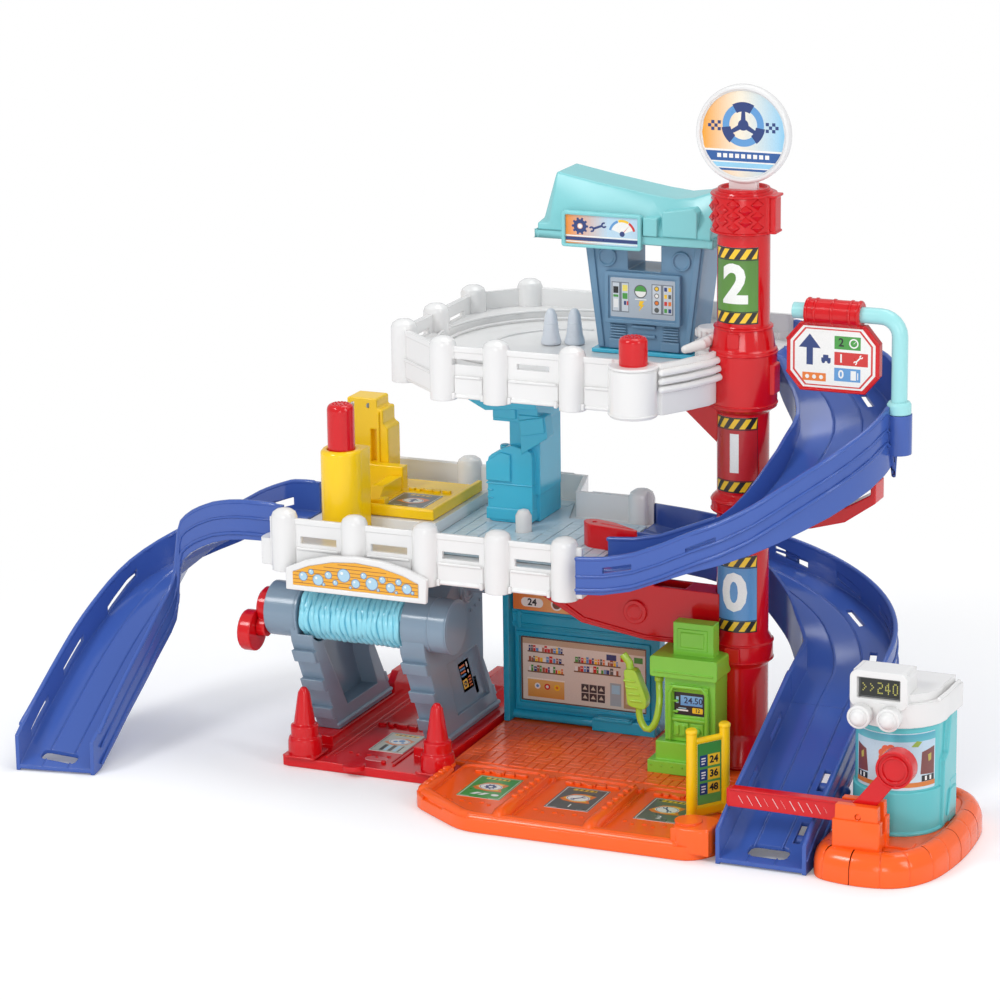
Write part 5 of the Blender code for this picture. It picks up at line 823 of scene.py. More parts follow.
# Wash base
# A red lane with raised curbs that clips to the left of the base. It is one moulding with a
# printed card in its floor, and two round-topped cones on square plates stand at its mouth.
red_abs = plastic("red_abs", tint(212, 12, 22), 0.14)
moulded("wash_base", red_abs, 0.001)
lane = bmesh.new()
for x, inner in ((-0.2935, 1), (-0.2385, -1)):
    rod(lane, [(x, -0.098, 0.0072), (x, -0.04, 0.0072), (x, 0.02, 0.0072), (x, 0.07, 0.0072)], 0.0011, 8)
    rod(lane, [(x + inner * 0.004, -0.092, 0.007), (x + inner * 0.004, 0.0, 0.007),
        (x + inner * 0.004, 0.066, 0.007)], 0.0007, 8)
lathe(lane, [(0.0085, 0.0045), (0.0085, 0.0078), (0.0078, 0.0084)], (-0.266, -0.1085), sides=28)
lathe(lane, [(0.0018, 0.0068), (0.0018, 0.0086), (0.0012, 0.009)], (-0.248, -0.095), sides=12)
made("wash_trim", "garage", red_abs, lane)
tooth = block_unit(0.09)
teeth = []
for x, y, w, d in ((-0.02, 0, 6.0, 5.5), (-0.012, 1.2, 8.5, 3.0), (-0.012, -2.2, 4.0, 2.6),
        (-0.0035, 0.2, 9.0, 5.0),
        (0.006, -1.8, 7.0, 3.0), (0.005, 1.6, 6.0, 2.6), (0.0145, 0.4, 9.0, 3.2), (0.021, -0.6, 4.0, 5.0)):
    teeth.append(((-0.266 + x, -0.0135 + y * 0.001, 0.0078), (0, 0, 0), (w * 0.001, d * 0.001, 0.003)))
for x, y, w in ((-0.019, -0.081, 3), (-0.012, -0.084, 2.4), (-0.0035, -0.082, 3.4), (0.004, -0.085, 2.2),
        (0.012, -0.081, 3)):
    teeth.append(((-0.262 + x, y, 0.0072), (0, 0, 0.3), (w * 0.001, 0.0024, 0.0014)))
spread("wash_teeth", "garage", tooth, teeth, red_abs, 0.03, 8)
lane_card = [frame_lines(29, 43, 1.2, 0.5, INK_BLACK), bar(0, 17.2, 20, 3.4, INK_YELLOW),
    stripes(0, 17.2, 18, 2.2, 2.0, 1.2, (INK_BLACK, INK_YELLOW)),
    patch([(-11, -1), (-5, 9), (3, 11), (11, 7), (8, -2), (-2, -6)], INK_ORANGE),
    disc(0, 3, 8.6, INK_WHITE, squash=0.7), disc(0, 3, 7.9, INK_NAVY, 7.4, squash=0.7),
    disc(-3, 2.4, 1.9, INK_BLUE) + disc(1.4, 4.6, 2.5, INK_BLUE) + disc(3.6, 0.9, 1.4, INK_BLUE),
    bars(INK_BLACK, (-6, -12.5, 3.0, 13), (1, -12.5, 3.0, 13), (8, -12.5, 1.2, 13)),
    bars(INK_SKY, (-2.5, -12.5, 2.2, 13), (5, -12.5, 2.4, 13))]
printed("lane_card", "garage", (-0.257, -0.05, 0.0071), RIGHT, BACK,
    (rounded((-14.5, 14.5), (-21.5, 21.5), 0.8, 2), tint(196, 198, 186)), lane_card)
# A paler red pill with a bright streak across it, laid on the lane floor as a thin film: a painted highlight
# standing for the gloss on the red floor.
printed("lane_film", "garage", (-0.257, -0.088, 0.0071), RIGHT, BACK,
    (rounded((-9, 9), (-5, 5), 4.9, 6), tint(222, 92, 96)), [bar(0, 0, 12, 0.6, tint(236, 128, 130))],
    0.00006)
for side in ("left", "right"):
    moulded("cone_" + side, red_abs, 0.0032, 5)
    cone_low, cone_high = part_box("cone_" + side)
    plate = bmesh.new()
    slab(plate, rounded((cone_low[0] - 0.0008, cone_high[0] + 0.0008),
        (cone_low[1] - 0.0008, cone_high[1] + 0.0008), 0.003, 4),
        cone_low[2] + 0.0004, cone_low[2] + 0.002)
    made("cone_plate_" + side, "garage", red_abs, plate, 0.0005, 2)


# Car wash walls
# Two grey leaning frames, each moulded hollow on one side, with stepped edges, a round
# housing for the roller at the front, and a framed bay with a printed card on the outside.
wash_abs = plastic("wash_abs", tint(130, 150, 168), 0.18)
moulded("wash_wall_left", wash_abs, 0.001)
wall_bays = bmesh.new()
slab(wall_bays, [(-0.0385, 0.0305), (0.022, 0.0305), (-0.0015, 0.076), (-0.0585, 0.076)], -0.2148, -0.209,
    "X")
carved("wash_wall_right", wall_bays, wash_abs, 0.001)
ROLLER_AXIS = (-0.08, 0.114)
walls = bmesh.new()
for outer, thick in ((-0.3212, 0.0184), (-0.2322, 0.0204)):
    for z, y, back in ((0.03, -0.0635, 0.0338), (0.056, -0.077, 0.0142), (0.082, -0.09, 0.0112)):
        slab(walls, [(y - 0.0018, z - 0.005), (y + 0.0035, z - 0.005), (y + 0.0035 - 0.005, z + 0.005),
            (y - 0.0018 - 0.005, z + 0.005)], outer, outer + thick, "X")
        if z < 0.05:
            slab(walls, [(back - 0.004, z - 0.004), (back + 0.0008, z - 0.004), (back - 0.004, z + 0.005),
                (back - 0.0088, z + 0.005)], outer, outer + thick, "X")
for x, radius in ((-0.212, 0.0021), (-0.303, 0.0019)):
    rod(walls, [(x, -0.0565, 0.0185), (x, -0.01, 0.0185), (x, 0.037, 0.0185)], radius, 10)
for x, radius in ((-0.209, 0.0098), (-0.209, 0.0062)):
    ring_profile = [(radius - 0.0007, x - 0.0028), (radius - 0.0007, x + 0.0004), (radius, x + 0.0008),
        (radius + 0.0007, x + 0.0004),
        (radius + 0.0007, x - 0.0028)]
    lathe(walls, ring_profile, (-0.022, 0.126), "X", 36)
lathe(walls, [(0.0022, -0.212), (0.0022, -0.1928), (0.0016, -0.1924)], (-0.022, 0.126), "X", 20)
lathe(walls, [(0.0034, -0.318), (0.0034, -0.316), (0.0022, -0.316), (0.0022, -0.3172)], (-0.016, 0.086), "X",
    20)
for x in (-0.3175, -0.1945, -0.209):
    lathe(walls, [(0.0206, x - 0.0008), (0.021, x), (0.0206, x + 0.0008)], ROLLER_AXIS, "X", 40)
made("wash_wall_trim", "garage", wash_abs, walls, 0.0004, 1)


def bead_unit():
    """A small ball of unit size, for rivets and bumps. The order in which the primitive lists its
    faces varies, so they are sorted, from the bottom up."""
    unit = bmesh.new()
    bmesh.ops.create_uvsphere(unit, u_segments=10, v_segments=6, radius=0.5)
    unit.faces.sort(key=lambda face: face.calc_center_median().dot(Vector((1.0, 10.0, 100.0))))
    return unit


bumps = bead_unit()
rows = []
for i in range(9):
    rows.append(((-0.2115, -0.066 + 0.0088 * i, 0.0965 + 0.0016 * i), (0, 0, 0), (0.0022, 0.0022, 0.0022)))
for i in range(6):
    rows.append(((-0.3032, -0.052 + 0.01 * i, 0.137), (0, 0, 0), (0.002, 0.002, 0.002)))
spread("wash_wall_rivets", "garage", bumps, rows, wash_abs, 0.04, 4)
side_up = Vector((0.0, -0.0215, 0.0455)).normalized()
side_across = Vector((0.0, 1.0, 0.0))
side_art = [bar(-3.5, 9.0, 9, 1.6, INK_ORANGE) + bar(-3.5, 6.2, 9, 1.6, INK_BLUE) + bar(-3.5, 3.4, 9, 1.6,
    INK_ORANGE),
    bar(-3.5, 0.6, 9, 1.6, INK_BLUE), bars(INK_WHITE, (4.7, 8.0, 2.0, 4.6), (4.7, 2.0, 2.0, 3.0)),
    patch(oblong((-8, 0), (-11, -3)), INK_YELLOW), cog(-4, -7, 3.2, INK_BLACK, 8),
    bars(INK_ORANGE, (4.5, -3.0, 5, 1.3), (4.5, -5.6, 5, 1.3), (4.5, -8.2, 5, 1.3), (4.5, -10.8, 5, 1.3))]
shear = side_up.y / side_up.z


def leaning(points):
    """Print corners sheared to follow the leaning wall."""
    return [(p + q * shear, q) for p, q in points]


side_art = [[(leaning(points), inks) for points, inks in layer] for layer in side_art]
printed("side_card", "garage", (-0.2149, -0.0165, 0.056), side_across, (0, 0, 1),
    (leaning(oblong((-9.5, 9.0), (-13.5, 12.5))), INK_BLACK), side_art)
printed("side_tab", "garage", (-0.2149, 0.0015, 0.044), side_across, (0, 0, 1),
    (leaning(oblong((-2.4, 2.4), (-8.5, 6.5))), INK_BLACK),
    [[(leaning(points), inks) for points, inks in bar(0, 3.6, 2.6, 0.7, INK_GREY)]])


# Roller
# A light blue moulded brush between the walls, ribbed all round with wavy seams like packed
# bristles, on a steel axle. A red crank with a loose knob turns it from the left.
roller_abs = plastic("roller_abs", tint(146, 222, 240), 0.12, 0.1)
moulded("wash_roller", roller_abs, 0.0006)
random.seed(12)
bristles = bmesh.new()
FULL_TURN = 6.283
HALF_TURN = 3.14
SEAMS = 5
RIB_RADIUS = 0.0178
ROLLER_SPAN = (-0.3135, -0.2315)
RIB_COUNT = 19
for i in range(RIB_COUNT):
    x = ROLLER_SPAN[0] + 0.0024 + (ROLLER_SPAN[1] - ROLLER_SPAN[0] - 0.0048) * i / (RIB_COUNT - 1)
    breaks = [random.uniform(0, 0.3) + FULL_TURN * k / SEAMS for k in range(SEAMS)]
    for k in range(SEAMS):
        start = breaks[k]
        end = breaks[(k + 1) % SEAMS] + (FULL_TURN if k == SEAMS - 1 else 0.0) - 0.05
        sway = random.uniform(-0.0006, 0.0006)
        grow = random.uniform(-0.0002, 0.0004)
        path = []
        for j in range(9):
            share = j / 8
            turn = start + (end - start) * share
            radius = RIB_RADIUS + grow
            path.append((x + sway * math.sin(HALF_TURN * share) + 0.0005 * math.sin(5 * turn + i),
                ROLLER_AXIS[0] + radius * math.cos(turn),
                ROLLER_AXIS[1] + radius * math.sin(turn)))
        rod(bristles, path, [0.0016, 0.0021, 0.0023, 0.0024, 0.0024, 0.0024, 0.0023, 0.0021, 0.0016], 7, 1.0,
            (1, 0, 0))
made("wash_roller_ribs", "roller", roller_abs, bristles)
axle_steel = bpy.data.materials.new("axle_steel")
axle_steel.use_nodes = True
steel_tree = axle_steel.node_tree
steel_shader = steel_tree.nodes["Principled BSDF"]
steel_shader.inputs["Base Color"].default_value = (0.55, 0.56, 0.58, 1.0)
steel_shader.inputs["Metallic"].default_value = 1.0
steel_place = wire(steel_tree, "ShaderNodeTexCoord")
steel_lines = wire(steel_tree, "ShaderNodeMapping",
    {"Vector": steel_place.outputs["Object"], "Scale": (30.0, 900.0, 900.0)})
steel_drawn = wire(steel_tree, "ShaderNodeTexNoise",
    {"Vector": steel_lines.outputs[0], "Scale": 1.0, "Detail": 3.0})
steel_gloss = wire(steel_tree, "ShaderNodeMapRange",
    {"Value": steel_drawn.outputs[0], "To Min": 0.22, "To Max": 0.42})
steel_tree.links.new(steel_gloss.outputs["Result"], steel_shader.inputs["Roughness"])
moulded("roller_axle", axle_steel, 0.0003)
moulded("crank_disc", red_abs, 0.0009)
moulded("crank_knob", red_abs, 0.0016, 3)
hub = bmesh.new()
lathe(hub, [(0.0128, -0.35), (0.0128, -0.3513), (0.012, -0.3516), (0.0112, -0.351)], ROLLER_AXIS, "X", 36)
lathe(hub, [(0.0035, -0.3515), (0.0035, -0.3495), (0.0028, -0.349)], ROLLER_AXIS, "X", 20)
knob_low, knob_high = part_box("crank_knob")
knob_y = (knob_low[1] + knob_high[1]) / 2
knob_z = (knob_low[2] + knob_high[2]) / 2
lathe(hub, [(0.0105, knob_low[0] - 0.0006), (0.0112, knob_low[0] - 0.0002), (0.0112, knob_low[0] + 0.002)],
    (knob_y, knob_z), "X", 32)
lathe(hub, [(0.003, knob_low[0] - 0.001), (0.0036, knob_low[0] - 0.0004), (0.0036, knob_low[0] + 0.001)],
    (knob_y, knob_z), "X", 20)
made("crank_trim", "roller", red_abs, hub)


# Round tower
# A red moulded column in two halves that stack at a collar, with short ribs round its foot.
# A printed label with a level's number and striped bands wraps its front at each level.
for node in ("tower_lower", "tower_upper"):
    moulded(node, red_abs, 0.0008)
rib_unit = bmesh.new()
slab(rib_unit, [(0.0, 0.0), (0.0062, 0.0), (0.0058, 0.0035), (0.0012, 0.0155), (0.0, 0.016)], -0.0009, 0.0009,
    "Y")
foot_ribs = []
for k in range(12):
    turn = 2 * math.pi * (k + 0.5) / 12
    foot_ribs.append(((0.0198 * math.cos(turn), 0.0198 * math.sin(turn), 0.0145), (0, 0, turn),
        (1.0, 1.0, 1.0)))
spread("tower_ribs", "garage", rib_unit, foot_ribs, red_abs, 0.02, 2, 0.0003)
tower = bmesh.new()
for z, radius in ((0.0905, 0.0226), (0.1035, 0.0226), (0.2035, 0.0231), (0.2105, 0.0231), (0.2825, 0.0246),
        (0.32, 0.0246),
        (0.012, 0.0271), (0.3385, 0.0212)):
    lathe(tower, [(radius - 0.001, z - 0.0012), (radius + 0.0005, z - 0.0006), (radius + 0.0005, z + 0.0006),
        (radius - 0.001, z + 0.0012)], (0, 0), sides=48)
slab(tower, rounded((-0.006, 0.006), (0.0915, 0.1025), 0.0015, 3), -0.0238, -0.02, "Y")
slab(tower, rounded((-0.0045, 0.0045), (0.3255, 0.3365), 0.0015, 3), -0.0228, -0.019, "Y")
slab(tower, rounded((0.017, 0.0265), (0.2905, 0.313), 0.0015, 3), -0.008, 0.004, "Y")
made("tower_trim", "garage", red_abs, tower, 0.0003, 1)
LABEL_RADIUS = 0.0192
for number, low, high, ground in (("0", 0.1135, 0.1715, INK_BLUE), ("1", 0.2185, 0.2745, tint(206, 34, 40)),
        ("2", 0.343, 0.3985, tint(92, 146, 56))):
    half = (high - low) * 500
    art = [bar(0, 0, 34.6, 2 * half - 17, ground, tuple(0.82 * v for v in ground)),
        stripes(0, half - 4.6, 34.6, 7.2, 4.2, 5.0, (INK_YELLOW, INK_BLACK)),
        stripes(0, 4.6 - half, 34.6, 7.2, 4.2, 5.0, (INK_YELLOW, INK_BLACK)),
        bars(INK_BLACK, (0, half - 9.0, 34.6, 0.6), (0, 9.0 - half, 34.6, 0.6)),
        lettering(0, 0, 38.0, number, INK_WHITE, 1.5)]
    printed("level_label_" + number, "garage", (0.0, -LABEL_RADIUS, (low + high) / 2), RIGHT, UP,
        (oblong((-17.6, 17.6), (-half, half)), INK_BLACK), art, 0.0001, LABEL_RADIUS)
for node in ("bracket_left", "bracket_right"):
    moulded(node, red_abs, 0.0009)
arms = bmesh.new()
lathe(arms, [(0.0062, -0.0168), (0.0062, -0.018), (0.005, -0.018), (0.0046, -0.0174)], (-0.078, 0.12), "Y",
    28)
slab(arms, [(-0.146, 0.1255), (-0.12, 0.1095), (-0.07, 0.101), (-0.012, 0.101), (-0.012, 0.103),
    (-0.07, 0.103),
    (-0.119, 0.1115), (-0.145, 0.1275)], -0.0162, 0.0078, "Y")
made("bracket_ribs", "garage", red_abs, arms, 0.0005, 1)


def screw_head():
    """A domed screw head of unit size with a raised bar across it."""
    unit = bmesh.new()
    lathe(unit, [(0.5, -0.3), (0.5, 0.05), (0.36, 0.24), (0.12, 0.3)], (0, 0), sides=14)
    slab(unit, oblong((-0.36, 0.36), (-0.07, 0.07)), 0.2, 0.31)
    return unit


screw_unit = screw_head()
slab(screw_unit, oblong((-0.07, 0.07), (-0.36, 0.36)), 0.2, 0.312)
screws = [((-0.04, 0.0078, 0.122), (-math.pi / 2, 0, 0.4), (0.005, 0.005, 0.002)),
    ((-0.11, 0.0078, 0.134), (-math.pi / 2, 0, 0.9), (0.005, 0.005, 0.002)),
    ((0.05, -0.0035, 0.205), (-math.pi / 2, 0, 0.2), (0.005, 0.005, 0.002)),
    ((0.095, -0.0035, 0.219), (-math.pi / 2, 0, 0.2), (0.005, 0.005, 0.002))]
spread("bracket_screws", "garage", screw_unit, screws, axle_steel, 0.02, 6)


# First deck
# A white moulded deck with round posts in a low parapet. Between the posts the wall has a slot,
# a stepped panel and a bead with small clips, all moulded in one with the deck.
white_abs = plastic("white_abs", tint(234, 233, 232), 0.15, 0.02)
moulded("deck_one", white_abs, 0.001)


def wall_slab(shape, start, end, along, out, height):
    """Adds a slab along an outer wall: ranges in metres along it, out of it and upwards."""
    start = Vector(start)
    way = (Vector(end) - start).normalized()
    face_out = Vector((way.y, -way.x))
    corners = []
    for a, b in ((along[0], out[0]), (along[1], out[0]), (along[1], out[1]), (along[0], out[1])):
        spot = start + way * a + face_out * b
        corners.append((spot.x, spot.y))
    slab(shape, corners, height[0], height[1])


def parapet(shape, start, end, floor_z, margin=0.0105):
    """Adds a wall's stepped panel, ledge, bottom bead and clips between two posts."""
    length = (Vector(end) - Vector(start)).length
    wall_slab(shape, start, end, (margin, length - margin), (-0.001, 0.0012),
        (floor_z - 0.0158, floor_z - 0.0015))
    wall_slab(shape, start, end, (margin + 0.001, length - margin - 0.001), (-0.001, 0.0024),
        (floor_z - 0.0032, floor_z - 0.0012))
    wall_slab(shape, start, end, (margin - 0.001, length - margin + 0.001), (-0.001, 0.0007),
        (floor_z + 0.0155, floor_z + 0.02))
    start = Vector(start)
    way = (Vector(end) - start).normalized()
    face_out = Vector((way.y, -way.x))
    a = start + way * (margin + 0.001) + face_out * 0.0008
    b = start + way * (length - margin - 0.001) + face_out * 0.0008
    bead_z = floor_z - 0.0168
    rod(shape, [(a.x, a.y, bead_z), ((a.x + b.x) / 2, (a.y + b.y) / 2, bead_z), (b.x, b.y, bead_z)], 0.0017,
        10)
    for share in (0.1, 0.9):
        middle = length * share + (margin * 0.55 if share < 0.5 else -margin * 0.55)
        wall_slab(shape, start, end, (middle - 0.0012, middle + 0.0012), (-0.001, 0.0033),
            (floor_z - 0.019, floor_z - 0.014))


dress = bmesh.new()
DECK1_LEVEL = 0.1705
DECK1_POSTS = [-0.323 + 0.057 * i for i in range(4)] + [-0.1]
for a, b in zip(DECK1_POSTS, DECK1_POSTS[1:]):
    parapet(dress, (a, -0.1), (b, -0.1), DECK1_LEVEL)
for start, end, margin in (((-0.16, 0.092), (-0.256, 0.092), 0.0105),
        ((-0.256, 0.092), (-0.334, 0.092), 0.0105),
        ((-0.334, 0.092), (-0.334, -0.01), 0.006), ((-0.096, 0.047), (-0.146, 0.047), 0.0105)):
    parapet(dress, start, end, DECK1_LEVEL, margin)
soften(dress, 0.0005, 2)
made("deck_one_dress", "garage", white_abs, dress)
floor_abs = plastic("floor_abs", tint(196, 216, 226), 0.24, 0.03)
moulded("deck_one_floor", floor_abs, 0.0003)
TILE_STEP = 0.0102
tile_unit = block_unit(0.03)
tiles = []
for i in range(14):
    for j in range(15):
        x = -0.2185 + TILE_STEP * i
        y = -0.08 + TILE_STEP * j + (TILE_STEP / 2 if i % 2 else 0.0)
        inside = y < (0.027 if x > -0.158 else 0.073)
        if x > -0.0905 or not inside or math.hypot(x + 0.168, y + 0.012) < 0.0125:
            continue
        if -0.2085 < x < -0.15 and 0.0 < y < 0.062:
            continue
        tiles.append(((x, y, 0.1721), (0, 0, 0), (0.0096, 0.0096, 0.0007)))
spread("deck_one_tiles", "garage", tile_unit, tiles, floor_abs, 0.01, 9)


# Car wash sign
# A white frame with an arched top, fixed to the deck's front over the wash. A printed film of
# yellow planks with bubbles fills it.
moulded("wash_sign_frame", white_abs, 0.001)
moulded("wash_sign_panel", plastic("sign_yellow", tint(240, 176, 40), 0.3), 0.0002, 1)
panel_edge = [(-50.6, -9.4), (50.4, -9.4), (50.4, 0.9), (38.6, 5.9), (19.6, 10.4), (0.6, 11.9), (-18.4, 10.4),
    (-37.4, 5.9), (-50.6, 0.4)]
planks = []
for k in range(7):
    z = -7.4 + 2.8 * k
    half = 50.3 if z < 1 else 50.3 - (z - 0.5) * 4.1
    planks += bar(0.0, z, 2 * half, 0.45, tint(150, 78, 34))
for k, (x, z) in enumerate(((-30, -3.4), (-12, 0.8), (8, -5.9), (26, 2.2), (40, -3.4), (-43, -6.2))):
    planks += bar(x, z + 0.2, 0.4, 2.6, tint(168, 96, 44))
bubbles = []
rims = []
shine = []
random.seed(4)
for x, z, radius in ((-42, -2.2, 3.6), (-35.5, 1.8, 2.3), (-30, -3.8, 4.4), (-21.5, 0.6, 3.0),
        (-16, -4.6, 2.2), (-9, 1.6, 5.2),
        (0.5, -3.6, 3.6), (7.0, 3.0, 2.6), (13.5, -2.4, 5.0), (22.0, 1.4, 2.8), (28.5, -3.8, 3.8),
        (35.0, 1.0, 2.6),
        (41.5, -3.4, 4.0), (46.0, -6.0, 1.5), (18.5, -6.6, 1.4), (-25.5, -6.8, 1.4), (-3.8, -7.0, 1.3),
        (33.0, -7.0, 1.3)):
    rims += disc(x, z, radius, tint(96, 136, 176))
    bubbles += disc(x, z, radius - 0.55, tint(176, 212, 232))
    shine += disc(x - radius * 0.3, z + radius * 0.3, radius * 0.22, INK_WHITE)
printed("wash_sign_film", "garage", (-0.2595, -0.11252, 0.15305), RIGHT, UP, (panel_edge, tint(240, 172, 42)),
    [planks, rims, bubbles, shine], 0.00006)


# Lift
# A yellow round housing with a long red button, and a yellow guide tower held by screws that
# carries a moving platform with a printed card.
yellow_abs = plastic("yellow_abs", tint(254, 208, 16), 0.16)
moulded("lift_housing", yellow_abs, 0.0009)
moulded("lift_button", red_abs, 0.0016, 3)
moulded("lift_tower", yellow_abs, 0.0009)
moulded("lift_platform", yellow_abs, 0.0008)
LIFT_BUTTON = (-0.293, -0.0605)
lift = bmesh.new()
slab(lift, rounded((-0.3086, -0.2774), (-0.062, -0.0425), 0.003, 3), 0.1712, 0.2352)
lathe(lift, [(0.0162, 0.1712), (0.0162, 0.177), (0.0157, 0.1776)], LIFT_BUTTON, sides=40)
slab(lift, [(-0.3296, 0.172), (-0.321, 0.172), (-0.321, 0.238), (-0.3296, 0.246)], 0.05, 0.058, "Y")
slab(lift, [(-0.33, 0.171), (-0.299, 0.171), (-0.306, 0.196), (-0.33, 0.202)], 0.0505, 0.064, "Y")
for x in (-0.3285, -0.3052):
    slab(lift, oblong((x, x + 0.0022), (0.18, 0.242)), 0.0265, 0.0285, "Y")
made("lift_trim", "garage", yellow_abs, lift, 0.0006, 2)
car = bmesh.new()
slab(car, [(-0.024, 0.185), (0.017, 0.185), (0.017, 0.1965), (-0.015, 0.1965), (-0.024, 0.188)], -0.2905,
    -0.2805, "X")
slab(car, oblong((-0.0285, -0.02), (0.185, 0.1905)), -0.279, -0.274, "X")
slab(car, oblong((-0.0405, -0.0385), (0.1815, 0.1885)), -0.2925, -0.2285, "X")
made("lift_car_trim", "lift_car", yellow_abs, car, 0.0005, 2)
tooth = block_unit(0.09)
teeth = [((-0.26 + x, 0.022 + y * 0.001, 0.1858), (0, 0, 0), (w * 0.001, d * 0.001, 0.0026)) for x, y, w,
    d in (
    (-0.014, 0, 5.0, 4.5), (-0.008, 1.0, 6.5, 2.6), (-0.008, -2.0, 3.6, 2.2), (-0.0005, 0.2, 7.0, 4.2),
    (0.007, -1.6, 6.0, 2.6), (0.0065, 1.4, 5.0, 2.2), (0.0145, 0.4, 7.0, 2.8))]
for i in range(7):
    teeth.append(((-0.274 + 0.0062 * i, -0.0345, 0.1856), (0, 0, 0.2), (0.0026, 0.002, 0.0013)))
spread("lift_car_teeth", "lift_car", tooth, teeth, yellow_abs, 0.03, 14)
car_art = [frame_lines(33, 40, 1.4, 0.5, INK_WHITE), bar(0, 15.6, 17, 3.2, INK_YELLOW),
    stripes(0, 15.6, 16, 2.1, 2.0, 1.2, (INK_BLACK, INK_YELLOW)),
    patch([(-12, -3), (-5, 7), (3, 9), (12, 6), (9, -4), (0, -8)], INK_ORANGE),
    disc(0, 0.5, 8.4, INK_WHITE, squash=0.72), disc(0, 0.5, 7.8, INK_NAVY, 7.3, squash=0.72),
    patch([(-1.4, -4.0), (1.4, -4.0), (1.4, 1.0), (4.4, 1.0), (0, 5.2), (-4.4, 1.0), (-1.4, 1.0)], INK_NAVY),
    bars(INK_WHITE, (-6, -14, 7, 1.0), (6, -14, 7, 1.0))]
printed("lift_card", "lift_car", (-0.26, -0.008, 0.1854), RIGHT, BACK,
    (rounded((-16.5, 16.5), (-20, 20), 0.8, 2), INK_GREY), car_art)
screws = [((-0.325, 0.0279, 0.2465), (math.pi / 2, 0, 0.4), (0.0042, 0.0042, 0.001)),
    ((-0.312, 0.0279, 0.2465), (math.pi / 2, 0, 1.0), (0.0042, 0.0042, 0.001))]
spread("lift_screws", "garage", screw_head(), screws, axle_steel, 0.02, 6)


def button_bumps(name, body, centre, top, count, inner):
    """Two rings of low bumps on a button's top: the outer one's count and the inner one's radius."""
    bumps = []
    for ring, places, wide in ((0.0056, count, 0.0016), (inner, 6, 0.0014)):
        for k in range(places):
            turn = 2 * math.pi * k / places
            bumps.append(((centre[0] + ring * math.cos(turn), centre[1] + ring * math.sin(turn), top),
                (0, 0, 0),
                (wide, wide, 0.0011)))
    spread(name, body, bead_unit(), bumps, red_abs, 0.03, 6)


button_bumps("lift_button_bumps", "lift_key", LIFT_BUTTON, 0.27, 14, 0.0032)


# Divider and column
# A red nose splits the two ramp lanes at the deck's right end, and a stepped light blue column
# carries the second deck.
moulded("divider_nose", red_abs, 0.001)
nose = bmesh.new()
slab(nose, [(-0.0985, -0.0325), (-0.07, -0.0405), (-0.07, -0.0385), (-0.0985, -0.03)], 0.189, 0.1903)
made("divider_ridge", "garage", red_abs, nose, 0.0004, 1)
sky_abs = plastic("sky_abs", tint(70, 188, 220), 0.18)
moulded("support_column", sky_abs, 0.001)
column = bmesh.new()
slab(column, [(-0.2046, 0.204), (-0.185, 0.204), (-0.185, 0.225), (-0.193, 0.226), (-0.2046, 0.218)], 0.003,
    0.04, "Y")
slab(column, oblong((-0.2052, -0.1676), (0.174, 0.183)), 0.0042, 0.0365, "Y")
slab(column, oblong((-0.2052, -0.1676), (0.201, 0.2024)), 0.0042, 0.0365, "Y")
slab(column, oblong((-0.1985, -0.18), (0.2525, 0.269)), 0.0032, 0.006, "Y")
slab(column, [(-0.176, 0.24), (-0.1568, 0.244), (-0.158, 0.256), (-0.1775, 0.252)], 0.0026, 0.005, "Y")
lathe(column, [(0.004, 0.224), (0.004, 0.2272), (0.003, 0.228)], (-0.1965, 0.022), sides=20)
for z in (0.19, 0.196):
    slab(column, oblong((-0.2044, -0.1995), (z, z + 0.0012)), 0.004, 0.0365, "Y")
made("column_trim", "garage", sky_abs, column, 0.0007, 2)


# Second deck
# A smaller white deck on the column and the tower, moulded like the first, with a dished lane
# for cars, a round well with a red horn button, a stack of tyres and two small cones.
moulded("deck_two", white_abs, 0.001)
DECK2_LEVEL = 0.303
DECK2_MARGIN = 0.01
HORN_BUTTON = (-0.056, -0.074)
dress = bmesh.new()
for start, end in (((-0.206, -0.07), (-0.164, -0.07)), ((-0.164, -0.07), (-0.105, -0.07)),
        ((-0.105, -0.07), (-0.064, -0.07)), ((-0.258, 0.032), (-0.258, -0.026)),
        ((-0.258, 0.102), (-0.258, 0.032)), ((-0.066, 0.14), (-0.224, 0.14))):
    parapet(dress, start, end, DECK2_LEVEL, DECK2_MARGIN)
for reach, low, high in ((0.0012, 0.287, 0.3015), (0.0024, 0.2998, 0.3018), (0.001, 0.3185, 0.3228)):
    wall_slab(dress, (-0.258, -0.028), (-0.21, -0.07), (0.01, 0.054), (-0.001, reach), (low, high))
for z, out in ((0.3045, 0.0036), (0.3105, 0.0026), (0.3165, 0.0016)):
    line = [(-0.0355 + out * 0.3, -0.0715 - out * 0.6, z), (-0.0262 + out, -0.0545 - out * 0.3, z),
        (-0.016 + out, -0.0325, z),
        (-0.0125 + out, -0.015, z)]
    rod(dress, line, 0.003, 10, 0.9)
for k in range(3):
    rod(dress, [(-0.0335 + 0.003 * k, -0.03 + 0.006 * k, 0.3245 + 0.001 * k),
        (-0.0255 + 0.002 * k, -0.018 + 0.006 * k, 0.3262 + 0.001 * k),
        (-0.024, -0.005 + 0.005 * k, 0.325)], [0.003, 0.0042, 0.0028], 12)
lathe(dress, [(0.017, 0.319), (0.0182, 0.3195), (0.0182, 0.3205), (0.0172, 0.3212)], HORN_BUTTON, sides=44)
lathe(dress, [(0.0166, 0.285), (0.0184, 0.2855), (0.0184, 0.2868), (0.017, 0.2876)], HORN_BUTTON, sides=44)
soften(dress, 0.0005, 2)
made("deck_two_dress", "garage", white_abs, dress)
rings = bmesh.new()
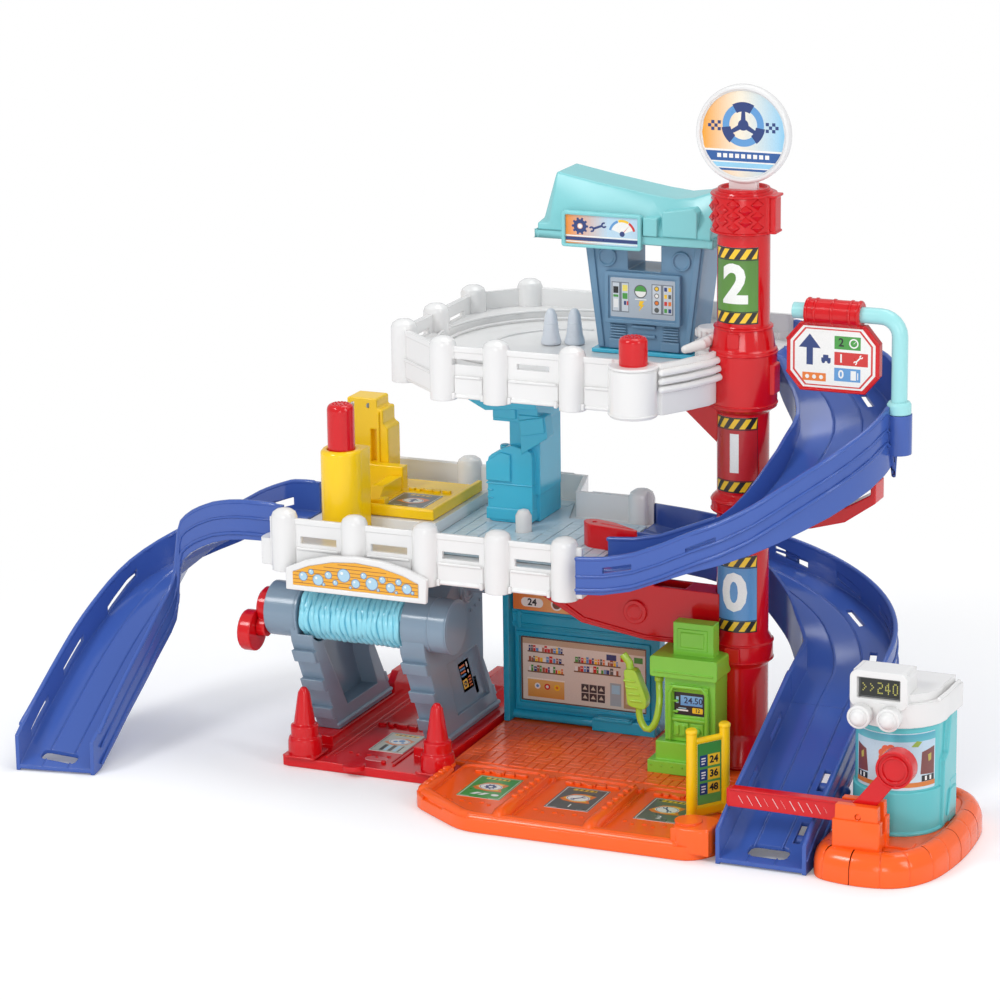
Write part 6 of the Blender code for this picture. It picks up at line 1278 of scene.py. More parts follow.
for radius, z in ((0.0985, 0.3098), (0.0935, 0.3046), (0.06, 0.3034)):
    turns = [math.radians(268 - 11.6 * k) for k in range(16)]
    line = [(-0.15 + radius * math.cos(turn), 0.034 + radius * math.sin(turn), z) for turn in turns]
    rod(rings, line, 0.0011, 8)
made("deck_dish_rings", "garage", white_abs, rings)
moulded("horn_button", red_abs, 0.0016, 3)
horn_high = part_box("horn_button")[1]
button_bumps("horn_button_bumps", "horn_key", HORN_BUTTON, horn_high[2], 12, 0.003)
moulded("tyre_stack", white_abs, 0.0006)
tread = block_unit(0.12)
treads = []
for row in range(3):
    for k in range(16):
        turn = 2 * math.pi * (k + 0.5 * row) / 16
        treads.append(((-0.036 + 0.0108 * math.cos(turn), 0.03 + 0.0108 * math.sin(turn),
            0.3075 + 0.0085 * row), (0, 0, turn),
            (0.0014, 0.0022, 0.0046)))
spread("tyre_treads", "garage", tread, treads, white_abs, 0.03, 7)
cone_grey = plastic("cone_grey", tint(214, 220, 228), 0.26, 0.02)
for side, (x, y) in (("left", (-0.166, 0.04)), ("right", (-0.1495, 0.046))):
    moulded("deck_cone_" + side, cone_grey, 0.0014, 3)
    ring = bmesh.new()
    for z, radius in ((0.3195, 0.0054), (0.3145, 0.0059)):
        lathe(ring, [(radius - 0.0004, z - 0.001), (radius + 0.0001, z), (radius - 0.0005, z + 0.001)],
            (x, y), sides=24)
    made("deck_cone_ring_" + side, "garage", cone_grey, ring)


# Tuning station
# A blue-grey stand with two leaning legs and a window, an instrument panel with a printed
# card over moulded vents, and a folded pale roof with a framed printed sign.
def surround(shape, outer, inner, low, high, axis="Z"):
    """Adds a closed frame to a bmesh from two outlines with the same count of points."""
    place = laid(axis)
    loops = [[shape.verts.new(place(a, b, c)) for a, b in outline]
        for outline, c in ((outer, low), (outer, high), (inner, high), (inner, low))]
    faces = []
    for loop, after in zip(loops, loops[1:] + loops[:1]):
        for i in range(len(loop)):
            j = (i + 1) % len(loop)
            faces.append(shape.faces.new((loop[i], loop[j], after[j], after[i])))
    bmesh.ops.recalc_face_normals(shape, faces=faces)


steel_abs = plastic("steel_abs", tint(108, 146, 176), 0.2)
moulded("station_base", sky_abs, 0.0005)
moulded("station_body", steel_abs, 0.0009)
moulded("station_panel", steel_abs, 0.0006)
mint_abs = plastic("mint_abs", tint(134, 208, 212), 0.22)
moulded("station_roof", mint_abs, 0.0022, 3)
moulded("station_sign", mint_abs, 0.0008)
stand = bmesh.new()
for x in (-0.1165, -0.0585):
    lathe(stand, [(0.0074, 0.0302), (0.0074, 0.0286), (0.007, 0.028), (0.0061, 0.028), (0.0057, 0.0286),
        (0.0057, 0.0302)], (x, 0.375), "Y", 36)
surround(stand, rounded((-0.117, -0.058), (0.327, 0.365), 0.0012, 2),
    rounded((-0.114, -0.061), (0.33, 0.362), 0.0005, 2),
    0.0248, 0.03, "Y")
for x, z, y in (((-0.115, -0.101), (0.307, 0.3142), (0.028, 0.0302)),
        ((-0.0745, -0.06), (0.307, 0.3142), (0.028, 0.0302)),
        ((-0.097, -0.0785), (0.3165, 0.3185), (0.0272, 0.0302)),
        ((-0.097, -0.0785), (0.3235, 0.3255), (0.0272, 0.0302))):
    slab(stand, oblong(x, z), y[0], y[1], "Y")
slab(stand, [(-0.1225, 0.3075), (-0.119, 0.3075), (-0.1275, 0.387), (-0.1325, 0.387)], 0.0282, 0.0302, "Y")
slab(stand, [(-0.0525, 0.3075), (-0.056, 0.3075), (-0.0475, 0.387), (-0.0425, 0.387)], 0.0282, 0.0302, "Y")
made("station_trim", "garage", steel_abs, stand, 0.0004, 2)
slat = bmesh.new()
rod(slat, [(-0.0058, 0, 0), (0, 0, 0), (0.0058, 0, 0)], 0.0007, 8)
slats = [((x, 0.0288, 0.3158 + 0.0021 * k), (0, 0, 0), (1.0, 1.0, 1.0)) for x in (-0.1078,
    -0.0668) for k in range(6)]
spread("station_vents", "garage", slat, slats, steel_abs, 0.01, 3)
panel_card = [bars(tint(120, 128, 138), (-17.5, 0.3, 13.5, 22.5), (15.5, 0.3, 17, 22.5)),
    bars(tint(204, 212, 220), (-21, 0.3, 5.2, 21), (-13.8, 0.3, 5.2, 21), (11, 0.3, 6.6, 21),
    (19.6, 0.3, 6.6, 21)),
    bar(-21, 5.5, 4.0, 5.0, INK_BLACK) + bar(-21, 1.0, 4.0, 1.8, INK_GREEN) + bar(-21, -4.5, 3.6, 6.5,
    tint(236, 238, 238))
    + bar(-13.8, 7.2, 4.0, 4.6, tint(244, 226, 110)) + bar(-13.8, 1.2, 4.0, 4.4, INK_GREEN)
    + bar(-13.8, -4.0, 1.8, 3.0, INK_NAVY) + bar(-11.9, -4.0, 1.2, 3.0, INK_RED),
    disc(-1.6, 5.4, 5.0, INK_GREY) + disc(-1.6, 5.4, 4.2, INK_GREEN, 0.0, 0, 180) + disc(-1.6, 5.4, 4.2,
    INK_WHITE, 0.0, 180, 360),
    patch([(-2.4, -1.6), (1.4, -1.6), (-0.4, -4.4), (1.4, -4.4), (-3.0, -9.6), (-1.6, -5.6), (-3.2, -5.6)],
    INK_YELLOW),
    patch(oblong((-6, 3), (-0.9, -0.2)), INK_WHITE)]
dials = []
for k in range(4):
    ink = (INK_YELLOW, INK_WHITE, INK_ORANGE, INK_GREY)[k]
    dials += disc(11, 8.2 - 5.3 * k, 1.9, INK_GREY, squash=1.0, steps=16) + disc(11, 8.2 - 5.3 * k, 1.3, ink,
        steps=14)
    dials += bar(18.0, 8.2 - 5.3 * k, 2.2, 3.0, (INK_NAVY, INK_YELLOW, INK_RED, INK_GREEN)[k])
    dials += bar(21.2, 8.2 - 5.3 * k, 2.2, 3.0, (INK_YELLOW, INK_GREY, INK_ORANGE, INK_NAVY)[k])
panel_card.append(dials)
printed("station_card", "garage", (-0.0875, 0.02618, 0.346), RIGHT, UP,
    (rounded((-25.2, 25.2), (-14.6, 14.6), 0.8, 2), tint(176, 188, 200)), panel_card)
roof = bmesh.new()
for x, y in (((-0.1685, -0.03), (0.0165, 0.0195)), ((-0.1685, -0.03), (0.069, 0.0712)),
        ((-0.1685, -0.1655), (0.0165, 0.0712)), ((-0.033, -0.03), (0.0165, 0.0712))):
    brick(roof, x, y, (0.3882, 0.3948))
slab(roof, [(-0.069, 0.395), (-0.042, 0.395), (-0.042, 0.414), (-0.045, 0.417), (-0.069, 0.413)], 0.017, 0.03,
    "Y")
slab(roof, oblong((-0.083, -0.072), (0.395, 0.4085)), 0.015, 0.028, "Y")
surround(roof, rounded((-0.1462, -0.0838), (0.3838, 0.4102), 0.002, 3),
    rounded((-0.1434, -0.0866), (0.3862, 0.4076), 0.0008, 3),
    0.0132, 0.0185, "Y")
made("station_roof_trim", "garage", mint_abs, roof, 0.001, 3)
ORANGE_FADE = tint(242, 146, 46)
PALE_FADE = tint(190, 220, 238)
fade = []
for k in range(28):
    share = min(1.0, k / 16)
    ink = tuple(a + (b - a) * share for a, b in zip(ORANGE_FADE, PALE_FADE))
    fade += bar(-27.3 + 2.022 * k, 0.0, 2.03, 21.4, ink)
sign_art = [fade, bar(0, -7.0, 56.6, 2.6, INK_NAVY) + bars(INK_WHITE, (0, -4.9, 56.6, 0.9),
    (0, -9.2, 56.6, 0.8)),
    disc(16, -1.6, 9.4, INK_WHITE, 0.0, 20, 160), disc(16, -1.6, 10.6, INK_BLUE, 8.8, 110, 165)
    + disc(16, -1.6, 10.6, INK_YELLOW, 8.8, 60, 107) + disc(16, -1.6, 10.6, INK_RED, 8.8, 15, 57),
    patch([(15.0, -2.2), (17.0, -0.8), (22.4, 5.6)], INK_RED) + disc(16, -1.6, 2.0, INK_NAVY),
    cog(-17, 2.4, 6.4, INK_NAVY, 10), spanner(-3.0, 2.4, 6.4, INK_NAVY, 0.35), disc(-17, 2.4, 1.6, INK_WHITE)]
printed("station_sign_film", "garage", (-0.115, 0.01518, 0.39695), RIGHT, UP,
    (rounded((-28.2, 28.2), (-10.6, 10.6), 0.8, 2), INK_WHITE), sign_art)


# Ramps
# Four blue moulded tracks: one from the second deck round the tower, one from the first deck
# down behind it, its straight run to the ground, and the long one at the left end.
# Every wall has a rounded lip and a stepped bead along its outside.
blue_abs = plastic("blue_abs", tint(64, 95, 174), 0.16)
ramp_shapes = {}
for node in ("ramp_upper", "ramp_lower", "ramp_exit", "ramp_left"):
    moulded(node, blue_abs, 0.0007)
    shape = bmesh.new()
    shape.from_mesh(frame["nodes"][node].data)
    ramp_shapes[node] = BVHTree.FromBMesh(shape)
    shape.free()


def lip(shape, node, line, above, radius=0.0019, sink=0.001, tube_sides=10):
    """Adds a rounded lip along the top of a wall: the line is where the wall stands."""
    path = []
    for x, y, z in line:
        hit = ramp_shapes[node].ray_cast(Vector((x, y, z + above)), Vector((0, 0, -1)), 0.09)[0]
        if hit is not None:
            path.append((x, y, hit.z - sink))
    rod(shape, path, radius, tube_sides)
    return path


OUTER_WALL = 0.1115
BEAD_OUT = 1.0135
upper_line = []
for k in range(45):
    turn = math.radians(89 - 4 * k)
    upper_line.append((OUTER_WALL * math.cos(turn), OUTER_WALL * math.sin(turn),
        0.305 - 0.075 * max(0.0, (k - 8) / 36)))
upper_line += [(-0.01 - 0.0107 * k, -OUTER_WALL, 0.2) for k in range(8)]
trim = bmesh.new()
upper_lip = lip(trim, "ramp_upper", upper_line, 0.045)
for down, radius in ((0.0125, 0.0011), (0.0225, 0.0016)):
    outside = [(x * BEAD_OUT, y * BEAD_OUT, z - down) if x > 0 else (x, y - 0.0015, z - down) for x, y,
        z in upper_lip[2:]]
    rod(trim, outside, radius, 8)
near_line = [(-0.004 - 0.0102 * k, -0.0485, 0.198) for k in range(9)]
lip(trim, "ramp_upper", near_line, 0.03)
made("ramp_upper_trim", "garage", blue_abs, trim)

trim = bmesh.new()
lower_line = [(OUTER_WALL * math.cos(math.radians(a)), OUTER_WALL * math.sin(math.radians(a)),
    0.17 - 0.092 * (108 - a) / 108) for a in range(104, -1, -4)]
lower_line += [(OUTER_WALL, -0.006 * k - 0.006, 0.082) for k in range(5)]
lower_lip = lip(trim, "ramp_lower", lower_line, 0.04)
for down, radius in ((0.0125, 0.0011), (0.0265, 0.0015)):
    rod(trim, [(x * BEAD_OUT, y * BEAD_OUT, z - down) if y > 0 else (x + 0.0015, y, z - down) for x, y,
        z in lower_lip], radius, 8)
made("ramp_lower_trim", "garage", blue_abs, trim)

trim = bmesh.new()
for x, out in ((OUTER_WALL, 1), (0.0485, -1)):
    exit_line = [(x, -0.0365 - 0.0148 * k, 0.075 - 0.0067 * k) for k in range(11)]
    exit_lip = lip(trim, "ramp_exit", exit_line, 0.04)
    for down, radius in ((0.011, 0.001), (0.0245, 0.0013)):
        beads = [(p + out * 0.0015, q, max(r - down, 0.002)) for p, q, r in exit_lip if r - down > 0.0012]
        rod(trim, beads, radius, 8)
for x in (0.07, 0.09):
    rod(trim, [(x, -0.045 - 0.0125 * k, 0.0046 + 0.0668 * max(0.0,
        1 - (0.0097 + 0.0125 * k) / 0.151) ** 1.06) for k in range(11)], 0.0009, 8)
for y, z in ((-0.1033, 0.04), (-0.1531, 0.018)):
    rod(trim, [(0.083 + 0.0075 * k, y, z - 0.0065) for k in range(5)], 0.0045, 8)
made("ramp_exit_trim", "garage", blue_abs, trim)

guide = [Vector(p) for p in ((-0.3343, -0.045, 0.1715), (-0.366, -0.043, 0.17), (-0.402, -0.031, 0.156),
    (-0.436, -0.021, 0.132),
    (-0.463, -0.034, 0.103), (-0.476, -0.07, 0.072), (-0.479, -0.115, 0.043), (-0.479, -0.16, 0.015),
    (-0.4765, -0.184, 0.0042))]
guide = [guide[0] * 2 - guide[1]] + guide + [guide[-1] * 2 - guide[-2]]
middle = []
for a, b, c, d in zip(guide, guide[1:], guide[2:], guide[3:]):
    for k in range(5):
        t = k / 5
        middle.append(0.5 * (2 * b + (c - a) * t + (2 * a - 5 * b + 4 * c - d) * t ** 2
            + (3 * b - a - 3 * c + d) * t ** 3))
trim = bmesh.new()
for side in (-1, 1):
    line = []
    for i in range(1, len(middle) - 1):
        way = middle[i + 1] - middle[i - 1]
        out = Vector((-way.y, way.x, 0.0)).normalized() * side
        spot = middle[i] + out * 0.0315
        line.append((spot.x, spot.y, spot.z, out))
    path = []
    outs = []
    for x, y, z, out in line:
        hit = ramp_shapes["ramp_left"].ray_cast(Vector((x, y, z + 0.04)), Vector((0, 0, -1)), 0.045)[0]
        if hit is not None and hit.z > z + 0.008:
            path.append(Vector((x, y, hit.z - 0.001)))
            outs.append(out)
    rod(trim, path, 0.0019, 10)
    for down, radius in ((0.0115, 0.001), (0.024, 0.0014)):
        beads = [spot + out * 0.0015 - Vector((0, 0, down)) for spot,
            out in zip(path, outs) if spot.z - down > 0.0018]
        rod(trim, beads, radius, 8)
made("ramp_left_trim", "garage", blue_abs, trim)


# Hanging sign
# A pale bent pipe stands in the ramp's socket. A red sleeve with an eight-sided board swings on it,
# and the board has a printed face.
moulded("sign_pipe", plastic("pipe_abs", tint(164, 226, 228), 0.18), 0.0005)
moulded("octagon_sign", red_abs, 0.0009)
BOARD_X = 0.0685
BOARD_Z = 0.3205
board = bmesh.new()
for x in (0.0495, 0.0555, 0.0685, 0.0815, 0.0875):
    lathe(board, [(0.0094, x - 0.0012), (0.0101, x - 0.0006), (0.0101, x + 0.0006), (0.0094, x + 0.0012)],
        (0.0, 0.3525), "X", 32)
rim = [(34.0, -11.8), (34.0, 11.8), (23.7, 24.0), (-23.7, 24.0), (-34.0, 11.8), (-34.0, -11.8),
    (-23.7, -24.0), (23.7, -24.0)]
for (x0, z0), (x1, z1) in zip(rim, rim[1:] + rim[:1]):
    rod(board, [(BOARD_X + x0 / 1000, -0.0034, BOARD_Z + z0 / 1000),
        (BOARD_X + (x0 + x1) / 2000, -0.0034, BOARD_Z + (z0 + z1) / 2000),
        (BOARD_X + x1 / 1000, -0.0034, BOARD_Z + z1 / 1000)], 0.0011, 8)
made("octagon_trim", "hanging_sign", red_abs, board)


def eight(scale, drop=0.0):
    """Print: the board's outline, scaled."""
    return [(x * scale, z * scale + drop) for x, z in rim]


rows = []
for k, (ink, wide) in enumerate(((INK_GREEN, 19.5), (INK_RED, 25.0), (INK_BLUE, 19.5))):
    rows.append(bar(wide / 2 + 1.2, 11.5 - 11.6 * k, wide, 9.6, ink))
marks = []
for k, figure in enumerate(("2", "1", "0")):
    marks += lettering(6.2, 11.5 - 11.6 * k, 8.4, figure, INK_WHITE if k else INK_BLACK, 0.2)
marks += disc(15.6, 11.5, 3.5, INK_WHITE, 2.5) + patch([(15.0, 11), (16.2, 11.6), (18.0, 14.2)], INK_WHITE)
marks += spanner(19, -0.1, 4.0, INK_WHITE, 0.8)
marks += patch(oblong((13.4, 17.4), (-15.2, -8.4)), INK_WHITE) + bar(18.7, -12.2, 0.8, 5.0, INK_WHITE)
board_art = [patch(eight(0.875), INK_RED), patch(eight(0.835), INK_WHITE), rows[0] + rows[1] + rows[2], marks,
    patch([(-19.6, -6.0), (-14.8, -6.0), (-14.8, 6.4), (-9.0, 6.4), (-17.2, 16.6), (-25.4, 6.4),
    (-19.6, 6.4)], INK_NAVY),
    bar(-13.8, -14.6, 17.6, 6.0, INK_ORANGE),
    disc(-19.0, -14.6, 1.5, INK_WHITE) + disc(-13.8, -14.6, 1.5, INK_WHITE) + disc(-8.6, -14.6, 1.5,
    INK_WHITE),
    bars(INK_NAVY, (-5.0, -1.4, 7.0, 2.6), (-5.2, 0.9, 4.0, 2.2)) + disc(-7.0, -3.0, 1.3, INK_NAVY)
    + disc(-2.9, -3.0, 1.3, INK_NAVY)]
printed("octagon_film", "hanging_sign", (BOARD_X, -0.0036, BOARD_Z), RIGHT, UP, (eight(0.93), INK_WHITE),
    board_art, 0.00008)
printed("octagon_film_back", "hanging_sign", (BOARD_X, 0.0036, BOARD_Z), (-1, 0, 0), (0, 0, 1),
    (eight(0.93), INK_WHITE),
    [patch(eight(0.875), INK_RED), patch(eight(0.835), INK_WHITE)], 0.00008)


# Shop front
# A turquoise moulded wall behind the bays, with a framed printed card of shelves and goods,
# a stepped sill and a printed strip under the deck.
shop_abs = plastic("shop_abs", tint(36, 164, 200), 0.18)
moulded("shop_wall", shop_abs, 0.0009)
moulded("shop_header", shop_abs, 0.0006)
shop = bmesh.new()
surround(shop, rounded((-0.1935, -0.084), (0.02, 0.08), 0.0015, 2),
    rounded((-0.1905, -0.087), (0.0235, 0.0765), 0.0006, 2),
    0.0293, 0.0322, "Y")
rod(shop, [(-0.196, 0.029, 0.014), (-0.138, 0.029, 0.014), (-0.079, 0.029, 0.014)], 0.0035, 12)
slab(shop, rounded((-0.1265, -0.095), (0.0195, 0.03), 0.002, 3), 0.019, 0.0212)
slab(shop, rounded((-0.124, -0.0975), (0.0215, 0.029), 0.001, 2), 0.0205, 0.0219)
for x in (-0.189, -0.0885):
    slab(shop, oblong((x - 0.0016, x + 0.0016), (0.084, 0.0975)), 0.0258, 0.03, "Y")
for z in (0.087, 0.095):
    rod(shop, [(-0.196, 0.0268, z), (-0.138, 0.0268, z), (-0.079, 0.0268, z)], 0.0009, 8)
for x in (-0.184, -0.16, -0.138, -0.116, -0.092):
    slab(shop, oblong((x - 0.001, x + 0.001), (0.016, 0.104)), 0.0425, 0.0452, "Y")
slab(shop, oblong((-0.19, -0.086), (0.059, 0.0608)), 0.0425, 0.0448, "Y")
made("shop_trim", "garage", shop_abs, shop, 0.0006, 2)
random.seed(21)
WALL_INK = tint(222, 214, 202)
goods = []
shelves = []
for row, (left, right, z) in enumerate(((-46, -16, 14.5), (-46, -16, 6.5), (-46, -16, -1.5), (-8, 30, 9.5),
        (-8, 30, 2.5))):
    shelves += bar((left + right) / 2, z - 0.5, right - left, 1.1, tint(124, 92, 62))
    x = left + 1.0
    while x < right - 2.0:
        w = random.uniform(1.3, 2.6)
        h = random.uniform(2.4, 5.2)
        ink = random.choice((INK_RED, INK_YELLOW, INK_GREEN, INK_BLUE, INK_NAVY, INK_ORANGE, INK_WHITE,
            tint(170, 90, 60), INK_GREY))
        goods += bar(x + w / 2, z + h / 2, w, h, ink)
        if h > 3.6:
            goods += bar(x + w / 2, z + h * 0.6, w * 0.7, 0.7, INK_WHITE)
        x += w + random.uniform(0.1, 0.6)
floor_tiles = []
for i in range(3):
    for j in range(2):
        floor_tiles += bar(1 + 6.6 * i, -10.5 - 7.0 * j, 6.0, 6.4, tint(58, 58, 62))
        floor_tiles += patch([(-0.9 + 6.6 * i, -11.6 - 7.0 * j), (2.9 + 6.6 * i, -11.6 - 7.0 * j),
            (1 + 6.6 * i, -8.6 - 7.0 * j)], tint(214, 208, 190))
shop_art = [bar(0, 0, 100, 49, WALL_INK, tint(238, 230, 218)), bar(0, 22.2, 100, 4.4, tint(200, 176, 148)),
    shelves, goods,
    bar(-31, -14.5, 30, 15, tint(216, 150, 70), tint(238, 190, 110)) + bar(-31, -7.4, 31, 1.2,
    tint(250, 244, 230)), floor_tiles,
    bar(26, -13, 9, 18, tint(166, 182, 190)) + bar(39, -10, 13, 26, tint(186, 150, 110)),
    bars(INK_SKY, (26, -9, 6.6, 7), (39, -4, 9.6, 8)) + bar(39, -15, 9.6, 9, tint(214, 196, 160)),
    bar(22.6, 16, 8, 4.6, INK_NAVY) + bar(34, 16, 8, 4.6, INK_RED) + bar(44.5, 16, 7, 4.6, INK_GREEN),
    disc(-38, -13, 2.4, INK_WHITE) + disc(-30, -13, 2.4, INK_RED) + disc(-22, -13, 2.4, INK_YELLOW),
    disc(-38, -13, 1.2, INK_BLUE) + disc(-30, -13, 1.2, INK_WHITE) + disc(-22, -13, 1.2, INK_ORANGE)]
printed("shop_card", "garage", (-0.13875, 0.0321, 0.05), RIGHT, UP,
    (rounded((-51.4, 51.4), (-25.6, 25.6), 0.8, 2), tint(104, 72, 52)), shop_art)
strip = []
for k in range(24):
    strip += bar(-26.3 + 2.28 * k, 0, 2.3, 12.4,
        tuple(a + (b - a) * k / 23 for a, b in zip(tint(230, 122, 44), tint(244, 196, 120))))
printed("header_strip", "garage", (-0.1655, 0.0249, 0.1052), RIGHT, UP,
    (rounded((-27.6, 27.6), (-6.4, 6.4), 0.8, 2), INK_ORANGE),
    [strip, patch(rounded((-21, -3), (-3.6, 3.6), 3.4, 6), INK_WHITE),
    lettering(-12, 0, 7.4, "24", INK_BLACK, 0.25),
    disc(8, 0, 4.6, INK_WHITE), disc(8, 0, 3.4, tint(120, 66, 30)), bar(19, 0, 9, 5.4, INK_WHITE),
    bar(19, 0, 7.4, 3.8, INK_NAVY)])


# Fuel pump
# A green moulded pump on a stepped foot, with a framed display and a coin box. Its hose and
# nozzle are one lime moulding that swings on a pin under the roof.
green_abs = plastic("green_abs", tint(134, 206, 64), 0.18)
moulded("pump_base", green_abs, 0.0012, 3)
moulded("pump_body", green_abs, 0.0)
moulded("pump_roof", green_abs, 0.001)
pump = bmesh.new()
rod(pump, [(-0.0395, -0.0462, 0.0365), (-0.0395, -0.0462, 0.0715), (-0.0365, -0.0462, 0.0765),
    (-0.0145, -0.0462, 0.0765),
    (-0.0108, -0.0462, 0.0715), (-0.0108, -0.0462, 0.0365)], 0.0016, 10, 1.0, (0, 1, 0))
for x, z, y in (((-0.0385, -0.0125), (0.05, 0.0522), (-0.0458, -0.043)),
        ((-0.0368, -0.0255), (0.0385, 0.0488), (-0.0456, -0.043)),
        ((-0.0352, -0.0325), (0.04, 0.0472), (-0.0466, -0.044)),
        ((-0.0302, -0.0275), (0.04, 0.0472), (-0.0466, -0.044)),
        ((-0.0238, -0.014), (0.0385, 0.0488), (-0.0449, -0.043))):
    slab(pump, oblong(x, z), y[0], y[1], "Y")
lathe(pump, [(0.003, -0.044), (0.003, -0.0462), (0.0022, -0.047)], (-0.0188, 0.0432), "Y", 24)
for z in (0.04, 0.048, 0.056, 0.064, 0.072):
    slab(pump, oblong((-0.042, -0.034), (z, z + 0.0016)), -0.0448, -0.038, "Y")
for x in (-0.045, -0.006):
    slab(pump, rounded((x - 0.0008, x + 0.0008), (-0.04, -0.018), 0.0005, 1), 0.036, 0.0815)
for x, z, y in (((-0.051, -0.005), (0.0868, 0.0882), (-0.0497, -0.048)),
        ((-0.0355, -0.0125), (0.103, 0.119), (-0.0408, -0.039)),
        ((-0.033, -0.015), (0.1055, 0.1165), (-0.0416, -0.04))):
    slab(pump, oblong(x, z), y[0], y[1], "Y")
made("pump_trim", "garage", green_abs, pump, 0.0005, 2)
rivet = bead_unit()
rivets = [((x, -0.052, 0.0165), (0, 0, 0), (0.0018, 0.0012, 0.0018))
    for x in (-0.052, -0.044, -0.036, -0.028, -0.02, -0.012, -0.004)]
spread("pump_rivets", "garage", rivet, rivets, green_abs, 0.03, 2)
screen_art = [bar(1.6, 2.4, 17.0, 7.6, INK_BLUE, tint(130, 184, 230)), bar(-9.4, 2.4, 2.0, 5.0, INK_SKY),
    lettering(3.0, 2.4, 6.6, "24.50", tint(24, 40, 80), 0.12),
    bar(-5.5, -5.2, 9.0, 1.2, INK_WHITE) + bar(-5.5, -3.6, 6.0, 0.7, INK_SKY),
    patch(rounded((2.2, 10.4), (-6.8, -2.6), 0.8, 3), INK_YELLOW),
    lettering(6.3, -4.7, 3.8, "12", INK_BLACK, 0.1)]
printed("pump_display", "garage", (-0.0255, -0.04262, 0.063), RIGHT, UP,
    (rounded((-11.8, 11.8), (-8.8, 8.8), 0.8, 2), INK_BLACK), screen_art)
lime_abs = plastic("lime_abs", tint(168, 206, 60), 0.18)
moulded("fuel_arm", lime_abs, 0.0008)
hose = bmesh.new()
for z in (0.0615, 0.0665, 0.0715, 0.0765):
    slab(hose, [(-0.069 - (z - 0.06) * 0.35, z), (-0.0595 - (z - 0.06) * 0.35, z),
        (-0.0597 - (z - 0.06) * 0.35, z + 0.0016),
        (-0.0692 - (z - 0.06) * 0.35, z + 0.0016)], -0.0492, -0.048, "Y")
lathe(hose, [(0.0034, 0.0765), (0.0034, 0.0795), (0.0028, 0.08)], (-0.0508, -0.038), sides=18)
made("fuel_arm_ribs", "nozzle_arm", lime_abs, hose, 0.0003, 1)


# Price sign
# A yellow moulded frame on two posts beside the bays, with a printed panel of plain figures.
moulded("price_sign", yellow_abs, 0.0006)
post = bmesh.new()
for x, y in ((0.01, -0.134), (0.0265, -0.1113)):
    lathe(post, [(0.0052, 0.0103), (0.0052, 0.012), (0.0044, 0.0128)], (x, y), sides=24)
    lathe(post, [(0.0038, 0.0735), (0.0042, 0.0742), (0.0042, 0.076), (0.003, 0.0772)], (x, y), sides=24)
price_along = Vector((0.0165, 0.0227, 0.0)).normalized()
for z in (0.018, 0.067):
    rod(post, [(0.01 + 0.004 * price_along.x, -0.134 + 0.004 * price_along.y, z), (0.0182, -0.1226, z),
        (0.0265 - 0.004 * price_along.x, -0.1113 - 0.004 * price_along.y, z)], 0.0024, 10)
made("price_sign_trim", "garage", yellow_abs, post)
price_art = [bar(0, 0, 19.5, 45, tint(104, 178, 84), tint(60, 140, 60))]
figures = []
boxes = []
for k, figure in enumerate(("24", "36", "48")):
    z = 9.5 - 10.4 * k
    boxes += bar(-5.0, z, 6.4, 8.6, INK_NAVY) + bar(3.8, z, 10.2, 8.6, INK_YELLOW)
    figures += bars(INK_WHITE, (-5.0, z + 1.8, 3.6, 0.9), (-5.0, z - 0.2, 3.6, 0.9),
        (-5.4, z - 2.2, 2.6, 0.9))
    figures += lettering(3.8, z, 7.2, figure, INK_BLACK, 0.3)
price_art += [boxes, figures]
printed("price_film", "garage", Vector((0.01825, -0.12265, 0.0425)) + Vector((0.809, -0.588, 0)) * 0.0017,
    price_along, (0, 0, 1),
    (rounded((-10.1, 10.1), (-22.8, 22.8), 0.6, 2), tint(60, 140, 60)), price_art)
printed("price_film_back", "garage", Vector((0.01825, -0.12265, 0.0425)) - Vector((0.809, -0.588,
    0)) * 0.0017, -price_along, (0, 0, 1),
    (rounded((-10.1, 10.1), (-22.8, 22.8), 0.6, 2), tint(60, 140, 60)), [price_art[0]])


# Toll booth
# A blue-green moulded booth with a printed window card round its front, on an orange base
# edged with kerb stones. Its white roof carries a dotted display and two lamps.
def smooth(plan, steps=4):
    """Points of a round closed curve through a plan's corners."""
    points = [Vector((x, y, 0.0)) for x, y in plan]
    result = []
    for i in range(len(points)):
        a, b, c, d = (points[(i + k) % len(points)] for k in (-1, 0, 1, 2))
        for k in range(steps):
            t = k / steps
            result.append(0.5 * (2 * b + (c - a) * t + (2 * a - 5 * b + 4 * c - d) * t * t
                + (3 * b - a - 3 * c + d) * t ** 3))
    return result


def seamed(line, pitch):
    """A closed line with points added at every pitch, and how deep its seam is at each point."""
    result = []
    depths = []
    gone = 0.0
    for a, b in zip(line, line[1:] + line[:1]):
        result.append(a)
        depths.append(0.0)
        length = (b - a).length
        if gone + length > pitch:
            middle = a.lerp(b, (pitch - gone) / length)
            ahead = (b - a).normalized() * 0.0005
            result += [middle - ahead, middle, middle + ahead]
            depths += [0.0, 0.0005, 0.0]
            gone -= pitch
        gone += length
    return result, depths


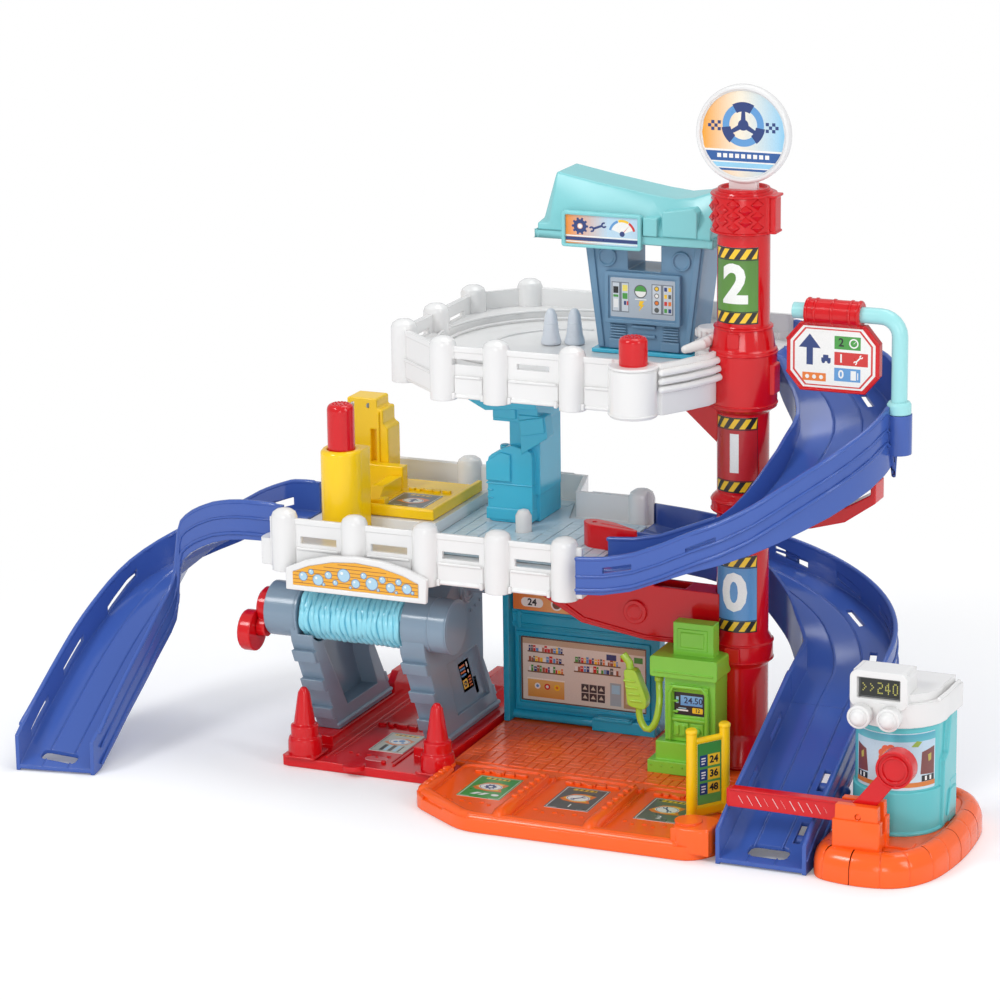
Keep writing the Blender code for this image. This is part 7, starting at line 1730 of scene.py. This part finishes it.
KERB_PLAN = [(0.1133, -0.15), (0.114, -0.172), (0.1215, -0.1868), (0.138, -0.1922), (0.158, -0.193),
    (0.176, -0.1885), (0.19, -0.1755),
    (0.1995, -0.152), (0.204, -0.112), (0.2022, -0.07), (0.1965, -0.047), (0.184, -0.031), (0.168, -0.0245),
    (0.15, -0.0265), (0.132, -0.0345), (0.119, -0.05), (0.1133, -0.07), (0.1133, -0.11)]
kerb_line, kerb_notch = seamed(smooth(KERB_PLAN, 5), 0.0215)
kerb_rows = []
for inset, z in ((0.0, 0.0), (0.0, 0.0095), (0.0006, 0.013), (0.002, 0.0165), (0.0042, 0.0196),
        (0.0072, 0.0216), (0.0105, 0.0222),
        (0.0132, 0.0214), (0.0146, 0.0202), (0.015, 0.0192)):
    kerb_row = []
    for i, point in enumerate(kerb_line):
        ahead = (kerb_line[(i + 1) % len(kerb_line)] - kerb_line[i - 1]).normalized()
        depth = inset + kerb_notch[i]
        kerb_row.append((max(point.x, 0.1133) - ahead.y * depth, point.y + ahead.x * depth,
            max(0.0, z - (kerb_notch[i] if z > 0.01 else 0.0))))
    kerb_rows.append(kerb_row)
kerb = bmesh.new()
skin(kerb, [[kerb.verts.new(place) for place in kerb_row] for kerb_row in kerb_rows])
booth_ground = made("booth_base_shell", "garage", orange_abs, kerb)
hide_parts("booth_base")
court = bmesh.new()
for x0, x1, y0, y1 in ((0.1275, 0.156, -0.156, -0.142), (0.16, 0.18, -0.162, -0.148),
        (0.1275, 0.156, -0.064, -0.046),
        (0.16, 0.18, -0.064, -0.05)):
    slab(court, rounded((x0, x1), (y0, y1), 0.002, 3), 0.0185, 0.0202)
made("booth_court", "garage", orange_abs, court, 0.0004, 1)

BOOTH_X = 0.1545
BOOTH_Y = -0.109
BOOTH_CARD_RADIUS = 0.03062
aqua_abs = plastic("aqua_abs", tint(98, 196, 202), 0.18)
moulded("booth_body", aqua_abs, 0.0014, 3)
skirt_plan = []
for k in range(25):
    turn = math.radians(152 + 228 * k / 24)
    skirt_plan.append((BOOTH_X + 0.0318 * math.cos(turn), BOOTH_Y + 0.0318 * math.sin(turn)))
skirt_plan += [(0.1883, -0.098), (0.1883, -0.0826), (0.1272, -0.0826)]
skirt = bmesh.new()
slab(skirt, skirt_plan, 0.0188, 0.0505)
for low, high, reach in ((0.0958, 0.0982, 0.0314), (0.0188, 0.0216, 0.033)):
    turns = [math.radians(150 + 230 * k / 24) for k in range(25)]
    plan = [(BOOTH_X + reach * math.cos(turn), BOOTH_Y + reach * math.sin(turn)) for turn in turns]
    slab(skirt, plan + [(0.185, -0.084), (0.127, -0.084)], low, high)
for x, y0, y1, z0, z1 in ((0.1868, -0.103, -0.085, 0.056, 0.092), (0.1884, -0.106, -0.086, 0.026, 0.044)):
    slab(skirt, [(y0, z0), (y1, z0), (y1, z1), (y0 + 0.006, z1)], x - 0.001, x + 0.0011, "X")
made("booth_skirt", "garage", aqua_abs, skirt, 0.0013, 3)
window = [bar(0, 0, 64, 40, tint(206, 226, 236), tint(188, 214, 232)),
    bar(0, 17.2, 64, 5.4, tint(96, 186, 200), tint(76, 168, 190)),
    patch([(-31, 9.5), (-21.5, 6.5), (-19.5, -9.5), (-31, -10.5)], tint(126, 70, 66))
    + patch([(20, 6.5), (31, 9.5), (31, -10.5), (19.0, -9.5)], tint(126, 70, 66)),
    bars(INK_BLACK, (-25.5, -12.8, 11, 4.4), (25.5, -12.8, 11, 4.4)),
    bars(INK_WHITE, (-27.5, -12.8, 1.6, 3.2), (-23.5, -12.8, 1.6, 3.2), (23.5, -12.8, 1.6, 3.2),
    (27.5, -12.8, 1.6, 3.2)),
    bar(0, -16.8, 64, 3.4, tint(214, 124, 48))]
pot = []
for k in range(9):
    turn = 2 * math.pi * k / 9
    pot += disc(-3 + 5.4 * math.cos(turn), 4.5 + 5.4 * math.sin(turn), 2.9, tint(226, 92, 48), steps=14)
pot += disc(-3, 4.5, 5.0, tint(240, 132, 60), steps=20)
pot += patch([(12, 11), (16, 15), (20, 14), (17, 10.5)],
    tint(150, 176, 66)) + patch([(-27, 3), (-24, 5), (-24, 0), (-26.5, -1)], tint(190, 176, 84))
pot += patch([(25, 4), (28, 5), (28, 0), (25.6, -1)], tint(190, 176, 84))
window.append(pot)
printed("booth_card", "garage", (BOOTH_X + BOOTH_CARD_RADIUS * 0.1736, BOOTH_Y - BOOTH_CARD_RADIUS * 0.9848,
    0.0726), (0.9848, 0.1736, 0), (0, 0, 1),
    (rounded((-32, 32), (-20.5, 20.5), 1.0, 2), tint(200, 222, 234)), window, 0.0001, BOOTH_CARD_RADIUS)

moulded("booth_roof", white_abs, 0.0016, 3)
crown = bmesh.new()
for x in (0.138, 0.159):
    lathe(crown, [(0.0084, -0.144), (0.0084, -0.1515), (0.0078, -0.1524), (0.0066, -0.1524), (0.006, -0.1515),
        (0.006, -0.144)], (x, 0.1063), "Y", 36)
    lathe(crown, [(0.0054, -0.15), (0.0054, -0.1535), (0.005, -0.1549), (0.004, -0.156), (0.0026, -0.1568),
        (0.001, -0.1571)], (x, 0.1063), "Y", 32)
hood = rounded((0.129, 0.1695), (0.1105, 0.1368), 0.0052, 6)
slab(crown, hood, -0.1364, -0.118, "Y")
surround(crown, rounded((0.1286, 0.1699), (0.1108, 0.1372), 0.0056, 6),
    rounded((0.1338, 0.1647), (0.1174, 0.1324), 0.0008, 6),
    -0.1424, -0.135, "Y")
rod(crown, [(0.1868, -0.124, 0.1165), (0.188, -0.105, 0.1165), (0.188, -0.08, 0.1165)], 0.0016, 10)
made("booth_roof_trim", "garage", white_abs, crown, 0.0009, 2)
display_black = plastic("display_black", tint(38, 40, 42), 0.3)
moulded("booth_display", display_black, 0.0003)
GLYPHS = {"right": "..... 1.... .1... ..1.. .1... 1.... .....",
    "2": "111.. ...1. ...1. .11.. 1.... 1.... 1111.",
    "4": "..1.. .11.. 1.1.. 1.1.. 1111. ..1.. ..1..", "0": ".11.. 1..1. 1..1. 1..1. 1..1. 1..1. .11.."}
dots = []
for place, glyph in enumerate(("right", "right", "2", "4", "0")):
    for row, line in enumerate(GLYPHS[glyph].split()):
        for column, mark in enumerate(line):
            if mark == "1":
                dots += bar(-12.0 + 5.4 * place + 0.98 * column, 3.6 - 1.2 * row, 0.72, 0.9,
                    tint(196, 190, 90))
printed("booth_screen", "garage", (0.14925, -0.13902, 0.1248), RIGHT, UP,
    (rounded((-14.8, 14.8), (-6.9, 6.9), 0.4, 2), tint(96, 98, 98)),
    [bar(0, 0, 28.0, 12.4, tint(26, 28, 24)), dots])


# Barrier
# A red moulded arm with a round knob, swinging on a pin through the fork of an orange post.
moulded("barrier_post", orange_abs, 0.0012, 3)
moulded("barrier_pin", orange_abs, 0.0002)
moulded("barrier_arm", red_abs, 0.0009)
fork = bmesh.new()
for y0, y1 in ((-0.18, -0.1724), (-0.1636, -0.156)):
    slab(fork, rounded((0.129, 0.163), (y0, y1), 0.0008, 2), 0.0188, 0.0415)
made("barrier_post_step", "garage", orange_abs, fork, 0.0009, 2)
knob = bmesh.new()
for radius, face in ((0.0132, -0.1762), (0.0098, -0.1768)):
    lathe(knob, [(radius, -0.172), (radius, face + 0.0004), (radius - 0.0004, face), (radius - 0.0014, face),
        (radius - 0.0018, face + 0.0006),
        (radius - 0.0018, -0.174)], (0.1715, 0.08), "Y", 48)
rod(knob, [(0.053, -0.1722, 0.0505), (0.1, -0.1722, 0.0505), (0.14, -0.1722, 0.0505)], 0.0009, 8)
slab(knob, [(0.0498, 0.0395), (0.0516, 0.0372), (0.0516, 0.0508), (0.0498, 0.0508)], -0.1716, -0.1644, "Y")
made("barrier_knob_rings", "barrier", red_abs, knob)
marks = bmesh.new()
for k, (tall, thick) in enumerate(((5.4, 0.34), (6.8, 0.34), (6.8, 0.52), (5.6, 0.16), (6.8, 0.44),
        (5.8, 0.14), (6.8, 0.56), (6.8, 0.44),
        (6.8, 0.4), (6.4, 0.4), (4.0, 0.12))):
    x = 58.5 + 6.2 * k
    slab(marks, [((x + a) / 1000, (43.8 + b) / 1000) for a,
        b in ((0.62 * tall, -tall / 2), (thick + 0.62 * tall, -tall / 2),
        (thick, tall / 2), (0, tall / 2))], -0.17206, -0.1719, "Y")
made("barrier_marks", "barrier", white_abs, marks)


# Tower cap and round sign
# A red moulded cap with rows of diamond facets between two collars, and a white disc on a flat
# stem that drops into its slot. A printed round label lies in the disc's dish.
moulded("tower_cap", red_abs, 0.0008)
cap = bmesh.new()
for z0, z1, radius in ((0.4075, 0.4092, 0.024), (0.4338, 0.4358, 0.024)):
    lathe(cap, [(radius - 0.001, z0), (radius, z0 + 0.0004), (radius, z1 - 0.0004), (radius - 0.001, z1)],
        (0, 0), sides=56)
lathe(cap, [(0.0188, 0.4355), (0.0188, 0.4388), (0.0182, 0.4394), (0.0168, 0.4394), (0.0162, 0.4388),
    (0.0162, 0.4376)], (0, 0), sides=48)
slab(cap, rounded((0.012, 0.0262), (-0.008, 0.0055), 0.0012, 3), 0.4082, 0.4345)
slab(cap, rounded((0.011, 0.0276), (-0.0094, 0.0069), 0.0014, 3), 0.4336, 0.4354)
slab(cap, rounded((0.011, 0.027), (-0.0088, 0.0063), 0.0014, 3), 0.4078, 0.4094)
made("tower_cap_collars", "garage", red_abs, cap, 0.0004, 2)
facet = bmesh.new()
corners = [facet.verts.new(place) for place in ((0.5, 0, 0), (0, 0.5, 0), (-0.5, 0, 0), (0, -0.5, 0))]
apex = facet.verts.new((0, 0, 0.5))
facet.faces.new(corners[::-1])
for a, b in zip(corners, corners[1:] + corners[:1]):
    facet.faces.new((a, b, apex))
bmesh.ops.recalc_face_normals(facet, faces=facet.faces[:])
facets = []
for k in range(16):
    turn = 2 * math.pi * k / 16
    for level in range(3):
        z = 0.4133 + 0.0082 * level + (0.0041 if k % 2 else 0.0)
        if z < 0.432 and not (math.cos(turn) > 0.85):
            facets.append(((0.0222 * math.cos(turn), 0.0222 * math.sin(turn), z), (0, math.pi / 2, turn),
                (0.0088, 0.0104, 0.0056)))
spread("tower_cap_facets", "garage", facet, facets, red_abs, 0.01, 4)

moulded("top_sign", white_abs, 0.0009, 3)
SIGN_MIDDLE = 0.477
rim = bmesh.new()
lathe(rim, [(0.0318, 0.001), (0.0318, -0.0034), (0.0324, -0.0042), (0.0334, -0.0046), (0.0344, -0.0042),
    (0.035, -0.0032), (0.0354, -0.0015),
    (0.0354, 0.0015), (0.0348, 0.0032), (0.0338, 0.004), (0.0326, 0.0036), (0.0318, 0.003)],
    (0.0, SIGN_MIDDLE), "Y", 72)
for face in [f for f in rim.faces if len(f.verts) > 10]:
    rim.faces.remove(face)
made("top_sign_rim", "garage", white_abs, rim)
FILM = 30.9


def chord(low, high, ink, far=None):
    """Print: a level band of the round label in mm."""
    points = []
    for k in range(9):
        y = low + (high - low) * k / 8
        points.append((math.sqrt(max(FILM ** 2 - y * y, 0.0)), y))
    points += [(-x, y) for x, y in points[::-1]]
    return [(points, [ink if y < (low + high) / 2 or not far else far for x, y in points])]


glow = []
for k in range(44):
    x0 = -FILM + 2 * FILM * k / 44
    x1 = -FILM + 2 * FILM * (k + 1) / 44
    rows = [(x, math.sqrt(max(FILM ** 2 - x * x, 0.0))) for x in (x0, x1)]
    share = k / 43
    if share < 0.45:
        inks = [a + (b - a) * share / 0.45 for a, b in zip(tint(244, 164, 40), tint(248, 236, 214))]
    else:
        inks = [a + (b - a) * (share - 0.45) / 0.55 for a, b in zip(tint(248, 236, 214), tint(150, 210, 242))]
    glow.append(([(x0, -rows[0][1]), (x1, -rows[1][1]), (x1, rows[1][1]), (x0, rows[0][1])],
        [tuple(inks)] * 4))
WHEEL_Z = 6.5
wheel = disc(0, WHEEL_Z, 15.5, INK_BLUE, 10.4, 0, 360, 1.0, 48) + disc(0, WHEEL_Z, 4.0, INK_NAVY, 0, 0, 360,
    1.0, 24)
for k in range(3):
    turn = math.radians(90 + 120 * k)
    c, s = math.cos(turn), math.sin(turn)
    wheel += patch([(3 * c - 1.8 * s, WHEEL_Z + 3 * s + 1.8 * c),
        (11 * c - 1.3 * s, WHEEL_Z + 11 * s + 1.3 * c),
        (11 * c + 1.3 * s, WHEEL_Z + 11 * s - 1.3 * c), (3 * c + 1.8 * s, WHEEL_Z + 3 * s - 1.8 * c)][::-1],
        INK_NAVY)
grips = disc(0, WHEEL_Z, 16.4, INK_NAVY, 9.6, 60, 120, 1.0, 12) + disc(0, WHEEL_Z, 16.4, INK_NAVY, 9.6, 188,
    232, 1.0, 10)
grips += disc(0, WHEEL_Z, 16.4, INK_NAVY, 9.6, 308, 352, 1.0, 10)
flags = []
for i in range(3):
    for j in range(4):
        if (i + j) % 2:
            flags += bars(INK_NAVY, (-25.2 + 2.4 * j, 3.0 + 2.4 * i, 2.4, 2.4),
                (25.2 - 2.4 * j, 3.0 + 2.4 * i, 2.4, 2.4))
boxes = []
for k in range(9):
    boxes += bar(-18.0 + 4.5 * k, -15.8, 3.0, 3.0, INK_WHITE)
sign_layers = [glow, chord(-12.6, -11.2, INK_WHITE) + chord(-19.6, -12.6, tint(40, 92, 160)) + chord(-24.0,
    -20.6, tint(150, 210, 240))
    + chord(-26.4, -24.8, tint(40, 92, 160)) + chord(-20.6, -19.6, INK_WHITE) + chord(-24.8, -24.0,
    INK_WHITE),
    wheel + flags + boxes, grips]
printed("top_sign_film", "garage", (0.0, -0.00196, SIGN_MIDDLE), RIGHT, UP,
    ([(FILM * math.cos(2 * math.pi * k / 64), FILM * math.sin(2 * math.pi * k / 64)) for k in range(64)],
    tint(236, 240, 240)), sign_layers)

low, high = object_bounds()
